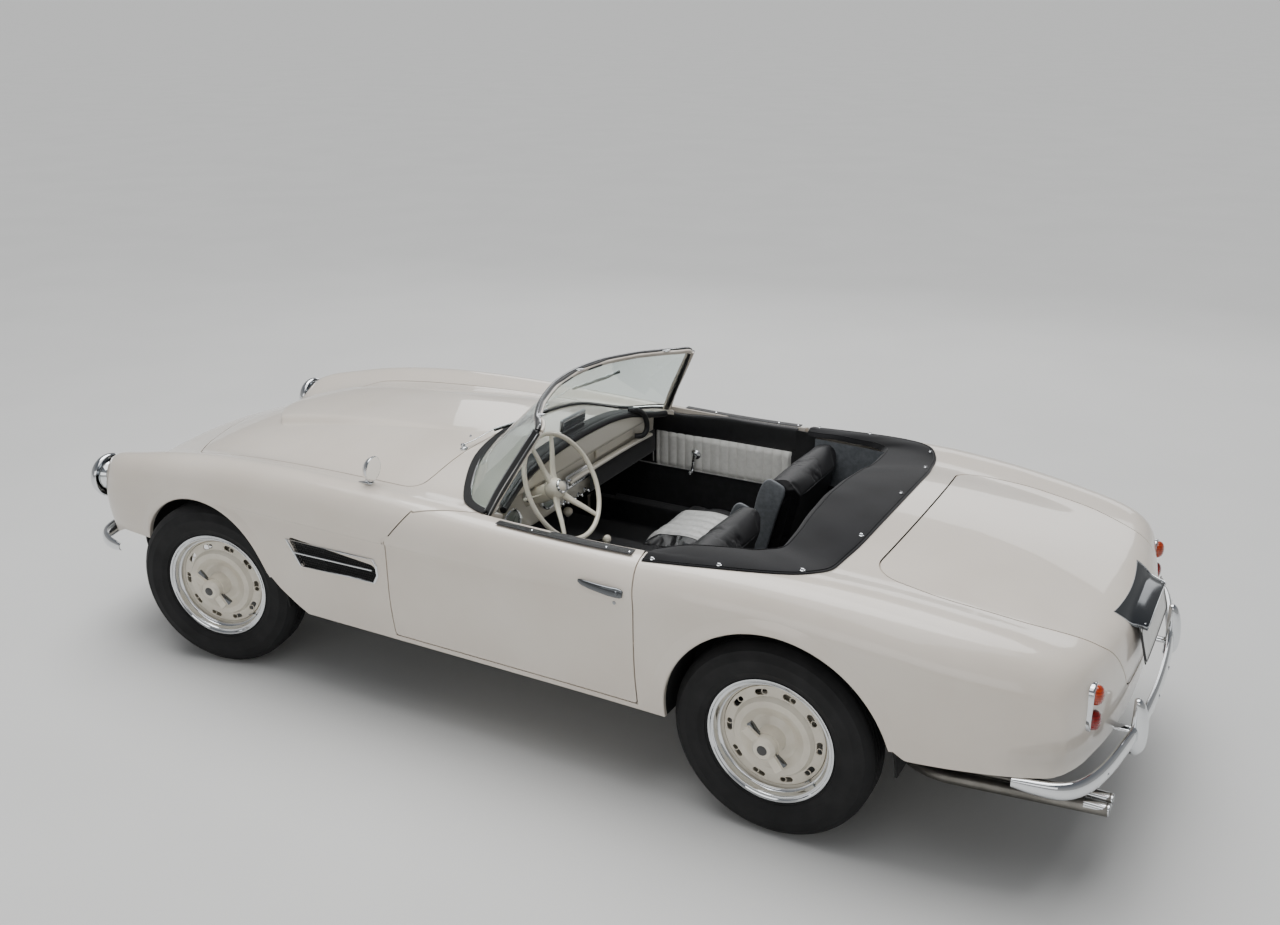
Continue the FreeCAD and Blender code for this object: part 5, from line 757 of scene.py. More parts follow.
def thickened(piece, thickness, offset=-1):
    wall = piece.modifiers.new("Wall", "SOLIDIFY")
    wall.thickness = thickness
    wall.offset = offset
    applyModifiers(piece)
    return piece


def subdivided(piece, levels=1):
    soften = piece.modifiers.new("Soften", "SUBSURF")
    soften.levels = soften.render_levels = levels
    applyModifiers(piece)
    return piece


def outOfCar(place):
    # Way out from the middle of the car, in plan, used for bars that go round its ends.
    return Vector((place.x / 2.19, place.y / 0.82, 0)).normalized()

# Panels: rolled lips round the wheel arches, the crease along the sides, the bulge on the bonnet.

arches = {
    "front": {"centre": (1.372, 0.364), "radius": 0.362}, "rear": {"centre": (-1.122, 0.362),
    "radius": 0.392},
    "turns": (-2.5, 182.5), "steps": 60,
    # distance out from the arch's edge and rise over the panel, in metres
    "roll": [(0.000, -0.012), (-0.0012, -0.005), (-0.0012, 0.0005), (0.001, 0.0042), (0.005, 0.0060),
    (0.010, 0.0066),
             (0.017, 0.0060), (0.026, 0.0040), (0.037, 0.0016), (0.048, 0.0002), (0.056, -0.0010)],
}


def archPoint(arch, side, turn, out, lift):
    across, up = arches[arch]["centre"]
    angle = math.radians(turn)
    seat = arches[arch]["radius"] + max(out, 0.0025)
    on = onSide(across + seat * math.cos(angle), up + seat * math.sin(angle), side)
    if on is None:
        on = Vector((across, side * 0.79, up))
    reach = arches[arch]["radius"] + out
    return Vector((across + reach * math.cos(angle), on.y + side * lift, up + reach * math.sin(angle)))


def archEnd(arch, side, turn, step):
    # Where the lip stops: the last place where the panel still stands behind all of it.
    across, up = arches[arch]["centre"]
    while True:
        angle = math.radians(turn)
        reaches = [arches[arch]["radius"] + out for out in (0.004, 0.030, 0.054)]
        if all(onSide(across + reach * math.cos(angle), up + reach * math.sin(angle),
                side) for reach in reaches):
            return turn
        turn += step


for sideName, side in sides.items():
    for arch in ("front", "rear"):
        low = archEnd(arch, side, arches["turns"][0], 0.5)
        high = archEnd(arch, side, arches["turns"][1], -0.5)

        def lipAt(u, v):
            out, lift = arches["roll"][round(u * (len(arches["roll"]) - 1))]
            fade = ease(min(v, 1 - v) / 0.10)
            return archPoint(arch, side, low + (high - low) * v, out,
                lift if lift < 0 else lift * (0.25 + 0.75 * fade))

        lip = laidGrid(len(arches["roll"]) - 1, arches["steps"], lipAt)
        closeSeams(lip, 0.00001)
        finish(subdivided(lip), f"archLip{arch.title()}{sideName.title()}", ivoryEnamel, "body",
            60)

crease = {
    "height": 0.743, "runs": {"body": (1.300, 0.4130), "door": (0.3990, -0.520)},
    # height from the crease and rise over the panel, which steps in just below it
    "fold": [(-0.0035, -0.0008), (-0.0030, 0.0025), (-0.0022, 0.0048), (-0.0008, 0.0042), (0.002, 0.0030),
             (0.006, 0.0022), (0.012, 0.0014), (0.020, 0.0007), (0.030, 0.0001), (0.036, -0.0008)],
}
for sideName, side in sides.items():
    for run, (start, end) in crease["runs"].items():

        def foldAt(u, v):
            offset, lift = crease["fold"][round(u * (len(crease["fold"]) - 1))]
            x = start + (end - start) * v
            fade = ease(v / 0.10) if run == "body" else ease((1 - v) / 0.45)
            on = onSide(x, crease["height"] + offset, side)
            return Vector((x, on.y + side * (lift * fade if lift > 0 else lift), on.z))

        fold = laidGrid(len(crease["fold"]) - 1, 40, foldAt)
        closeSeams(fold, 0.00001)
        rider = "body" if run == "body" else f"door_{sideName}"
        finish(subdivided(fold), f"sideCrease{run.title()}{sideName.title()}", ivoryEnamel, rider,
            60)

scoop = {
    "lead": 1.552, "curve": 2.15, "rear": 0.43, "rise": 0.030, "steps": 44,
    "half": [(0.43, 0.215), (0.58, 0.228), (1.073, 0.266), (1.387, 0.275), (1.60, 0.275)],
    "rises": [(0.0, 0.0), (0.15, 0.16), (0.40, 0.42), (0.70, 0.78), (0.90, 0.97), (1.0, 1.0)],
    # how far ahead of the leading edge and what share of the rise, from the mouth's throat out to the lip
    "lip": [(-0.050, 0.30), (-0.030, 0.36), (-0.006, 0.42), (0.0005, 0.52), (0.0020, 0.68), (0.0010, 0.86),
    (-0.004, 0.97)],
    "sides": [1.06, 1.03, 1.0, 0.97, 0.94, 0.90, 0.85, 0.78, 0.68, 0.55, 0.38, 0.2, 0.0],
}


def bulgeAt(u, v):
    shares = [-s for s in scoop["sides"]] + list(reversed(scoop["sides"][:-1]))
    share = shares[round(u * (len(shares) - 1))]
    lips = len(scoop["lip"])
    row = round(v * (lips + scoop["steps"]))
    half = between(scoop["half"], 1.40)
    lead = scoop["lead"] - scoop["curve"] * (share * half) ** 2
    if row < lips:
        x, rise = lead + scoop["lip"][row][0], scoop["lip"][row][1]
    else:
        back = ((row - lips) / scoop["steps"]) ** 1.15
        x = lead - 0.010 - (lead - 0.010 - scoop["rear"]) * back
        rise = between(scoop["rises"], (x - scoop["rear"]) / (lead - scoop["rear"]))
    y = share * between(scoop["half"], x)
    edge = ease((1.0 - abs(share)) / 0.16)
    on = onTop(x, y)
    return on + Vector((0, 0, rise * scoop["rise"] * edge - 0.0015 * (1 - edge)))


bulge = laidGrid(2 * len(scoop["sides"]) - 2, len(scoop["lip"]) + scoop["steps"], bulgeAt)
closeSeams(bulge, 0.00001)
finish(subdivided(bulge), "bonnetBulge", ivoryEnamel, "bonnet", 60)


# A thin black sheet inside the scoop's mouth: painted shade, so that the mouth reads dark.
def throatAt(u, v):
    y = (u - 0.5) * 1.86 * 0.275
    x = scoop["lead"] - scoop["curve"] * y * y - 0.034
    edge = ease((1.0 - abs(u - 0.5) * 2 * 0.93) / 0.16)
    return onTop(x, y) + Vector((-0.012 * v, 0, -0.002 + v * 0.60 * scoop["rise"] * edge))


throat = thickened(laidGrid(40, 3, throatAt), 0.001)
finish(throat, "bonnetScoopShadeSheet", blackBakelite, "bonnet", 30)
print("panels shaped")

# Bright trim: bumpers, lamps, side vents and door handles.

bumper = {
    # section of the crowned blade, as (out, up), the back edge turned in
    "blade": [(-0.010, 0.052), (-0.002, 0.0545), (0.006, 0.050), (0.012, 0.040), (0.0165, 0.026),
    (0.0185, 0.010), (0.0185, -0.008),
              (0.0165, -0.024), (0.012, -0.038), (0.006, -0.047), (-0.002, -0.0515), (-0.010, -0.049),
              (-0.007, -0.044),
              (0.000, -0.042), (0.007, -0.030), (0.012, -0.006), (0.011, 0.020), (0.005, 0.038),
              (-0.006, 0.047)],
    "front": {"route": [(1.885, 0.794), (1.960, 0.782), (2.030, 0.748), (2.075, 0.695), (2.106, 0.600),
    (2.128, 0.480), (2.148, 0.340),
                        (2.160, 0.180), (2.164, 0.0)], "up": 0.410, "scale": 0.80, "tall": 0.60},
    "rear": {"route": [(-1.876, 0.806), (-1.950, 0.800), (-2.012, 0.786), (-2.055, 0.748), (-2.088, 0.680),
    (-2.112, 0.590), (-2.132, 0.470),
                       (-2.152, 0.320), (-2.163, 0.170), (-2.167, 0.0)], "up": 0.464, "scale": 0.82,
                       "tall": 0.56},
    "taper": [(0, 0.50), (0.03, 0.72), (0.10, 0.94), (0.2, 1), (0.8, 1), (0.90, 0.94), (0.97, 0.72),
    (1, 0.50)],
}
overrider = {"out": 0.360, "front": {"foot": 0.338, "top": 0.516, "x": 2.146},
    "rear": {"foot": 0.388, "top": 0.581, "x": -2.144},
             "profile": [(0.0, 0.010, 0.016), (0.04, 0.026, 0.021), (0.14, 0.036, 0.0235),
             (0.35, 0.040, 0.0245), (0.6, 0.037, 0.023),
                         (0.82, 0.029, 0.0205), (0.95, 0.018, 0.016), (1.0, 0.006, 0.010)]}


def makeOverrider(end):
    way = 1 if end == "front" else -1
    values = overrider[end]
    rows = []
    for share, deep, half in overrider["profile"]:
        z = values["foot"] + (values["top"] - values["foot"]) * share
        row = []
        for i in range(14):
            angle = math.radians(-90 + 180 * i / 13)
            row.append(Vector((values["x"] + way * deep * math.cos(angle) ** 0.8 * 1.05,
                overrider["out"] + half * math.sin(angle), z)))
        row += [Vector((values["x"] - way * 0.012, overrider["out"] + half * 0.9, z)),
            Vector((values["x"] - way * 0.012, overrider["out"] - half * 0.9, z))]
        rows.append(row)
    return subdivided(ringSkin(rows, 0.00001, True))


for end in ("front", "rear"):
    values = bumper[end]
    half = values["route"]
    route = [(x, y, values["up"]) for x, y in half] + [(x, -y, values["up"]) for x, y in reversed(half[:-1])]
    section = [(o * values["scale"], s * values["tall"]) for o, s in bumper["blade"]]
    blade = swept(route, section, outOfCar, 5, bumper["taper"])
    right = makeOverrider(end)
    stems = []
    for side in (1, -1):
        way = 1 if end == "front" else -1
        stems.append(block((0.15, 0.034, 0.010), (way * 2.075, side * 0.33, values["up"] - 0.012), 0.003))
    piece = merged([blade, right, acrossCar(right)] + stems)
    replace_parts(finish(piece, f"{end}Bumper", chromePlate, "body", 40), f"{end}_bumper")
    # Fixing bolts, domed.
    heads = []
    for y in (-0.620, -0.120, 0.120, 0.620):
        on = next(Vector(p) for p in sorted(smoothLine(route, 5), key=lambda p: abs(p.y - y)))
        head = spun([(0, 0.0042), (0.004, 0.0036), (0.0075, 0.0018), (0.0085, 0.0)], 16)
        out = outOfCar(on)
        heads.append(pointed(head, on + out * 0.0148, out))
    finish(merged(heads), f"{end}BumperBolts", chromePlate, "body", 50)

headlamp = {
    "y": 0.640, "z": 0.655, "rim": [(0.0745, -0.020), (0.0745, 0.012), (0.0765, 0.0175), (0.0800, 0.0195),
    (0.0850, 0.0180),
                                     (0.0905, 0.0120), (0.0945, 0.0030), (0.0958, -0.0080), (0.0945, -0.016),
                                     (0.0900, -0.020)],
    "glass": [(0.0, 0.0300), (0.020, 0.0292), (0.040, 0.0264), (0.058, 0.0215), (0.070, 0.0160),
    (0.0752, 0.0120), (0.0752, 0.0090),
              (0.068, 0.0130), (0.055, 0.0190), (0.038, 0.0235), (0.018, 0.0262), (0.0, 0.0270)],
    "bowl": [(0.0752, 0.004), (0.070, -0.012), (0.058, -0.030), (0.040, -0.044), (0.020, -0.052),
    (0.0, -0.054)],
    "bulb": [(0.0, 0.004), (0.007, 0.001), (0.009, -0.008), (0.007, -0.020), (0.010, -0.030),
    (0.010, -0.054)],
}
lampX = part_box("headlamps")[1].x - 0.013
lampParts = {
    "Rim": (spun(headlamp["rim"], 72), chromePlate, "chrome"),
    "Glass": (spun(headlamp["glass"], 72), lampGlass, "glass"),
    "Bowl": (spun(headlamp["bowl"], 64), mirrorSilver, "chrome"),
    "Bulb": (spun(headlamp["bulb"], 24), satinSteel, "steel"),
}
for part, (pattern, look, slotName) in lampParts.items():
    for sideName, side in sides.items():
        piece = pointed(copied(pattern), (lampX, side * headlamp["y"], headlamp["z"]), (1, 0, 0))
        finish(piece, f"headlamp{part}{sideName.title()}", look, "body", 40)
        if part == "Rim" and side == 1:
            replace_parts(piece, "headlamps")
    bpy.data.objects.remove(pattern)

# Front turn lamps in the wings, round and amber.
turnLamp = {"y": 0.655, "z": 0.520, "rim": [(0.0, -0.014), (0.030, -0.012), (0.0335, -0.004), (0.0335, 0.004),
    (0.030, 0.008), (0.0265, 0.009)],
            "lens": [(0.0270, 0.006), (0.0230, 0.0125), (0.0150, 0.0170), (0.0, 0.0190)]}
for sideName, side in sides.items():
    on = onEnd(turnLamp["y"], turnLamp["z"], 1)
    rim = lathed(turnLamp["rim"], 40, (on.x - 0.003, side * turnLamp["y"], turnLamp["z"]),
        (1, side * 0.3, 0.1))
    finish(rim, f"turnLampRim{sideName.title()}", chromePlate, "body", 40)
    lens = lathed(turnLamp["lens"], 40, (on.x - 0.003, side * turnLamp["y"], turnLamp["z"]),
        (1, side * 0.3, 0.1))
    finish(lens, f"turnLampLens{sideName.title()}", amberLens, "body", 60)

tailLamp = {
    "y": 0.580, "lower": 0.600, "upper": 0.684,
            "lens": [(0.0, 0.0235), (0.012, 0.0222), (0.022, 0.0185), (0.028, 0.0125), (0.0310, 0.0045),
            (0.0318, -0.002)],
    "outline": [(0, -0.0385), (0.020, -0.0345), (0.0335, -0.022), (0.0385, 0.0), (0.0385, 0.042),
    (0.0385, 0.086), (0.0335, 0.106),
                (0.020, 0.1185), (0, 0.1225)],
}


def lampRing(scale, x, side):
    half = tailLamp["outline"]
    middle = 0.042
    ring = [(y, z) for y, z in half] + [(-y, z) for y, z in reversed(half[1:-1])]
    return [Vector((x, side * (tailLamp["y"] + y * scale),
        tailLamp["lower"] + middle + (z - middle) * scale)) for y, z in ring]


for sideName, side in sides.items():
    seat = [onEnd(side * (tailLamp["y"] + dy), tailLamp["lower"] + 0.042 + dz, -1).x for dy in (-0.036, 0,
        0.036) for dz in (-0.07, 0.07)]
    inner, tip = max(seat) + 0.004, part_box("tail_lamps")[0].x
    steps = [(1.0, inner), (1.0, tip + 0.028), (0.985, tip + 0.0255), (0.93, tip + 0.0235),
        (0.86, tip + 0.0245), (0.83, tip + 0.030)]
    bezel = ringSkin([lampRing(scale, x, side) for scale, x in steps])
    finish(subdivided(bezel), f"tailLampBezel{sideName.title()}", chromePlate, "body", 50)
    for part, height, look in (("Lower", "lower", redLens), ("Upper", "upper", amberLens)):
        lens = lathed(tailLamp["lens"], 48, (tip + 0.0240, side * tailLamp["y"], tailLamp[height]),
            (-1, 0, 0))
        finish(lens, f"tailLens{part}{sideName.title()}", look, "body", 60)
        if part == "Lower" and side == 1:
            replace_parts(lens, "tail_lamps")

# Side vents: frame, bar and mesh.
vent = {"corners": [(0.905, 0.657), (0.470, 0.664), (0.456, 0.640), (0.452, 0.600), (0.470, 0.566),
    (0.842, 0.556)],
        "bar": [(0.872, 0.607), (0.480, 0.616)], "wire": 0.0011, "wires": 46, "rows": 10, "front": 0.846,
        "low": 0.560, "high": 0.660, "start": 0.462,
        # inset from the edge and height over the wing, round the frame
        "frame": [(-0.001, -0.003), (-0.001, 0.0028), (0.0015, 0.0048), (0.0045, 0.0052), (0.0075, 0.0040),
        (0.0090, 0.0008), (0.0100, -0.010)]}


def ventFace(x, z, side, lift=0.0):
    # The wing's face over the vent's opening, which is cut in the panel.
    return Vector((x, side * (0.8044 - 0.0039 * (x - 0.44) + lift), z))


def ventRing(inset, lift, side):
    corners = [Vector((x, 0, z)) for x, z in vent["corners"]]
    middle = sum(corners, Vector()) / len(corners)
    ring = []
    for i, corner in enumerate(corners):
        for share in (0.0, 0.12, 0.35, 0.5, 0.65, 0.88):
            place = corner.lerp(corners[(i + 1) % len(corners)], share)
            place = place + (middle - place).normalized() * inset
            ring.append(ventFace(place.x, place.z, side, lift))
    return ring


for sideName, side in sides.items():
    frameRing = ringSkin([ventRing(inset, lift, side) for inset, lift in vent["frame"]])
    bars = []
    (x0, z0), (x1, z1) = vent["bar"]
    line = [ventFace(x0 + (x1 - x0) * i / 6, z0 + (z1 - z0) * i / 6, side, 0.0012) for i in range(7)]
    bars.append(swept(line, roundSection(0.0075, 0.006, 0.003), (0, side, 0), 3))
    chromeParts = merged([frameRing] + bars)
    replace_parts(finish(chromeParts, f"sideVentFrame{sideName.title()}", chromePlate, "body", 40),
        "side_vents")
    # Woven wire mesh behind the bar.
    wires = []
    for i in range(vent["wires"]):
        x = vent["start"] + i * 0.0094
        top = ventFace(min(x + 0.028, 0.898), vent["high"], side, -0.004)
        foot = ventFace(x, vent["low"], side, -0.004)
        if foot.x > 0.842:
            foot = foot.lerp(top, min((foot.x - 0.842) / 0.062, 0.96))
        wires.append(strand([foot, foot.lerp(top, 0.5), top], vent["wire"], round=1, smooth=1))
    for i in range(vent["rows"]):
        z = 0.566 + i * 0.0098
        start, end = vent["start"], vent["front"] + (z - 0.556) * 0.60
        row = [ventFace(start + (end - start) * k / 4, z, side, -0.0045) for k in range(5)]
        wires.append(strand(row, vent["wire"], round=1, smooth=1))
    finish(merged(wires), f"sideVentMesh{sideName.title()}", blackBakelite, "body", 60)
    long = vent["front"] - vent["start"]
    back = laidGrid(14, 4, lambda u, v: ventFace(vent["start"] + (long + v * 0.050) * u, 0.562 + 0.096 * v,
        side, -0.018))
    finish(thickened(back, 0.001, 0), f"sideVentBack{sideName.title()}", underseal, "body", 60)

handle = {"start": -0.421, "end": -0.592, "line": [(0.0, 0.7852), (0.5, 0.7790), (1.0, 0.7715)],
          "swell": [(0, 0.30), (0.08, 0.55), (0.3, 0.72), (0.6, 0.86), (0.85, 1.0), (0.95, 0.92), (1, 0.60)],
          "button": [(0.0, 0.0045), (0.006, 0.0040), (0.0085, 0.0015), (0.009, -0.006)],
          "lock": [(0.0, 0.0022), (0.0055, 0.0022), (0.0062, 0.0014), (0.0066, -0.004)],
          "lockPlace": (-0.560, 0.735)}
for sideName, side in sides.items():
    line = []
    for i in range(9):
        share = i / 8
        on = onSide(handle["start"] + (handle["end"] - handle["start"]) * share,
            between(handle["line"], share), side)
        line.append(on + Vector((0, side * (0.002 + 0.0085 * math.sin(math.pi * min(share * 1.15, 1)) ** 0.6),
            0)))
    lever = swept(line, roundSection(0.034, 0.0150, 0.0074, 4), (0, side, 0.25), 3, handle["swell"])
    button = lathed(handle["button"], 24, line[-2] + Vector((0.001, side * 0.0062, 0)), (0, side, 0.1))
    piece = merged([lever, button])
    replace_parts(finish(piece, f"doorHandle{sideName.title()}", shadedChrome, f"door_{sideName}",
        50), f"door_handle_{sideName}")
    lock = spun(handle["lock"], 20)
    on = onSide(*handle["lockPlace"], side)
    finish(pointed(lock, on, (0, side, 0)), f"doorLock{sideName.title()}", satinSteel, f"door_{sideName}",
        50)
print("bright trim made")

# Windscreen: black outer faces, ivory inner faces, bright strips, the seal; wipers and mirrors.

screen = {
    "catches": (0.470, 0.0, -0.470),
    "sealSection": [(-0.0130, 0.0100), (-0.0090, 0.0150), (-0.0040, 0.0150), (0.0010, 0.0105),
    (0.0075, 0.0050),
                    (0.0150, 0.0010), (0.0185, -0.0040), (0.0100, -0.0070), (-0.0130, -0.0070)],
    "pillar": [(0.036, 0.676, 0.872), (-0.012, 0.648, 0.976), (-0.070, 0.618, 1.080), (-0.118, 0.592, 1.165),
    (-0.131, 0.581, 1.190)],
    "header": [(-0.131, 0.581, 1.190), (-0.126, 0.562, 1.1985), (-0.100, 0.522, 1.2005),
    (-0.059, 0.4785, 1.202), (0.0006, 0.359, 1.212),
               (0.0502, 0.198, 1.222), (0.0660, 0.090, 1.226), (0.070, 0.0, 1.227)],
    "seal": [(0.034, 0.684, 0.887), (0.092, 0.664, 0.884), (0.165, 0.611, 0.885), (0.230, 0.512, 0.908),
    (0.283, 0.376, 0.951),
             (0.308, 0.200, 0.979), (0.323, 0.0, 0.987)],
    "outer": (0.036, 0.011), "inner": (0.034, 0.009), "header_outer": (0.022, 0.016),
    "header_inner": (0.017, 0.013),
}


def bothWays(half):
    # The left half of a line that crosses the car, then its right half.
    return list(half) + [(x, -y, z) for x, y, z in reversed(half[:-1])]


for sideName, side in sides.items():
    line = [Vector((x, y * side, z)) for x, y, z in screen["pillar"]]
    away = Vector((0.30, side * 0.95, 0.10))
    across = Vector((-0.55, side * 0.06, 0.0))
    shift = Vector((0.30, side * 0.95, 0.10)).normalized()
    outer = swept([p + shift * 0.0100 for p in line], roundSection(*screen["outer"], 0.0045), away, 5)
    finish(outer, f"screenPillarOuter{sideName.title()}", blackEnamel, "body", 40)
    inner = swept([p - shift * 0.0045 for p in line], roundSection(*screen["inner"], 0.0040), away, 5)
    finish(inner, f"screenPillarInner{sideName.title()}", ivoryEnamel, "body", 40)
    strips = []
    for edge in (0.0125, -0.0125):
        runs = []
        for i, place in enumerate(line):
            ahead = (line[min(i + 1, len(line) - 1)] - line[max(i - 1, 0)]).normalized()
            runs.append(place + shift * 0.0160 + ahead.cross(shift).normalized() * edge)
        strips.append(swept(runs, roundSection(0.0035, 0.003, 0.0015, 2), away, 4))
    finish(merged(strips), f"screenPillarStrips{sideName.title()}", chromePlate, "body", 40)


def screenFront(place):
    # Way forward and out from the curved glass.
    return Vector((1.0, place.y * 1.9, 0.35)).normalized()


header = bothWays(screen["header"])
front = [Vector(p) + screenFront(Vector(p)) * 0.0050 for p in header]
rear = [Vector(p) - screenFront(Vector(p)) * 0.0105 for p in header]
finish(swept(front, roundSection(*screen["header_outer"], 0.006), screenFront, 5), "screenHeaderOuter",
    blackEnamel, "body", 40)
finish(swept(rear, roundSection(*screen["header_inner"], 0.005), screenFront, 5), "screenHeaderInner",
    ivoryEnamel, "body", 40)
capLine = [Vector(p) + Vector((0.002, 0, 0.0105)) for p in header]
finish(swept(capLine, roundSection(0.0060, 0.004, 0.0018, 2), (0, 0, 1), 5), "screenHeaderStrip", chromePlate,
    "body", 40)
# Catch plates for the top on the header: one near each end and one in the middle.
catches = []
for y in screen["catches"]:
    on = min(smoothLine(header, 5), key=lambda p: abs(p.y - y))
    catches.append(block((0.024, 0.034, 0.0045), on + Vector((-0.012, 0, 0.008)), 0.0018))
finish(merged(catches), "screenCatchPlates", chromePlate, "body", 40)


def sealOut(place):
    return Vector((place.x + 0.15, place.y * 1.5, 0)).normalized()


sealPlaces = bothWays(screen["seal"])
sealRows = []
for place in smoothLine(sealPlaces, 4):
    on = onTop(place.x, place.y) or place
    sealRows.append(Vector((place.x, place.y, on.z + 0.0035)))
finish(swept(sealRows, [(o, -s) for o, s in screen["sealSection"]], sealOut, 1), "screenSeal", sealRubber,
    "body", 40)
bright = [p + sealOut(p) * 0.0085 + Vector((0, 0, 0.0052)) for p in sealRows]
finish(swept(bright, roundSection(0.0035, 0.0025, 0.0012, 2), (0, 0, 1), 1), "screenSealStrip", chromePlate,
    "body", 40)

wiper = {"pivots": {"Left": (0.384, 0.335), "Right": (0.384, -0.243)}, "reach": (-0.105, -0.235, 0.060),
         "base": [(0.0, 0.021), (0.006, 0.0205), (0.0085, 0.018), (0.0095, 0.012), (0.0105, 0.007),
         (0.0150, 0.005), (0.0165, 0.001),
                  (0.0165, -0.006)],
         "blade": [(0.055, 0.105, -0.012), (0.002, -0.004, 0.0), (-0.052, -0.120, 0.020)],
         "taper": [(0, 1.1), (0.5, 0.9), (1, 0.5)],
         "jet": [(0.0, 0.0075), (0.003, 0.0070), (0.0048, 0.004), (0.0055, 0.0), (0.007, -0.002)]}
for name, (x, y) in wiper["pivots"].items():
    foot = onTop(x, y)
    base = lathed(wiper["base"], 32, foot, (0.25, 0.1, 1))
    tip = foot + Vector(wiper["reach"])
    arm = swept([foot + Vector((0, 0, 0.016)), foot + Vector((-0.022, -0.045, 0.026)),
        foot.lerp(tip, 0.55) + Vector((-0.004, 0, 0.020)), tip],
                roundSection(0.0075, 0.004, 0.0018), (0.3, 0, 1), 6, wiper["taper"])
    bladeA, bladeMiddle, bladeB = (tip + Vector(place) for place in wiper["blade"])
    blade = swept([bladeA, bladeMiddle, bladeB], roundSection(0.0055, 0.007, 0.0015), (0.4, 0, 1), 8)
    rubber = swept([bladeA + Vector((-0.003, 0, -0.006)), tip + Vector((-0.001, -0.004, -0.006)),
        bladeB + Vector((-0.003, 0, -0.006))],
                   roundSection(0.0018, 0.008, 0.0006), (0.4, 0, 1), 8)
    finish(merged([base, arm, blade]), f"wiperArm{name}", chromePlate, "body", 40)
    finish(rubber, f"wiperRubber{name}", sealRubber, "body", 40)
# Washer jets.
jets = [lathed(wiper["jet"], 16, onTop(0.420, y), (0, 0, 1)) for y in (0.24, -0.24)]
finish(merged(jets), "washerJets", chromePlate, "body", 40)

mirror = {"foot": (0.566, 0.684), "head": (0.552, 0.676, 0.962),
          "back": [(0.0, 0.030), (0.014, 0.0288), (0.028, 0.0240), (0.040, 0.0150), (0.0465, 0.0050),
          (0.0490, -0.0020), (0.0485, -0.0050), (0.0455, -0.0062)],
          "glass": [(0.0, -0.0046), (0.030, -0.0050), (0.0462, -0.0058)], "faces": (1, 0.10, 0.05),
          "base": [(0.045, 0.004, 0.0035), (0.020, 0.002, 0.0060), (-0.004, 0, 0.0075), (-0.020, 0, 0.0060)],
          "baseSwell": [(0, 0.25), (0.35, 0.75), (0.75, 1.0), (1, 0.65)],
          "stemLow": [(0.012, 0, 0.006), (0.002, 0, 0.026)], "stemHigh": [(0.020, 0, -0.026),
          (0.022, 0, -0.004)],
          "stemSwell": [1.5, 1.0, 0.85, 1.1]}
foot = onTop(*mirror["foot"])
head = Vector(mirror["head"])
base = swept([foot + Vector(place) for place in mirror["base"]], roundSection(0.034, 0.010, 0.005), (0, 0, 1),
    5, mirror["baseSwell"])
stemPlaces = [foot + Vector(place) for place in mirror["stemLow"]]
stemPlaces += [head + Vector(place) for place in mirror["stemHigh"]]
stem = strand(stemPlaces, 0.0058, swell=mirror["stemSwell"])
back = lathed(mirror["back"], 64, head, mirror["faces"])
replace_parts(finish(merged([back, base, stem]), "wingMirror", chromePlate, "body", 45),
    "fender_mirror")
finish(lathed(mirror["glass"], 64, head, mirror["faces"]), "wingMirrorGlass", mirrorSilver, "body",
    45)
inside = {"place": (0.096, 0.0, 1.020), "wide": 0.176, "high": 0.052, "tilt": -6,
          "post": [(0.100, 0, 0.985), (0.104, 0, 1.000), (0.104, 0, 1.012)]}
shell = block((0.016, inside["wide"], inside["high"]), (0, 0, 0), 0.007, 3)
pointedTurn = Matrix.Translation(inside["place"]) @ Matrix.Rotation(math.radians(inside["tilt"]), 4, "Y")
shell.matrix_world = pointedTurn
settle(shell)
glass = block((0.0015, inside["wide"] - 0.012, inside["high"] - 0.011), (-0.0083, 0, 0), 0.0005, 1)
glass.matrix_world = pointedTurn
settle(glass)
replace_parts(finish(shell, "insideMirrorShell", satinSteel, "body", 40), "interior_mirror")
finish(glass, "insideMirrorGlass", mirrorSilver, "body", 40)
post = strand(inside["post"], 0.0062, swell=[1.6, 0.9, 1.0])
finish(post, "insideMirrorPost", chromePlate, "body", 40)
print("windscreen, wipers and mirrors made")

# Cabin: seats, door linings, dashboard, wheel, levers, pedals and carpets.

def coverOf(name):
    # The left half of a CAD soft solid, as a cover that is still to be stuffed.
    pickOnly()
    bpy.ops.mesh.primitive_plane_add(size=0.1)
    piece = bpy.context.object
    piece.data = cad[name].data.copy()
    openMesh(piece)
    mesh = bmesh.from_edit_mesh(piece.data)
    for vertex in mesh.verts:
        vertex.select_set(vertex.co.y < 0)
    bmesh.update_edit_mesh(piece.data)
    bpy.ops.mesh.delete(type="VERT")
    closeMesh()
    closeSeams(piece, 0.0002)
    return piece


def stuffed(piece, values):
    # The cover is drawn in, then blown out by a cloth simulation up to a cap.
    cells = piece.modifiers.new("Cells", "REMESH")
    cells.mode = "VOXEL"
    cells.voxel_size = values["cell"]
    applyModifiers(piece)
    openMesh(piece, everything=True)
    bpy.ops.mesh.vertices_smooth(factor=0.5, repeat=values["smooth"])
    bpy.ops.transform.shrink_fatten(value=-values["drawnIn"])
    closeMesh()
    start = [vertex.co.copy() for vertex in piece.data.vertices]
    cover = piece.modifiers.new("Cover", "CLOTH")
    cover.settings.use_pressure = True
    cover.settings.uniform_pressure_force = values["pressure"]
    cover.settings.effector_weights.gravity = 0
    cover.point_cache.frame_start = 1
    cover.point_cache.frame_end = values["frames"]
    for moment in range(1, values["frames"] + 1):
        bpy.context.scene.frame_set(moment)
    applyModifiers(piece)
    bpy.context.scene.frame_set(1)
    for vertex, before in zip(piece.data.vertices, start):
        moved = vertex.co - before
        if moved.length > values["cap"]:
            vertex.co = before + moved.normalized() * values["cap"]
    return subdivided(piece)


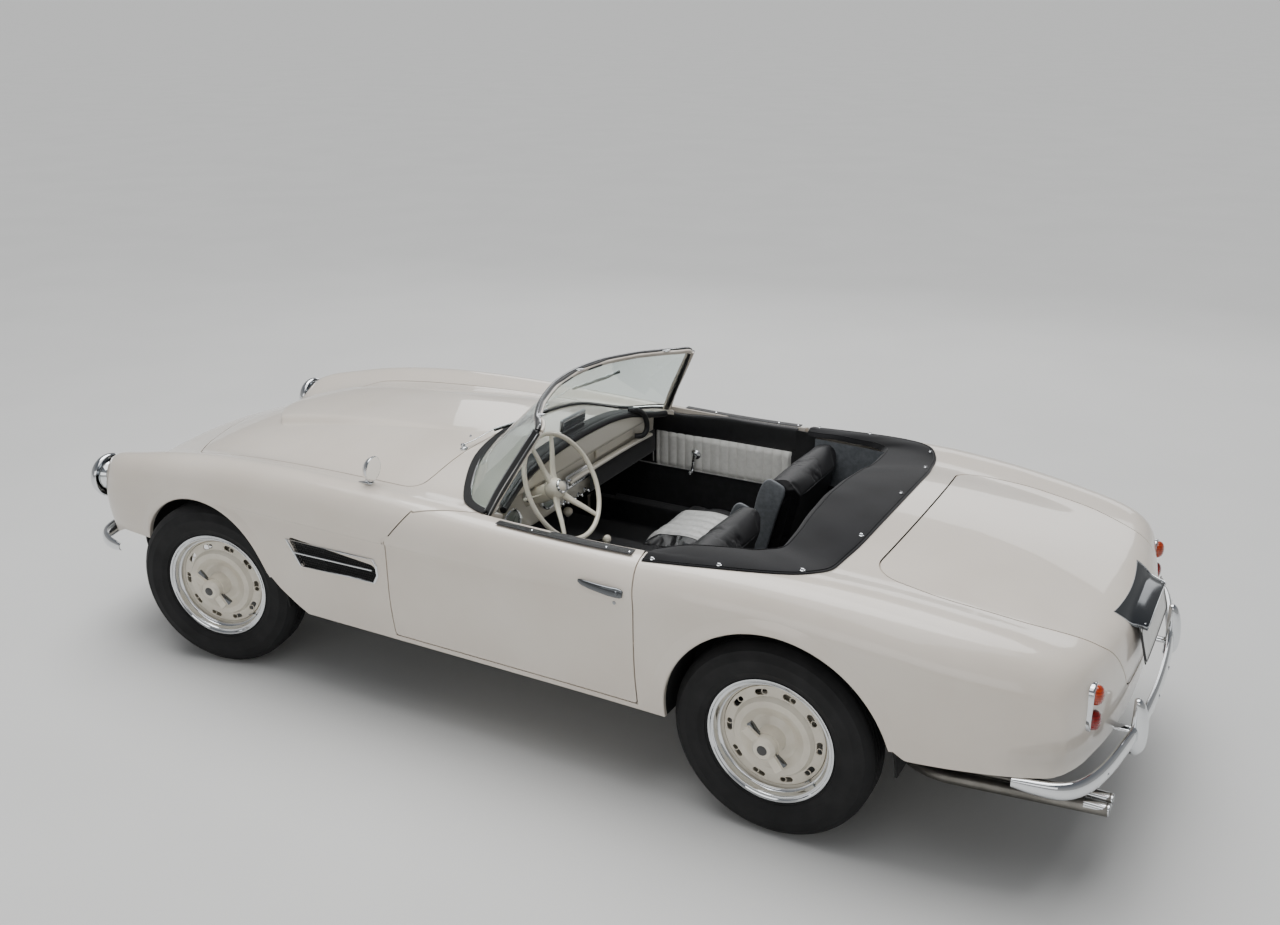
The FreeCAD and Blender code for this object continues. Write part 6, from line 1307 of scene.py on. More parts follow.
def surfaceOf(piece):
    return BVHTree.FromPolygons([vertex.co.copy() for vertex in piece.data.vertices],
                                [list(polygon.vertices) for polygon in piece.data.polygons])


def pressed(shell, start, way, lift):
    return castOn(shell, Vector(start), Vector(way).normalized(), Vector((0, 1, 0)), lift)


seat = {"cell": 0.0065, "smooth": 6, "drawnIn": 0.012, "pressure": 4.0, "frames": 20, "cap": 0.020,
        "pleats": 5, "pleatHeight": 0.011, "insert": (0.228, 0.480), "piping": 0.0035, "passenger": 1.07,
        "flat": 0.78, "topRun": (-0.50, -0.14), "backRun": (0.50, 0.80),
        "sideLine": [(-0.648, 0.150, 0.52), (-0.676, 0.147, 0.66), (-0.706, 0.146, 0.79),
        (-0.735, 0.150, 0.868)],
        "sideTaper": [(0, 0.75), (0.6, 1.0), (0.85, 1.0), (0.96, 0.82), (1, 0.62)],
        "seams": ((0.825, True), (0.800, False), (0.50, False)),
        "hinge": [(-0.560, 0.142, 0.430), (-0.585, 0.138, 0.500), (-0.625, 0.137, 0.555)],
        "hingePin": [(0.001, 0.010), (0.008, 0.009), (0.011, 0.005), (0.011, 0)],
        "latch": [(-0.600, 0.128, 0.560), (-0.560, 0.120, 0.600), (-0.525, 0.118, 0.612)]}

cushion = stuffed(coverOf("seat_cushions"), seat)
cushionShell = surfaceOf(cushion)
back = stuffed(coverOf("seat_backs"), {**seat, "cap": 0.018})
backShell = surfaceOf(back)
print("seats stuffed")


def cushionTop(u, v, lift):
    # u runs across the seat, v from its rear edge over the top and down its front.
    y = seat["insert"][0] + (seat["insert"][1] - seat["insert"][0]) * u
    flat, (rear, front) = seat["flat"], seat["topRun"]
    if v < flat:
        return pressed(cushionShell, (rear + (front - rear) * v / flat, y, 1.0), (0, 0, -1), lift)
    turn = math.radians(100 * (v - flat) / (1 - flat))
    way = Vector((math.sin(turn), 0, math.cos(turn)))
    return pressed(cushionShell, Vector((front, y, 0.445)) + way * 0.4, -way, lift)


def backFront(u, v, lift):
    y = seat["insert"][0] + (seat["insert"][1] - seat["insert"][0]) * u
    z = seat["backRun"][0] + (seat["backRun"][1] - seat["backRun"][0]) * v
    return pressed(backShell, (0.3, y, z + 0.2), (-1, 0, -0.22), lift)


def pleated(where, steps=(70, 36)):
    # Sewn channels: each swells between its seams, and the panel is tucked in at its border.
    def laid(u, v):
        swell = abs(math.sin(math.pi * u * seat["pleats"])) ** 0.6 * seat["pleatHeight"]
        edge = min(ease(min(u, 1 - u) / 0.02), ease(min(v, 1 - v) / 0.03))
        return where(u, v, -0.0015 + edge * (0.0025 + swell))
    piece = laidGrid(steps[0], steps[1], laid)
    openMesh(piece, everything=True)
    bpy.ops.mesh.normals_make_consistent(inside=False)
    closeMesh()
    return piece


def border(where):
    ring = [(i / 8, 0) for i in range(8)] + [(1, i / 14) for i in range(14)]
    ring += [(1 - i / 8, 1) for i in range(8)] + [(0, 1 - i / 14) for i in range(14)]
    return strand([where(u, v, 0.001) for u, v in ring], seat["piping"], closed=True, round=1, smooth=3)


def facesOut(piece, way):
    # A single skin's faces turned to the way given.
    total = sum((polygon.normal * polygon.area for polygon in piece.data.polygons), Vector())
    if total.dot(Vector(way)) < 0:
        openMesh(piece, everything=True)
        bpy.ops.mesh.flip_normals()
        closeMesh()
    return piece


def alongBack(z, y0, y1, fromFront, steps=10):
    places = []
    for i in range(steps + 1):
        y = y0 + (y1 - y0) * i / steps
        start, way = ((0.3, y, z), (-1, 0, 0)) if fromFront else ((-1.5, y, z), (1, 0, 0))
        places.append(pressed(backShell, start, way, 0.0005))
    return places


seatPieces = [("seatCushion", cushion, blackLeather, "black_leather"), ("seatBack", back, blackLeather,
    "black_leather")]
for name, where, way in (("seatCushionInsert", cushionTop, (0, 0, 1)), ("seatBackInsert", backFront,
        (1, 0, 0.2))):
    seatPieces.append((name, facesOut(pleated(where), way), silverLeather, "silver_leather"))
    seatPieces.append((name + "Piping", border(where), silverLeather, "silver_leather"))
    # Grey strands along the seams in each pleat valley: real seams, drawn dark as painted shade between the
    # pleats.
    threads = [strand([where(k / seat["pleats"], 0.02 + 0.96 * i / 12, 0.0006) for i in range(13)], 0.0019,
        round=1, smooth=3)
               for k in range(1, seat["pleats"])]
    seatPieces.append((name + "Threads", merged(threads), greyLeather, "silver_leather"))
seams = [strand(alongBack(z, 0.185, 0.570, front), 0.0028, round=1, smooth=3) for z, front in seat["seams"]]
seatPieces.append(("seatBackSeams", merged(seams), blackLeather, "black_leather"))
# Grey leather panel on the seat back's inner side: painted highlight on its black leather.
paintedHighlightSide = swept(seat["sideLine"], roundSection(0.100, 0.016, 0.007, 3), (0, -1, 0), 5, grow=seat["sideTaper"])
seatPieces.append(("seatBackSide", subdivided(paintedHighlightSide, 2), greyLeather, "silver_leather"))
hinge = merged([swept(seat["hinge"], roundSection(0.026, 0.006, 0.002), (0, -1, 0)),
                lathed(seat["hingePin"], 24, (-0.585, 0.137, 0.500), (0, -1, 0)),
                strand(seat["latch"], 0.0045, swell=[1, 1, 1.5])])
seatPieces.append(("seatHinge", hinge, chromePlate, "chrome"))
for name, piece, look, slot in seatPieces:
    other = acrossCar(piece)
    for vertex in other.data.vertices:
        vertex.co.y = -0.602 + (vertex.co.y + 0.602) * seat["passenger"]
    for sideName, made in (("Left", piece), ("Right", other)):
        done = finish(made, name + sideName, look, "body", 60)
        if sideName == "Left" and name in ("seatCushion", "seatBack"):
            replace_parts(done, {"seatCushion": "seat_cushions", "seatBack": "seat_backs"}[name])
print("seats made")

# Door linings: a black padded roll on top, pleated white panel, carpet below, winder, pull and pocket.
lining = {"face": 0.688, "top": 0.776, "middle": 0.612, "foot": 0.375, "front": 0.388, "rear": -0.583,
          "panel": (-0.560, 0.092), "pleatWide": 0.042, "roll": (0.112, 0.036), "strip": (0.030, 0.004),
          "snaps": (-0.570, -0.482, -0.186), "winder": (-0.112, 0.692), "pull": (0.186, 0.690),
          "winderPlate": [(0.001, 0.012), (0.010, 0.011), (0.013, 0.006), (0.022, 0.003), (0.024, 0)],
          "winderKnob": [(0.001, 0.028), (0.007, 0.026), (0.009, 0.018), (0.006, 0.006), (0.005, 0)],
          "pullPlate": [(0.001, 0.012), (0.009, 0.010), (0.012, 0.004), (0.018, 0.002), (0.019, 0)],
          "snap": [(0.0004, 0.0052), (0.003, 0.0046), (0.0048, 0.0022), (0.0068, 0.0012), (0.0070, 0)],
          "pocket": (0.100, 0.262, 0.622, 0.764),
          "pocketEdge": [(0.100, 0.626), (0.100, 0.748), (0.116, 0.764), (0.246, 0.764), (0.262, 0.748),
          (0.262, 0.626)]}


def doorTop(x):
    place = onTop(x, 0.724)
    return place.z if place else 0.88


def doorPanel(x0, x1, z0, z1, y, thick, swell=None, steps=(60, 10)):
    # A padded panel on the door's inner face, its border tucked in.
    def laid(u, v):
        edge = min(ease(min(u, 1 - u) * (x1 - x0) / 0.010), ease(min(v, 1 - v) * (z1 - z0) / 0.010))
        lift = edge * (thick + (swell(x0 + (x1 - x0) * u) if swell else 0))
        return Vector((x0 + (x1 - x0) * u, y - lift, z0 + (z1 - z0) * v))
    piece = laidGrid(*steps, laid)
    return facesOut(piece, (0, -1, 0))


def channel(x):
    return 0.009 * abs(math.sin(math.pi * (x - lining["panel"][0]) / lining["pleatWide"])) ** 0.6


stations = [lining["rear"] + (lining["front"] - lining["rear"]) * i / 9 for i in range(10)]
doorPieces = [
    ("doorRoll", swept([(x, 0.704, doorTop(x) - 0.052 - 0.022 * ease((x + 0.20) / 0.10)) for x in stations],
    roundSection(*lining["roll"], 0.017, 4), (0, -1, 0), 4),
     blackLeather, "black_leather"),
    ("doorTopStrip", swept([(x, 0.727, doorTop(x) + 0.0025) for x in stations[:6]],
    roundSection(*lining["strip"], 0.0018), (0, 0, 1), 4),
     blackLeather, "black_leather"),
    ("doorBase", doorPanel(lining["rear"], lining["front"], lining["foot"], lining["top"] + 0.02,
    lining["face"] + 0.004, 0.005),
     blackLeather, "black_leather"),
    ("doorPleats", doorPanel(*lining["panel"], lining["middle"], lining["top"], lining["face"], 0.004,
    channel, (220, 12)),
     whiteLeather, "silver_leather"),
    ("doorCarpet", doorPanel(lining["rear"] + 0.006, lining["front"] - 0.006, lining["foot"] + 0.004,
    lining["middle"] - 0.003,
                             lining["face"], 0.005), woolCarpet, "cabin_carpet"),
    ("doorPocket", doorPanel(*lining["pocket"], lining["face"], 0.010), blackLeather, "black_leather"),
]
middle = lining["middle"]
beads = [strand([(lining["rear"] + 0.004, 0.684, middle), (-0.1, 0.6825, middle),
    (lining["front"] - 0.004, 0.684, middle)],
                0.0028, round=1)]
beads.append(strand([(x, 0.677, z) for x, z in lining["pocketEdge"]], 0.0026, round=1))
doorPieces.append(("doorPiping", merged(beads), silverLeather, "silver_leather"))
winderX, winderZ = lining["winder"]
winder = merged([
    lathed(lining["winderPlate"], 36, (winderX, 0.678, winderZ), (0, -1, 0)),
    swept([(winderX, 0.664, winderZ), (winderX + 0.004, 0.656, winderZ - 0.040),
    (winderX + 0.009, 0.660, winderZ - 0.078)],
          roundSection(0.013, 0.006, 0.003), (0, -1, 0), grow=[(0, 1.25), (0.5, 0.85), (1, 1.0)]),
    lathed(lining["winderKnob"], 24, (winderX + 0.009, 0.660, winderZ - 0.078), (0, -1, 0))])
doorPieces.append(("doorWinder", winder, chromePlate, "chrome"))
pullX, pullZ = lining["pull"]
pull = merged([
    lathed(lining["pullPlate"], 32, (pullX, 0.676, pullZ), (0, -1, 0)),
    swept([(pullX, 0.663, pullZ), (pullX - 0.030, 0.658, pullZ - 0.004), (pullX - 0.072, 0.662,
    pullZ - 0.010)],
          roundSection(0.014, 0.007, 0.003), (0, -1, 0), grow=[(0, 1.1), (0.5, 0.8), (1, 0.7)])])
doorPieces.append(("doorPull", pull, chromePlate, "chrome"))
snaps = [lathed(lining["snap"], 20, (x, 0.727, doorTop(x) + 0.002), (0, 0, 1)) for x in lining["snaps"]]
doorPieces.append(("doorSnaps", merged(snaps), chromePlate, "chrome"))
for name, piece, look, slot in doorPieces:
    other = acrossCar(piece)
    for sideName, made in (("Left", piece), ("Right", other)):
        if name not in ("doorWinder", "doorPull", "doorSnaps", "doorRoll", "doorTopStrip", "doorPiping"):
            facesOut(made, (0, -1 if sideName == "Left" else 1, 0))
        done = finish(made, name + sideName, look, f"door_{sideName.lower()}", 50)
        if name == "doorBase":
            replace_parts(done, f"door_trim_{sideName.lower()}")
print("door linings made")

# Dashboard: black padded roll and cowl pad, dials with cards, needles and glasses, radio, switches, glovebox.
dash = {"face": 0.068, "edge": [(0.00, 0.054, 0.982), (0.20, 0.054, 0.975), (0.35, 0.054, 0.954),
    (0.45, 0.054, 0.927), (0.55, 0.038, 0.894),
                                (0.62, 0.018, 0.884)],
        "dials": [("speed", 0.239, 0.795, 0.054), ("engine", 0.495, 0.770, 0.054),
        ("clock", 0.367, 0.845, 0.030)],
        "switches": [(0.150, 0.722), (0.112, 0.716), (0.060, 0.712), (0.010, 0.712), (-0.040, 0.716)],
        "radio": (0.020, 0.795), "glove": (-0.130, -0.440, 0.822, 0.922), "lip": 0.806,
        "needles": {"speed": 2.3, "engine": 2.4, "clock": 0.6},
        "knob": [(0.0004, 0.024), (0.006, 0.023), (0.0085, 0.019), (0.0085, 0.015), (0.004, 0.012),
        (0.004, 0.004), (0.010, 0.003),
                 (0.011, 0)],
        "radioKnob": [(0.0004, 0.022), (0.009, 0.021), (0.012, 0.017), (0.012, 0.006), (0.014, 0.004),
        (0.014, 0)],
        # (x, y, height over the lip)
        "lipLine": [(0.058, 0.100, -0.012), (0.050, 0.060, 0), (0.048, -0.100, 0.002), (0.048, -0.300, 0.002),
        (0.050, -0.450, -0.002),
                    (0.055, -0.560, -0.010)],
        "grab": [(0.052, -0.372, 0.962), (0.026, -0.376, 0.964), (0.022, -0.405, 0.955),
        (0.020, -0.446, 0.928), (0.020, -0.470, 0.890),
                 (0.020, -0.474, 0.856), (0.022, -0.462, 0.836), (0.030, -0.440, 0.828),
                 (0.056, -0.430, 0.828)]}
edgeLine = [(x - 0.010, -y, z - 0.003) for y, x, z in reversed(dash["edge"][1:])] + [(x - 0.010, y,
    z - 0.003) for y, x, z in dash["edge"]]
finish(strand(edgeLine, 0.0135, round=3, smooth=8), "dashRoll", blackLeather, "body", 60)


def cowlPad(u, v):
    y = -0.600 + 1.200 * u
    x = between([(y0, x0) for y0, x0, z0 in dash["edge"]], abs(y)) - 0.002 + 0.060 * v
    place = onTop(x, y, 0)
    low = between([(y0, z0) for y0, x0, z0 in dash["edge"]], abs(y))
    z = place.z if place and place.z > low - 0.02 else low
    return Vector((x, y, z + 0.001 + 0.006 * ease(min(v, 1 - v) / 0.2)))


finish(facesOut(laidGrid(60, 8, cowlPad), (0, 0, 1)), "cowlPad", blackLeather, "body", 60)

for name, y, z, radius in dash["dials"]:
    face = makeDialFace(f"dialCard{name.title()}", "#CFCFC8", "#26282A", (dash["face"] - 0.001, y, z), radius)
    card = lathed([(0.0005, 0.0012), (radius * 0.97, 0.0012), (radius, 0)], 48, (dash["face"], y, z),
        (-1, 0, 0))
    finish(card, f"dialFace{name.title()}", face, "body")
    bezel = spun([(radius - 0.004, 0.002), (radius - 0.003, 0.011), (radius + 0.001, 0.013),
        (radius + 0.005, 0.009), (radius + 0.006, 0.0),
                  (radius - 0.004, 0.0)], 56)
    closeSeams(bezel)
    finish(pointed(bezel, (dash["face"] + 0.001, y, z), (-1, 0, 0)), f"dialBezel{name.title()}", chromePlate,
        "body", 30)
    turn = dash["needles"][name]
    tip = Vector((0, math.cos(turn), math.sin(turn)))
    foot = Vector((dash["face"] - 0.005, y, z))
    needle = merged([strand([foot - tip * radius * 0.18, foot, foot + tip * radius * 0.75], 0.0014,
        swell=[1.2, 1.2, 0.35], round=1),
                     lathed([(0.0004, 0.003), (0.005, 0.002), (0.006, 0)], 20, foot, (-1, 0, 0))])
    finish(needle, f"dialNeedle{name.title()}", blackBakelite, "body")
    glass = spun([(0.0004, 0.003), (radius * 0.5, 0.0024), (radius * 0.85, 0.001), (radius - 0.003, 0.0)], 40)
    finish(facesOut(pointed(glass, (dash["face"] - 0.0085, y, z), (-1, 0, 0)), (-1, 0, 0)),
        f"dialGlass{name.title()}", screenGlass, "body")

knobs = []
for y, z in dash["switches"]:
    knobs.append(lathed(dash["knob"], 24, (0.074, y, z), (-1, 0, 0)))
finish(merged(knobs), "dashSwitches", chromePlate, "body", 40)

radioY, radioZ = dash["radio"]
radio = block((0.012, 0.180, 0.058), (dash["face"] - 0.001, radioY, radioZ), 0.005, 3)
openMesh(radio)
chooseFaces(radio, lambda face: face.normal.x < -0.9 and face.calc_area() > 0.004)
bpy.ops.mesh.inset(thickness=0.006, depth=0)
bpy.ops.mesh.inset(thickness=0.001, depth=-0.003)
closeMesh()
radioBits = [radio]
for y in (-0.070, 0.070):
    radioBits.append(lathed(dash["radioKnob"], 28, (dash["face"] - 0.005, radioY + y, radioZ), (-1, 0, 0)))
for i in range(5):
    radioBits.append(block((0.010, 0.013, 0.009), (dash["face"] - 0.008, radioY - 0.032 + 0.016 * i,
        radioZ - 0.014), 0.002))
finish(merged(radioBits), "radioFace", chromePlate, "body", 35)
scale = block((0.003, 0.088, 0.020), (dash["face"] - 0.0055, radioY, radioZ + 0.010), 0.001)
finish(scale, "radioScale", makeDialFace("radioScaleCard", "#20241F", "#C9C8BC",
    (0.06, radioY, radioZ - 0.04), 0.07), "body")

gloveY0, gloveY1, gloveZ0, gloveZ1 = dash["glove"]
lid = block((0.010, gloveY0 - gloveY1, gloveZ1 - gloveZ0), (dash["face"] + 0.003, (gloveY0 + gloveY1) / 2,
    (gloveZ0 + gloveZ1) / 2), 0.004, 3)
openMesh(lid)
chooseFaces(lid, lambda face: face.normal.x < -0.9 and face.calc_area() > 0.01)
bpy.ops.mesh.inset(thickness=0.012, depth=0)
bpy.ops.mesh.inset(thickness=0.004, depth=-0.002)
closeMesh()
finish(lid, "gloveLid", dashEnamel, "body", 30)
finish(rounded(block((0.012, 0.020, 0.020), (dash["face"] - 0.006, (gloveY0 + gloveY1) / 2, 0.882), 0.004, 3),
    0.001), "glovePull", chromePlate, "body", 35)
lipLine = [(x, y, dash["lip"] + z) for x, y, z in dash["lipLine"]]
finish(swept(lipLine, roundSection(0.030, 0.014, 0.006, 3), (0, 0, 1), 6), "dashLip", dashEnamel, "body",
    40)


# A black carpet panel over the lower dash face below the lip: painted shade under the lip.
def underLipShadePanel(u, v):
    y = -0.625 + 0.560 * u
    z = 0.684 + (dash["lip"] - 0.690) * v
    return Vector((0.086 - 0.020 * ease(v / 0.15) - 0.004 * ease((1 - v) / 0.2), y, z))


finish(facesOut(laidGrid(30, 14, underLipShadePanel), (-1, 0, 0)), "underLipShadePanel", woolCarpet, "body", 60)
grab = strand(dash["grab"], 0.0115, round=3, smooth=8)
finish(grab, "grabHandle", blackLeather, "body", 60)
print("dashboard made")

# Steering wheel: thin ivory rim, four tapered spokes, broad hub cone, horn button in a chrome ring.
helm = {"centre": (-0.080, 0.360, 0.900), "way": (-0.882948, 0, 0.469472), "radius": 0.205, "rim": 0.0092,
        "spokes": (20, -20, 145, -145),
        "hub": [(0.0004, -0.006), (0.024, -0.008), (0.033, -0.014), (0.040, -0.026), (0.042, -0.044),
        (0.036, -0.060),
                (0.030, -0.066), (0.0004, -0.066)],
        "ring": [(0.020, -0.006), (0.021, 0.000), (0.024, 0.001), (0.0265, -0.003), (0.0265, -0.009),
        (0.020, -0.009)],
        "horn": [(0.0004, 0.003), (0.010, 0.0022), (0.017, 0.000), (0.0205, -0.004)],
        "shroud": [(0.031, 0.0), (0.033, -0.010), (0.033, -0.060), (0.030, -0.085), (0.024, -0.100)],
        "arm": [(0.028, -0.036), (0.075, -0.030), (0.140, -0.013), (0.206, 0)],
        "armTaper": [(0, 1.25), (0.35, 0.95), (1, 0.62)],
        "stalk": [(0.022, 0.025, -0.010), (0.010, 0.090, 0.006), (0.000, 0.150, 0.020)],
        "stalkKnob": [(0.0004, 0.026), (0.006, 0.024), (0.0075, 0.016), (0.005, 0.002), (0.003, 0)]}
rim = strand([(helm["radius"] * math.cos(math.tau * i / 24), helm["radius"] * math.sin(math.tau * i / 24),
    0) for i in range(24)],
             helm["rim"] / 0.985, closed=True, round=4, smooth=6)
hub = spun(helm["hub"], 48)
arms = []
for degrees in helm["spokes"]:
    way = Vector((math.sin(math.radians(degrees)), math.cos(math.radians(degrees)), 0))
    line = [way * reach + Vector((0, 0, height)) for reach, height in helm["arm"]]
    arms.append(swept(line, roundSection(0.027, 0.014, 0.0065, 3), (0, 0, 1), 6, grow=helm["armTaper"]))
rim = pointed(merged([rim, hub] + arms), helm["centre"], helm["way"])
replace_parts(finish(rim, "steeringRim", ivoryCelluloid, "steering", 40), "steering_wheel")
ring = spun(helm["ring"], 40)
finish(pointed(ring, helm["centre"], helm["way"]), "hornRing", chromePlate, "steering", 30)
horn = spun(helm["horn"], 36)
finish(facesOut(pointed(horn, helm["centre"], helm["way"]), helm["way"]), "hornButton", ivoryCelluloid,
    "steering", 40)
column = Vector(helm["centre"]) - Vector(helm["way"]) * 0.062
shroud = spun(helm["shroud"], 40)
thickened(shroud, 0.002)
finish(pointed(shroud, column, helm["way"]), "columnShroud", ivoryCelluloid, "body", 40)
stalkLine = [column + Vector(place) for place in helm["stalk"]]
stalk = merged([strand(stalkLine, 0.0036), lathed(helm["stalkKnob"], 20, stalkLine[-1], (-0.05, 0.95, 0.2))])
finish(stalk, "signalStalk", ivoryCelluloid, "body", 40)
print("steering wheel made")

# Levers and pedals.
gear = {"foot": (0.160, 0.0, 0.482), "top": (0.123, 0.020, 0.612), "brakeFoot": (0.090, 0.085, 0.485),
    "brakeTop": (-0.105, 0.116, 0.590),
        "brakeRun": [(0.040, 0.092, 0.520), (-0.040, 0.105, 0.562)], "pedalPlace": (0.566, 0.430),
        "pedalArm": [(0.574, 0.430), (0.600, 0.500), (0.640, 0.600)],
        "knob": [(0.0004, 0.040), (0.010, 0.0385), (0.018, 0.033), (0.0205, 0.024), (0.018, 0.014),
        (0.010, 0.006), (0.007, 0.0), (0.0004, 0)],
        "boot": [(0.040, 0.0), (0.042, 0.004), (0.034, 0.010), (0.036, 0.016), (0.028, 0.022), (0.030, 0.028),
        (0.020, 0.036),
                 (0.012, 0.048), (0.007, 0.052)],
        # each pedal: its name, y and height of its pad
        "pedals": (("Throttle", 0.198, 0.090), ("Brake", 0.285, 0.052), ("Clutch", 0.433, 0.052))}
lever = strand([gear["foot"], (0.148, 0.006, 0.550), gear["top"]], 0.0058, swell=[1.3, 1.0, 0.8])
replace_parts(finish(lever, "gearLever", chromePlate, "body"), "controls")
knob = spun(gear["knob"], 36)
knobTwo = copied(knob)
finish(pointed(knob, gear["top"], (-0.25, 0.1, 1)), "gearKnob", ivoryCelluloid, "body", 50)
boot = spun(gear["boot"], 40)
finish(facesOut(pointed(boot, gear["foot"], (-0.2, 0, 1)), (0, 0, 1)), "gearBoot", sealRubber, "body",
    60)
brake = strand([gear["brakeFoot"], *gear["brakeRun"], gear["brakeTop"]], 0.0075, swell=[1.2, 1.0, 1.0, 0.9])
finish(brake, "handBrake", chromePlate, "body")
knobTwo.scale = (0.85, 0.85, 0.85)
settle(knobTwo)
finish(pointed(knobTwo, gear["brakeTop"], (-0.9, 0.1, 0.45)), "handBrakeKnob", ivoryCelluloid, "body",
    50)
for name, y, tall in gear["pedals"]:
    padX, padZ = gear["pedalPlace"]
    pad = block((0.012, 0.050, tall), (padX, y, padZ), 0.004, 2)
    openMesh(pad)
    chooseFaces(pad, lambda face: face.normal.x < -0.9 and face.calc_area() > 0.001)
    bpy.ops.mesh.subdivide(number_cuts=5)

    def ribbed(face):
        row = round((face.calc_center_median().z - 0.3) / (tall / 6))
        return face.normal.x < -0.9 and row % 2 == 0 and face.calc_area() < 0.0006

    chooseFaces(pad, ribbed)
    bpy.ops.mesh.extrude_region_shrink_fatten(TRANSFORM_OT_shrink_fatten={"value": 0.0025})
    closeMesh()
    finish(pad, f"pedalPad{name}", sealRubber, "body", 35)
    arm = swept([(x, y, z) for x, z in gear["pedalArm"]], roundSection(0.016, 0.008, 0.003), (-1, 0, 0.4))
    finish(arm, f"pedalArm{name}", satinSteel, "body", 40)
print("levers and pedals made")

# Carpets and linings over the sills, footwell sides and the sides of the well behind the seats.
lined = {"sill": [(0.580, 0.3325), (0.603, 0.3330), (0.6070, 0.337), (0.6065, 0.395), (0.6065, 0.418),
    (0.611, 0.4275), (0.622, 0.4295),
                  (0.655, 0.4295), (0.690, 0.4295)], "sillRun": (-0.615, 0.395),
         "kick": (0.285, 0.715, 0.334, 0.850), "kickOut": (0.652, 0.632), "kickFoot": 0.068,
         "well": (-0.700, -1.200), "wellOut": [(0, 0.590), (0.5, 0.570), (1, 0.540)]}


def sillCover(side):
    rows = lined["sill"]
    back, front = lined["sillRun"]
    def laid(u, v):
        y, z = rows[round(v * (len(rows) - 1))]
        return Vector((back + (front - back) * u, side * y, z + 0.0015))
    return facesOut(laidGrid(24, len(rows) - 1, laid), (0, -side, 1))


def kickPanel(side):
    x0, x1, z0, z1 = lined["kick"]
    wide, narrow = lined["kickOut"]
    def laid(u, v):
        y = wide - (wide - narrow) * ease((u - 0.5) / 0.5) - lined["kickFoot"] * (1 - ease(v / 0.10))
        return Vector((x0 + (x1 - x0) * u, side * y, z0 + (z1 - z0) * v))
    return facesOut(laidGrid(16, 24, laid), (0, -side, 0))


def wellSide(side, z0, z1, lift):
    front, back = lined["well"]
    def laid(u, v):
        y = between(lined["wellOut"], u) - lift
        return Vector((front + (back - front) * u, side * y, z0 + (z1 - z0) * v))
    return facesOut(laidGrid(20, 10, laid), (0, -side, 0))


for sideName, side in sides.items():
    finish(sillCover(side), f"sillCarpet{sideName.title()}", woolCarpet, "body", 60)
    finish(kickPanel(side), f"kickPanel{sideName.title()}", woolCarpet, "body", 60)
    finish(wellSide(side, 0.562, 0.890, 0.0), f"wellSide{sideName.title()}", greyLeather, "body",
        60)
    finish(wellSide(side, 0.562, 0.700, 0.006), f"wellSideLow{sideName.title()}", woolCarpet, "body",
        60)
print("cabin made")

# Top cover: black cloth stretched over the well's edge on press studs, with a slack free inner edge.
topCover = {"outer": [(0.750, -0.628), (0.733, -0.831), (0.706, -1.028), (0.665, -1.150), (0.580, -1.205),
    (0.480, -1.222),
                      (0.358, -1.243), (0.180, -1.254), (0.0, -1.257)],
            "inner": [(0.648, -0.634, 0.878), (0.575, -0.735, 0.886), (0.535, -0.850, 0.886),
            (0.505, -0.935, 0.884), (0.455, -0.985, 0.886),
                      (0.360, -0.996, 0.899), (0.240, -0.990, 0.915), (0.120, -0.985, 0.925),
                      (0.0, -0.985, 0.929)],
            "crown": 0.010, "thick": 0.0028, "across": 96, "deep": 14, "fold": 0.0035,
            "eyelet": [(0.0004, 0.0030), (0.0050, 0.0028), (0.0062, 0.0016), (0.0110, 0.0012), (0.0118, 0)],
            "rightInner": [(0.672, -0.634, 0.878), (0.655, -0.735, 0.884), (0.648, -0.850, 0.886),
            (0.636, -0.935, 0.886), (0.590, -0.985, 0.884)],
            "studs": [(-0.650, 0.736), (-0.898, 0.706), (-1.150, 0.640), (-1.222, 0.323), (-1.238, -0.069),
            (-1.213, -0.445), (-1.178, -0.600),
                      (-0.899, -0.713), (-0.650, -0.722)]}


def bothSides(places):
    # From the right-hand front corner round the back to the left one.
    turned = [Vector((place[1], -place[0], place[2] if len(place) > 2 else 0)) for place in places]
    return turned + [Vector((place.x, -place.y, place.z)) for place in reversed(turned[:-1])]


outerLine = smoothLine(bothSides(topCover["outer"]), 6)
inner = bothSides(topCover["inner"])
for i, (y, x, z) in enumerate(topCover["rightInner"]):
    inner[i] = Vector((x, -y, z))
innerLine = smoothLine(inner, 6)
for place in outerLine:
    skin = onTop(place.x, place.y)
    place.z = (skin.z if skin else 0.88) + 0.0035


def coverPlace(u, v):
    # u runs round the well, v from the outer edge to the free inner one.
    step = u * (len(outerLine) - 1)
    low = min(int(step), len(outerLine) - 2)
    outer = outerLine[low].lerp(outerLine[low + 1], step - low)
    inner = innerLine[low].lerp(innerLine[low + 1], step - low)
    place = outer.lerp(inner, v)
    skin = onTop(place.x, place.y)
    rise = topCover["crown"] * math.sin(math.pi * v) ** 0.7 if 0 < v < 1 else 0
    folds = math.sin(u * 71 + v * 2.4) * 0.5 + math.sin(u * 43 + 1.3 - v * 3.1) * 0.5
    place.z += rise + topCover["fold"] * folds * v * (1 - 0.4 * v)
    if skin and skin.z > 0.84:
        place.z = max(place.z, skin.z + 0.0035)
    if v > 0.93:
        place.z -= 0.012 * ((v - 0.93) / 0.07) ** 2
    return place


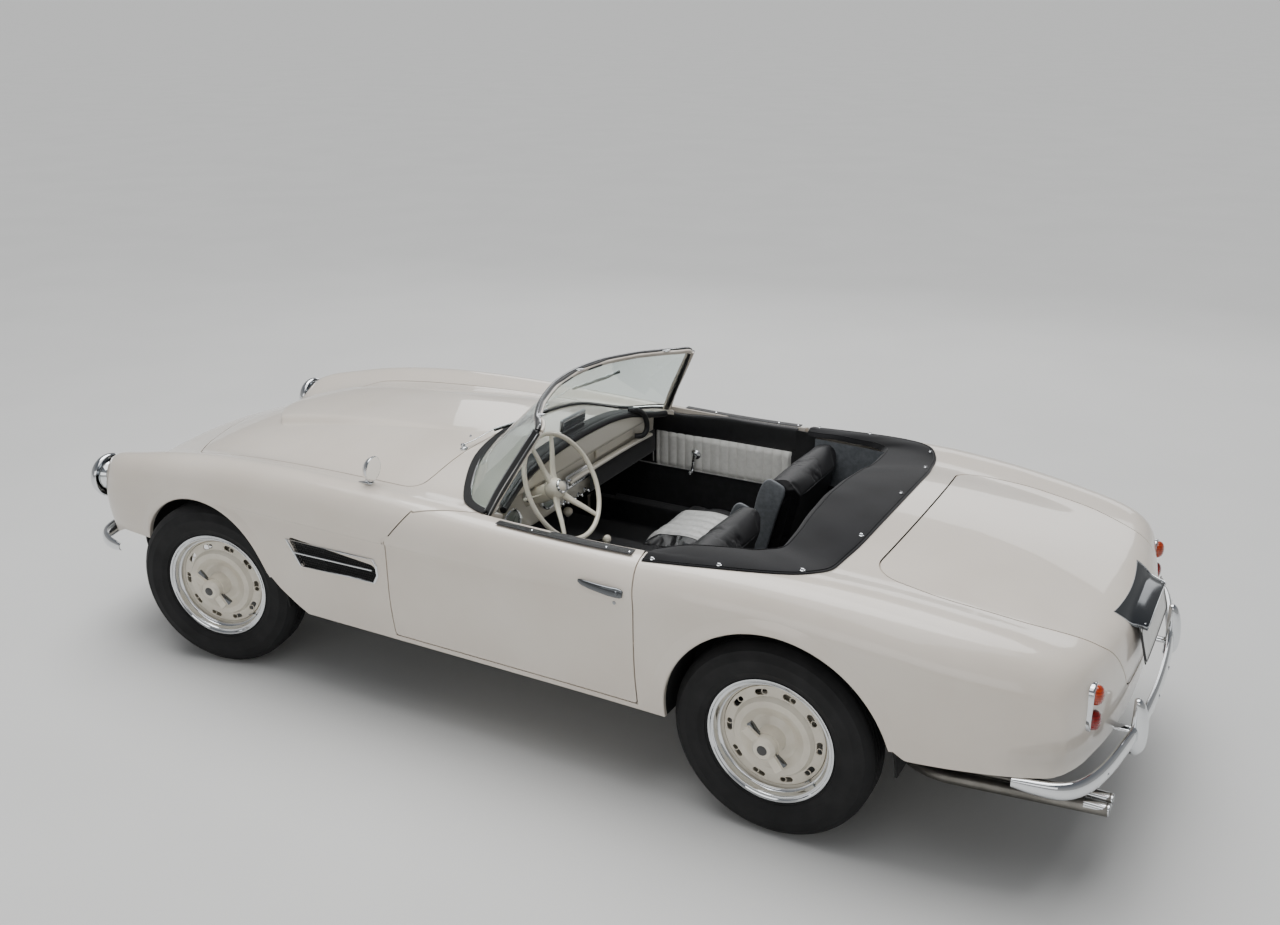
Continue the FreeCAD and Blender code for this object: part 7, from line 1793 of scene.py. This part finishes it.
cover = laidGrid(topCover["across"] * 2, topCover["deep"], coverPlace)
facesOut(cover, (0, 0, 1))
thickened(cover, topCover["thick"])
finish(cover, "topCoverSheet", topCanvas, "body", 60)
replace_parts(cover, "top_cover")
edges = [coverPlace(i / 60, 0.035) + Vector((0, 0, 0.0012)) for i in range(61)]
seamIn = [coverPlace(i / 60, 0.90) + Vector((0, 0, 0.0012)) for i in range(61)]
finish(merged([strand(edges, 0.0016, round=1, smooth=2), strand(seamIn, 0.0016, round=1, smooth=2)]),
    "topCoverSeams", topCanvas, "body",
       60)
hem = strand([coverPlace(i / 60, 0.002) - Vector((0, 0, 0.0015)) for i in range(61)], 0.0034, round=2,
    smooth=2)
finish(hem, "topCoverHem", topCanvas, "body", 60)


def stud(place, way, size=1.0):
    # A turn-button fastener: eyelet plate and wings.
    plate = spun(topCover["eyelet"], 24)
    wings = block((0.0150, 0.0050, 0.0040), (0, 0, 0.0062), 0.0018, 2)
    piece = merged([plate, wings])
    piece.scale = (size, size, size)
    settle(piece)
    return pointed(piece, place, way)


studs = []
for x, y in topCover["studs"]:
    share = min(((outerLine[i] - Vector((x, y, 0))).xy.length,
        i) for i in range(len(outerLine)))[1] / (len(outerLine) - 1)
    studs.append(stud(coverPlace(share, 0.085) + Vector((0, 0, 0.0008)), (0, 0.2 if y > 0 else -0.2, 1),
        0.75))
finish(merged(studs), "topCoverStuds", chromePlate, "body", 35)

# Tail and small fittings: blank number plate under its lamp hood, exhaust tips and boot mat.
plate = {"top": 0.742, "size": (0.440, 0.120), "stand": 0.024, "hood": {"front": 0.216, "rear": 0.186,
    "deep": 0.046, "start": 0.042, "high": 0.768},
         "lamps": (-0.150, 0.150), "screws": (-0.15, 0.15), "legs": (-0.10, 0.10),
         "screw": [(0.0004, 0.0026), (0.003, 0.0022), (0.0045, 0.0008), (0.0048, 0)]}
topPlace = onEnd(0, plate["top"], -1)
lowPlace = onEnd(0, plate["top"] - plate["size"][1], -1)
lean = math.atan2(topPlace.x - lowPlace.x, plate["size"][1])
plateTurn = Matrix.Translation((topPlace.x - plate["stand"], 0, plate["top"])) @ Matrix.Rotation(lean, 4, "Y")


def onPlate(piece):
    piece.matrix_world = plateTurn @ piece.matrix_world
    settle(piece)
    return piece


wide, high = plate["size"]
base = block((0.004, wide, high), (0.000, 0, -high / 2), 0.0012, 2)
finish(onPlate(base), "plateBack", blackEnamel, "boot_lid", 35)
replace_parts(bpy.data.objects["plateBack"], "number_plate")
face = block((0.0024, wide - 0.008, high - 0.008), (-0.0022, 0, -high / 2), 0.0008, 2)
openMesh(face)
chooseFaces(face, lambda f: f.normal.x < -0.9 and f.calc_area() > 0.01)
bpy.ops.mesh.inset(thickness=0.004, depth=0)
bpy.ops.mesh.inset(thickness=0.001, depth=-0.0006)
closeMesh()
finish(onPlate(face), "plateFace", makePaint("plateEnamel", "#D9D9D4", "#CFCFC9", wheelPaint), "boot_lid",
    30)
edge, corner = 0.003, 0.012
ends = [(1, -corner), (1, -high + corner), (0.955, -high + edge), (-0.955, -high + edge),
    (-1, -high + corner), (-1, -corner),
        (-0.955, -edge), (0.955, -edge)]
rimPlaces = [(-edge, y * (wide / 2 - edge), z) for y, z in ends]
finish(onPlate(strand(rimPlaces, 0.0026, closed=True, round=2, smooth=4)), "plateRim", blackEnamel,
    "boot_lid", 50)
screws = [onPlate(lathed(plate["screw"], 16, (-0.0034, y, -0.024), (-1, 0, 0))) for y in plate["screws"]]
finish(merged(screws), "plateScrews", chromePlate, "boot_lid", 40)
stand = merged([onPlate(block((0.034, 0.018, 0.050), (0.018, y, -0.060), 0.003, 2)) for y in plate["legs"]])
finish(stand, "plateStand", satinSteel, "boot_lid", 35)

hood = plate["hood"]


def hoodSkin(u, v):
    # Wedge over the plate: wide on the lid, narrower at its rear lip, its top falling away towards the sides.
    side = 2 * u - 1
    half = hood["front"] + (hood["rear"] - hood["front"]) * ease(v)
    x = topPlace.x + hood["start"] - (hood["deep"] + hood["start"]) * v + 0.018 * side * side * (1 - v)
    skin = onTop(x, side * half)
    z = hood["high"] - 0.004 - 0.018 * v ** 1.6 - 0.010 * abs(side) ** 3
    if v < 0.3 and skin:
        z = skin.z + (z - skin.z) * ease(v / 0.3)
    return Vector((x, side * half, max(z, (skin.z + 0.001) if skin and skin.z < 0.8 else z)))


top = laidGrid(28, 12, hoodSkin)
facesOut(top, (0, 0, 1))
thickened(top, 0.012)
rounded(top, 0.002)
finish(top, "plateHood", shadedChrome, "boot_lid", 45)
hoodEdge = [hoodSkin(0, i / 6) for i in range(6)] + [hoodSkin(i / 10, 1) for i in range(11)] + [hoodSkin(1,
    1 - (i + 1) / 6) for i in range(6)]
finish(strand([place + Vector((0, 0, 0.0005)) for place in hoodEdge], 0.0019, round=2, smooth=4),
    "plateHoodRim", chromePlate, "boot_lid", 50)
lampBoxes, lampLenses = [], []
for y in plate["lamps"]:
    lampBoxes.append(block((0.022, 0.046, 0.014), (topPlace.x - 0.026, y, hood["high"] - 0.032), 0.004, 3))
    lampLenses.append(block((0.016, 0.036, 0.005), (topPlace.x - 0.027, y, hood["high"] - 0.0405), 0.002, 2))
finish(merged(lampBoxes), "plateLamps", chromePlate, "boot_lid", 40)
finish(merged(lampLenses), "plateLampLenses", lampGlass, "boot_lid", 40)

# sleeve: (step in from the outer radius, place along the pipe)
tip = {"end": -2.117, "radius": 0.0215, "places": [(0.421, 0.243), (0.479, 0.243)],
       "sleeve": [(0.0025, 0.0), (0.0010, 0.0012), (0.0, 0.0), (0.0002, -0.075), (0.0012, -0.075),
       (0.0030, -0.050)]}
tips = []
for y, z in tip["places"]:
    sleeve = spun([(tip["radius"] - inward, along) for inward, along in tip["sleeve"]], 40)
    tips.append(pointed(sleeve, (tip["end"], y, z), (-1, 0, 0)))
finish(merged(tips), "exhaustTips", chromePlate, "body", 35)


mat = {"x": (-1.985, -1.300), "half": 0.555, "z": 0.5645, "rib": 0.0012, "ribTurn": 180}


def bootMat(u, v):
    back, front = mat["x"]
    return Vector((back + (front - back) * u, mat["half"] * (2 * v - 1),
        mat["z"] + mat["rib"] * math.sin(v * mat["ribTurn"])))


rubberMat = facesOut(laidGrid(12, 240, bootMat), (0, 0, 1))
finish(rubberMat, "bootMat", sealRubber, "body", 60)

# Black lining of the posts behind the doors.
postLining = {"front": -0.578, "wide": 0.090, "out": 0.684, "bow": 0.006, "low": 0.400, "high": 0.878}
for sideName, side in sides.items():

    def postAt(u, v):
        y = postLining["out"] - postLining["bow"] * math.sin(math.pi * u)
        return Vector((postLining["front"] - postLining["wide"] * u, side * y,
            postLining["low"] + (postLining["high"] - postLining["low"]) * v))

    post = laidGrid(6, 14, postAt)
    facesOut(post, (0, -side, 0))
    thickened(post, 0.004)
    finish(post, f"postLining{sideName.title()}", blackLeather, "body", 50)
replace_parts(bpy.data.objects["wiperArmLeft"], "wipers")
print("fittings made")

# Studio: pale floor, two soft boxes and a pale sky.
studio = {"floor": 3000.0, "horizon": "#D9D9D8", "zenith": "#8A8E95", "skyStrength": 0.55, "sun": 2.6,
    "key": 130, "side": 50, "back": 80}
pickOnly()
bpy.ops.mesh.primitive_plane_add(size=studio["floor"])
floor = bpy.context.object
floor.name = "studioFloor"
openMesh(floor, everything=True)
bpy.ops.mesh.subdivide(number_cuts=3)
closeMesh()
floor.data.materials.append(floorLook)
sky = bpy.context.scene.world or bpy.data.worlds.new("studioSky")
bpy.context.scene.world = sky
sky.use_nodes = True
heights = addNode(sky.node_tree, "ShaderNodeTexCoord").outputs["Generated"]
heights = addNode(sky.node_tree, "ShaderNodeSeparateXYZ", {}, {"Vector": heights}).outputs["Z"]
heights = addNode(sky.node_tree, "ShaderNodeMapRange", {"From Min": 0.02, "From Max": 0.75},
    {"Value": heights}).outputs["Result"]
skyMix = addNode(sky.node_tree, "ShaderNodeMix", {"data_type": "RGBA", 6: linear(studio["horizon"]),
    7: linear(studio["zenith"])},
                 {0: heights})
sky.node_tree.links.new(skyMix.outputs[2], sky.node_tree.nodes["Background"].inputs["Color"])
sky.node_tree.nodes["Background"].inputs["Strength"].default_value = studio["skyStrength"]
softBoxes = {
    "keyBox": {"place": (0.5, 1.0, 5.2), "aim": (0, 0, 0.5), "size": (7.0, 3.5), "power": studio["key"]},
    "sideBox": {"place": (-1.0, 6.5, 2.8), "aim": (0, 0, 0.4), "size": (7.0, 2.0), "power": studio["side"]},
    "backBox": {"place": (1.0, -6.0, 3.2), "aim": (0, 0, 0.6), "size": (8.0, 1.8), "power": studio["back"]},
}
for name, box in softBoxes.items():
    aim = (Vector(box["aim"]) - Vector(box["place"])).to_track_quat("-Z", "Y").to_euler()
    bpy.ops.object.light_add(type="AREA", location=box["place"], rotation=aim)
    lamp = bpy.context.object
    lamp.name = name
    lamp.data.shape = "RECTANGLE"
    lamp.data.size, lamp.data.size_y = box["size"]
    lamp.data.energy = box["power"]
bpy.ops.object.light_add(type="SUN", location=(0, 0, 8), rotation=(math.radians(14), math.radians(10), 0))
bpy.context.object.name = "softSun"
bpy.context.object.data.energy = studio["sun"]
bpy.context.object.data.angle = math.radians(50)

# Camera at the photograph's place: position, direction and roll solved from the wheels and the screen.
shot = {"place": (-2.4729, 4.0651, 2.6359), "azimuth": -60.87, "elevation": -20.51, "roll": -0.51,
    "lens": 35.957}
across, down, roll = (math.radians(shot[key]) for key in ("azimuth", "elevation", "roll"))
ahead = Vector((math.cos(across) * math.cos(down), math.sin(across) * math.cos(down), math.sin(down)))
right = ahead.cross(Vector((0, 0, 1))).normalized()
over = right.cross(ahead)
tiltRight = right * math.cos(roll) + over * math.sin(roll)
tiltUp = over * math.cos(roll) - right * math.sin(roll)
bpy.ops.object.camera_add(location=shot["place"])
camera = bpy.context.object
camera.rotation_euler = Matrix((tiltRight, tiltUp, -ahead)).transposed().to_euler()
camera.data.sensor_fit = "HORIZONTAL"
camera.data.sensor_width = 36.0
camera.data.lens = shot["lens"]
camera.data.clip_end = 4000
bpy.context.scene.camera = camera
print("studio and camera set")

print("finished")
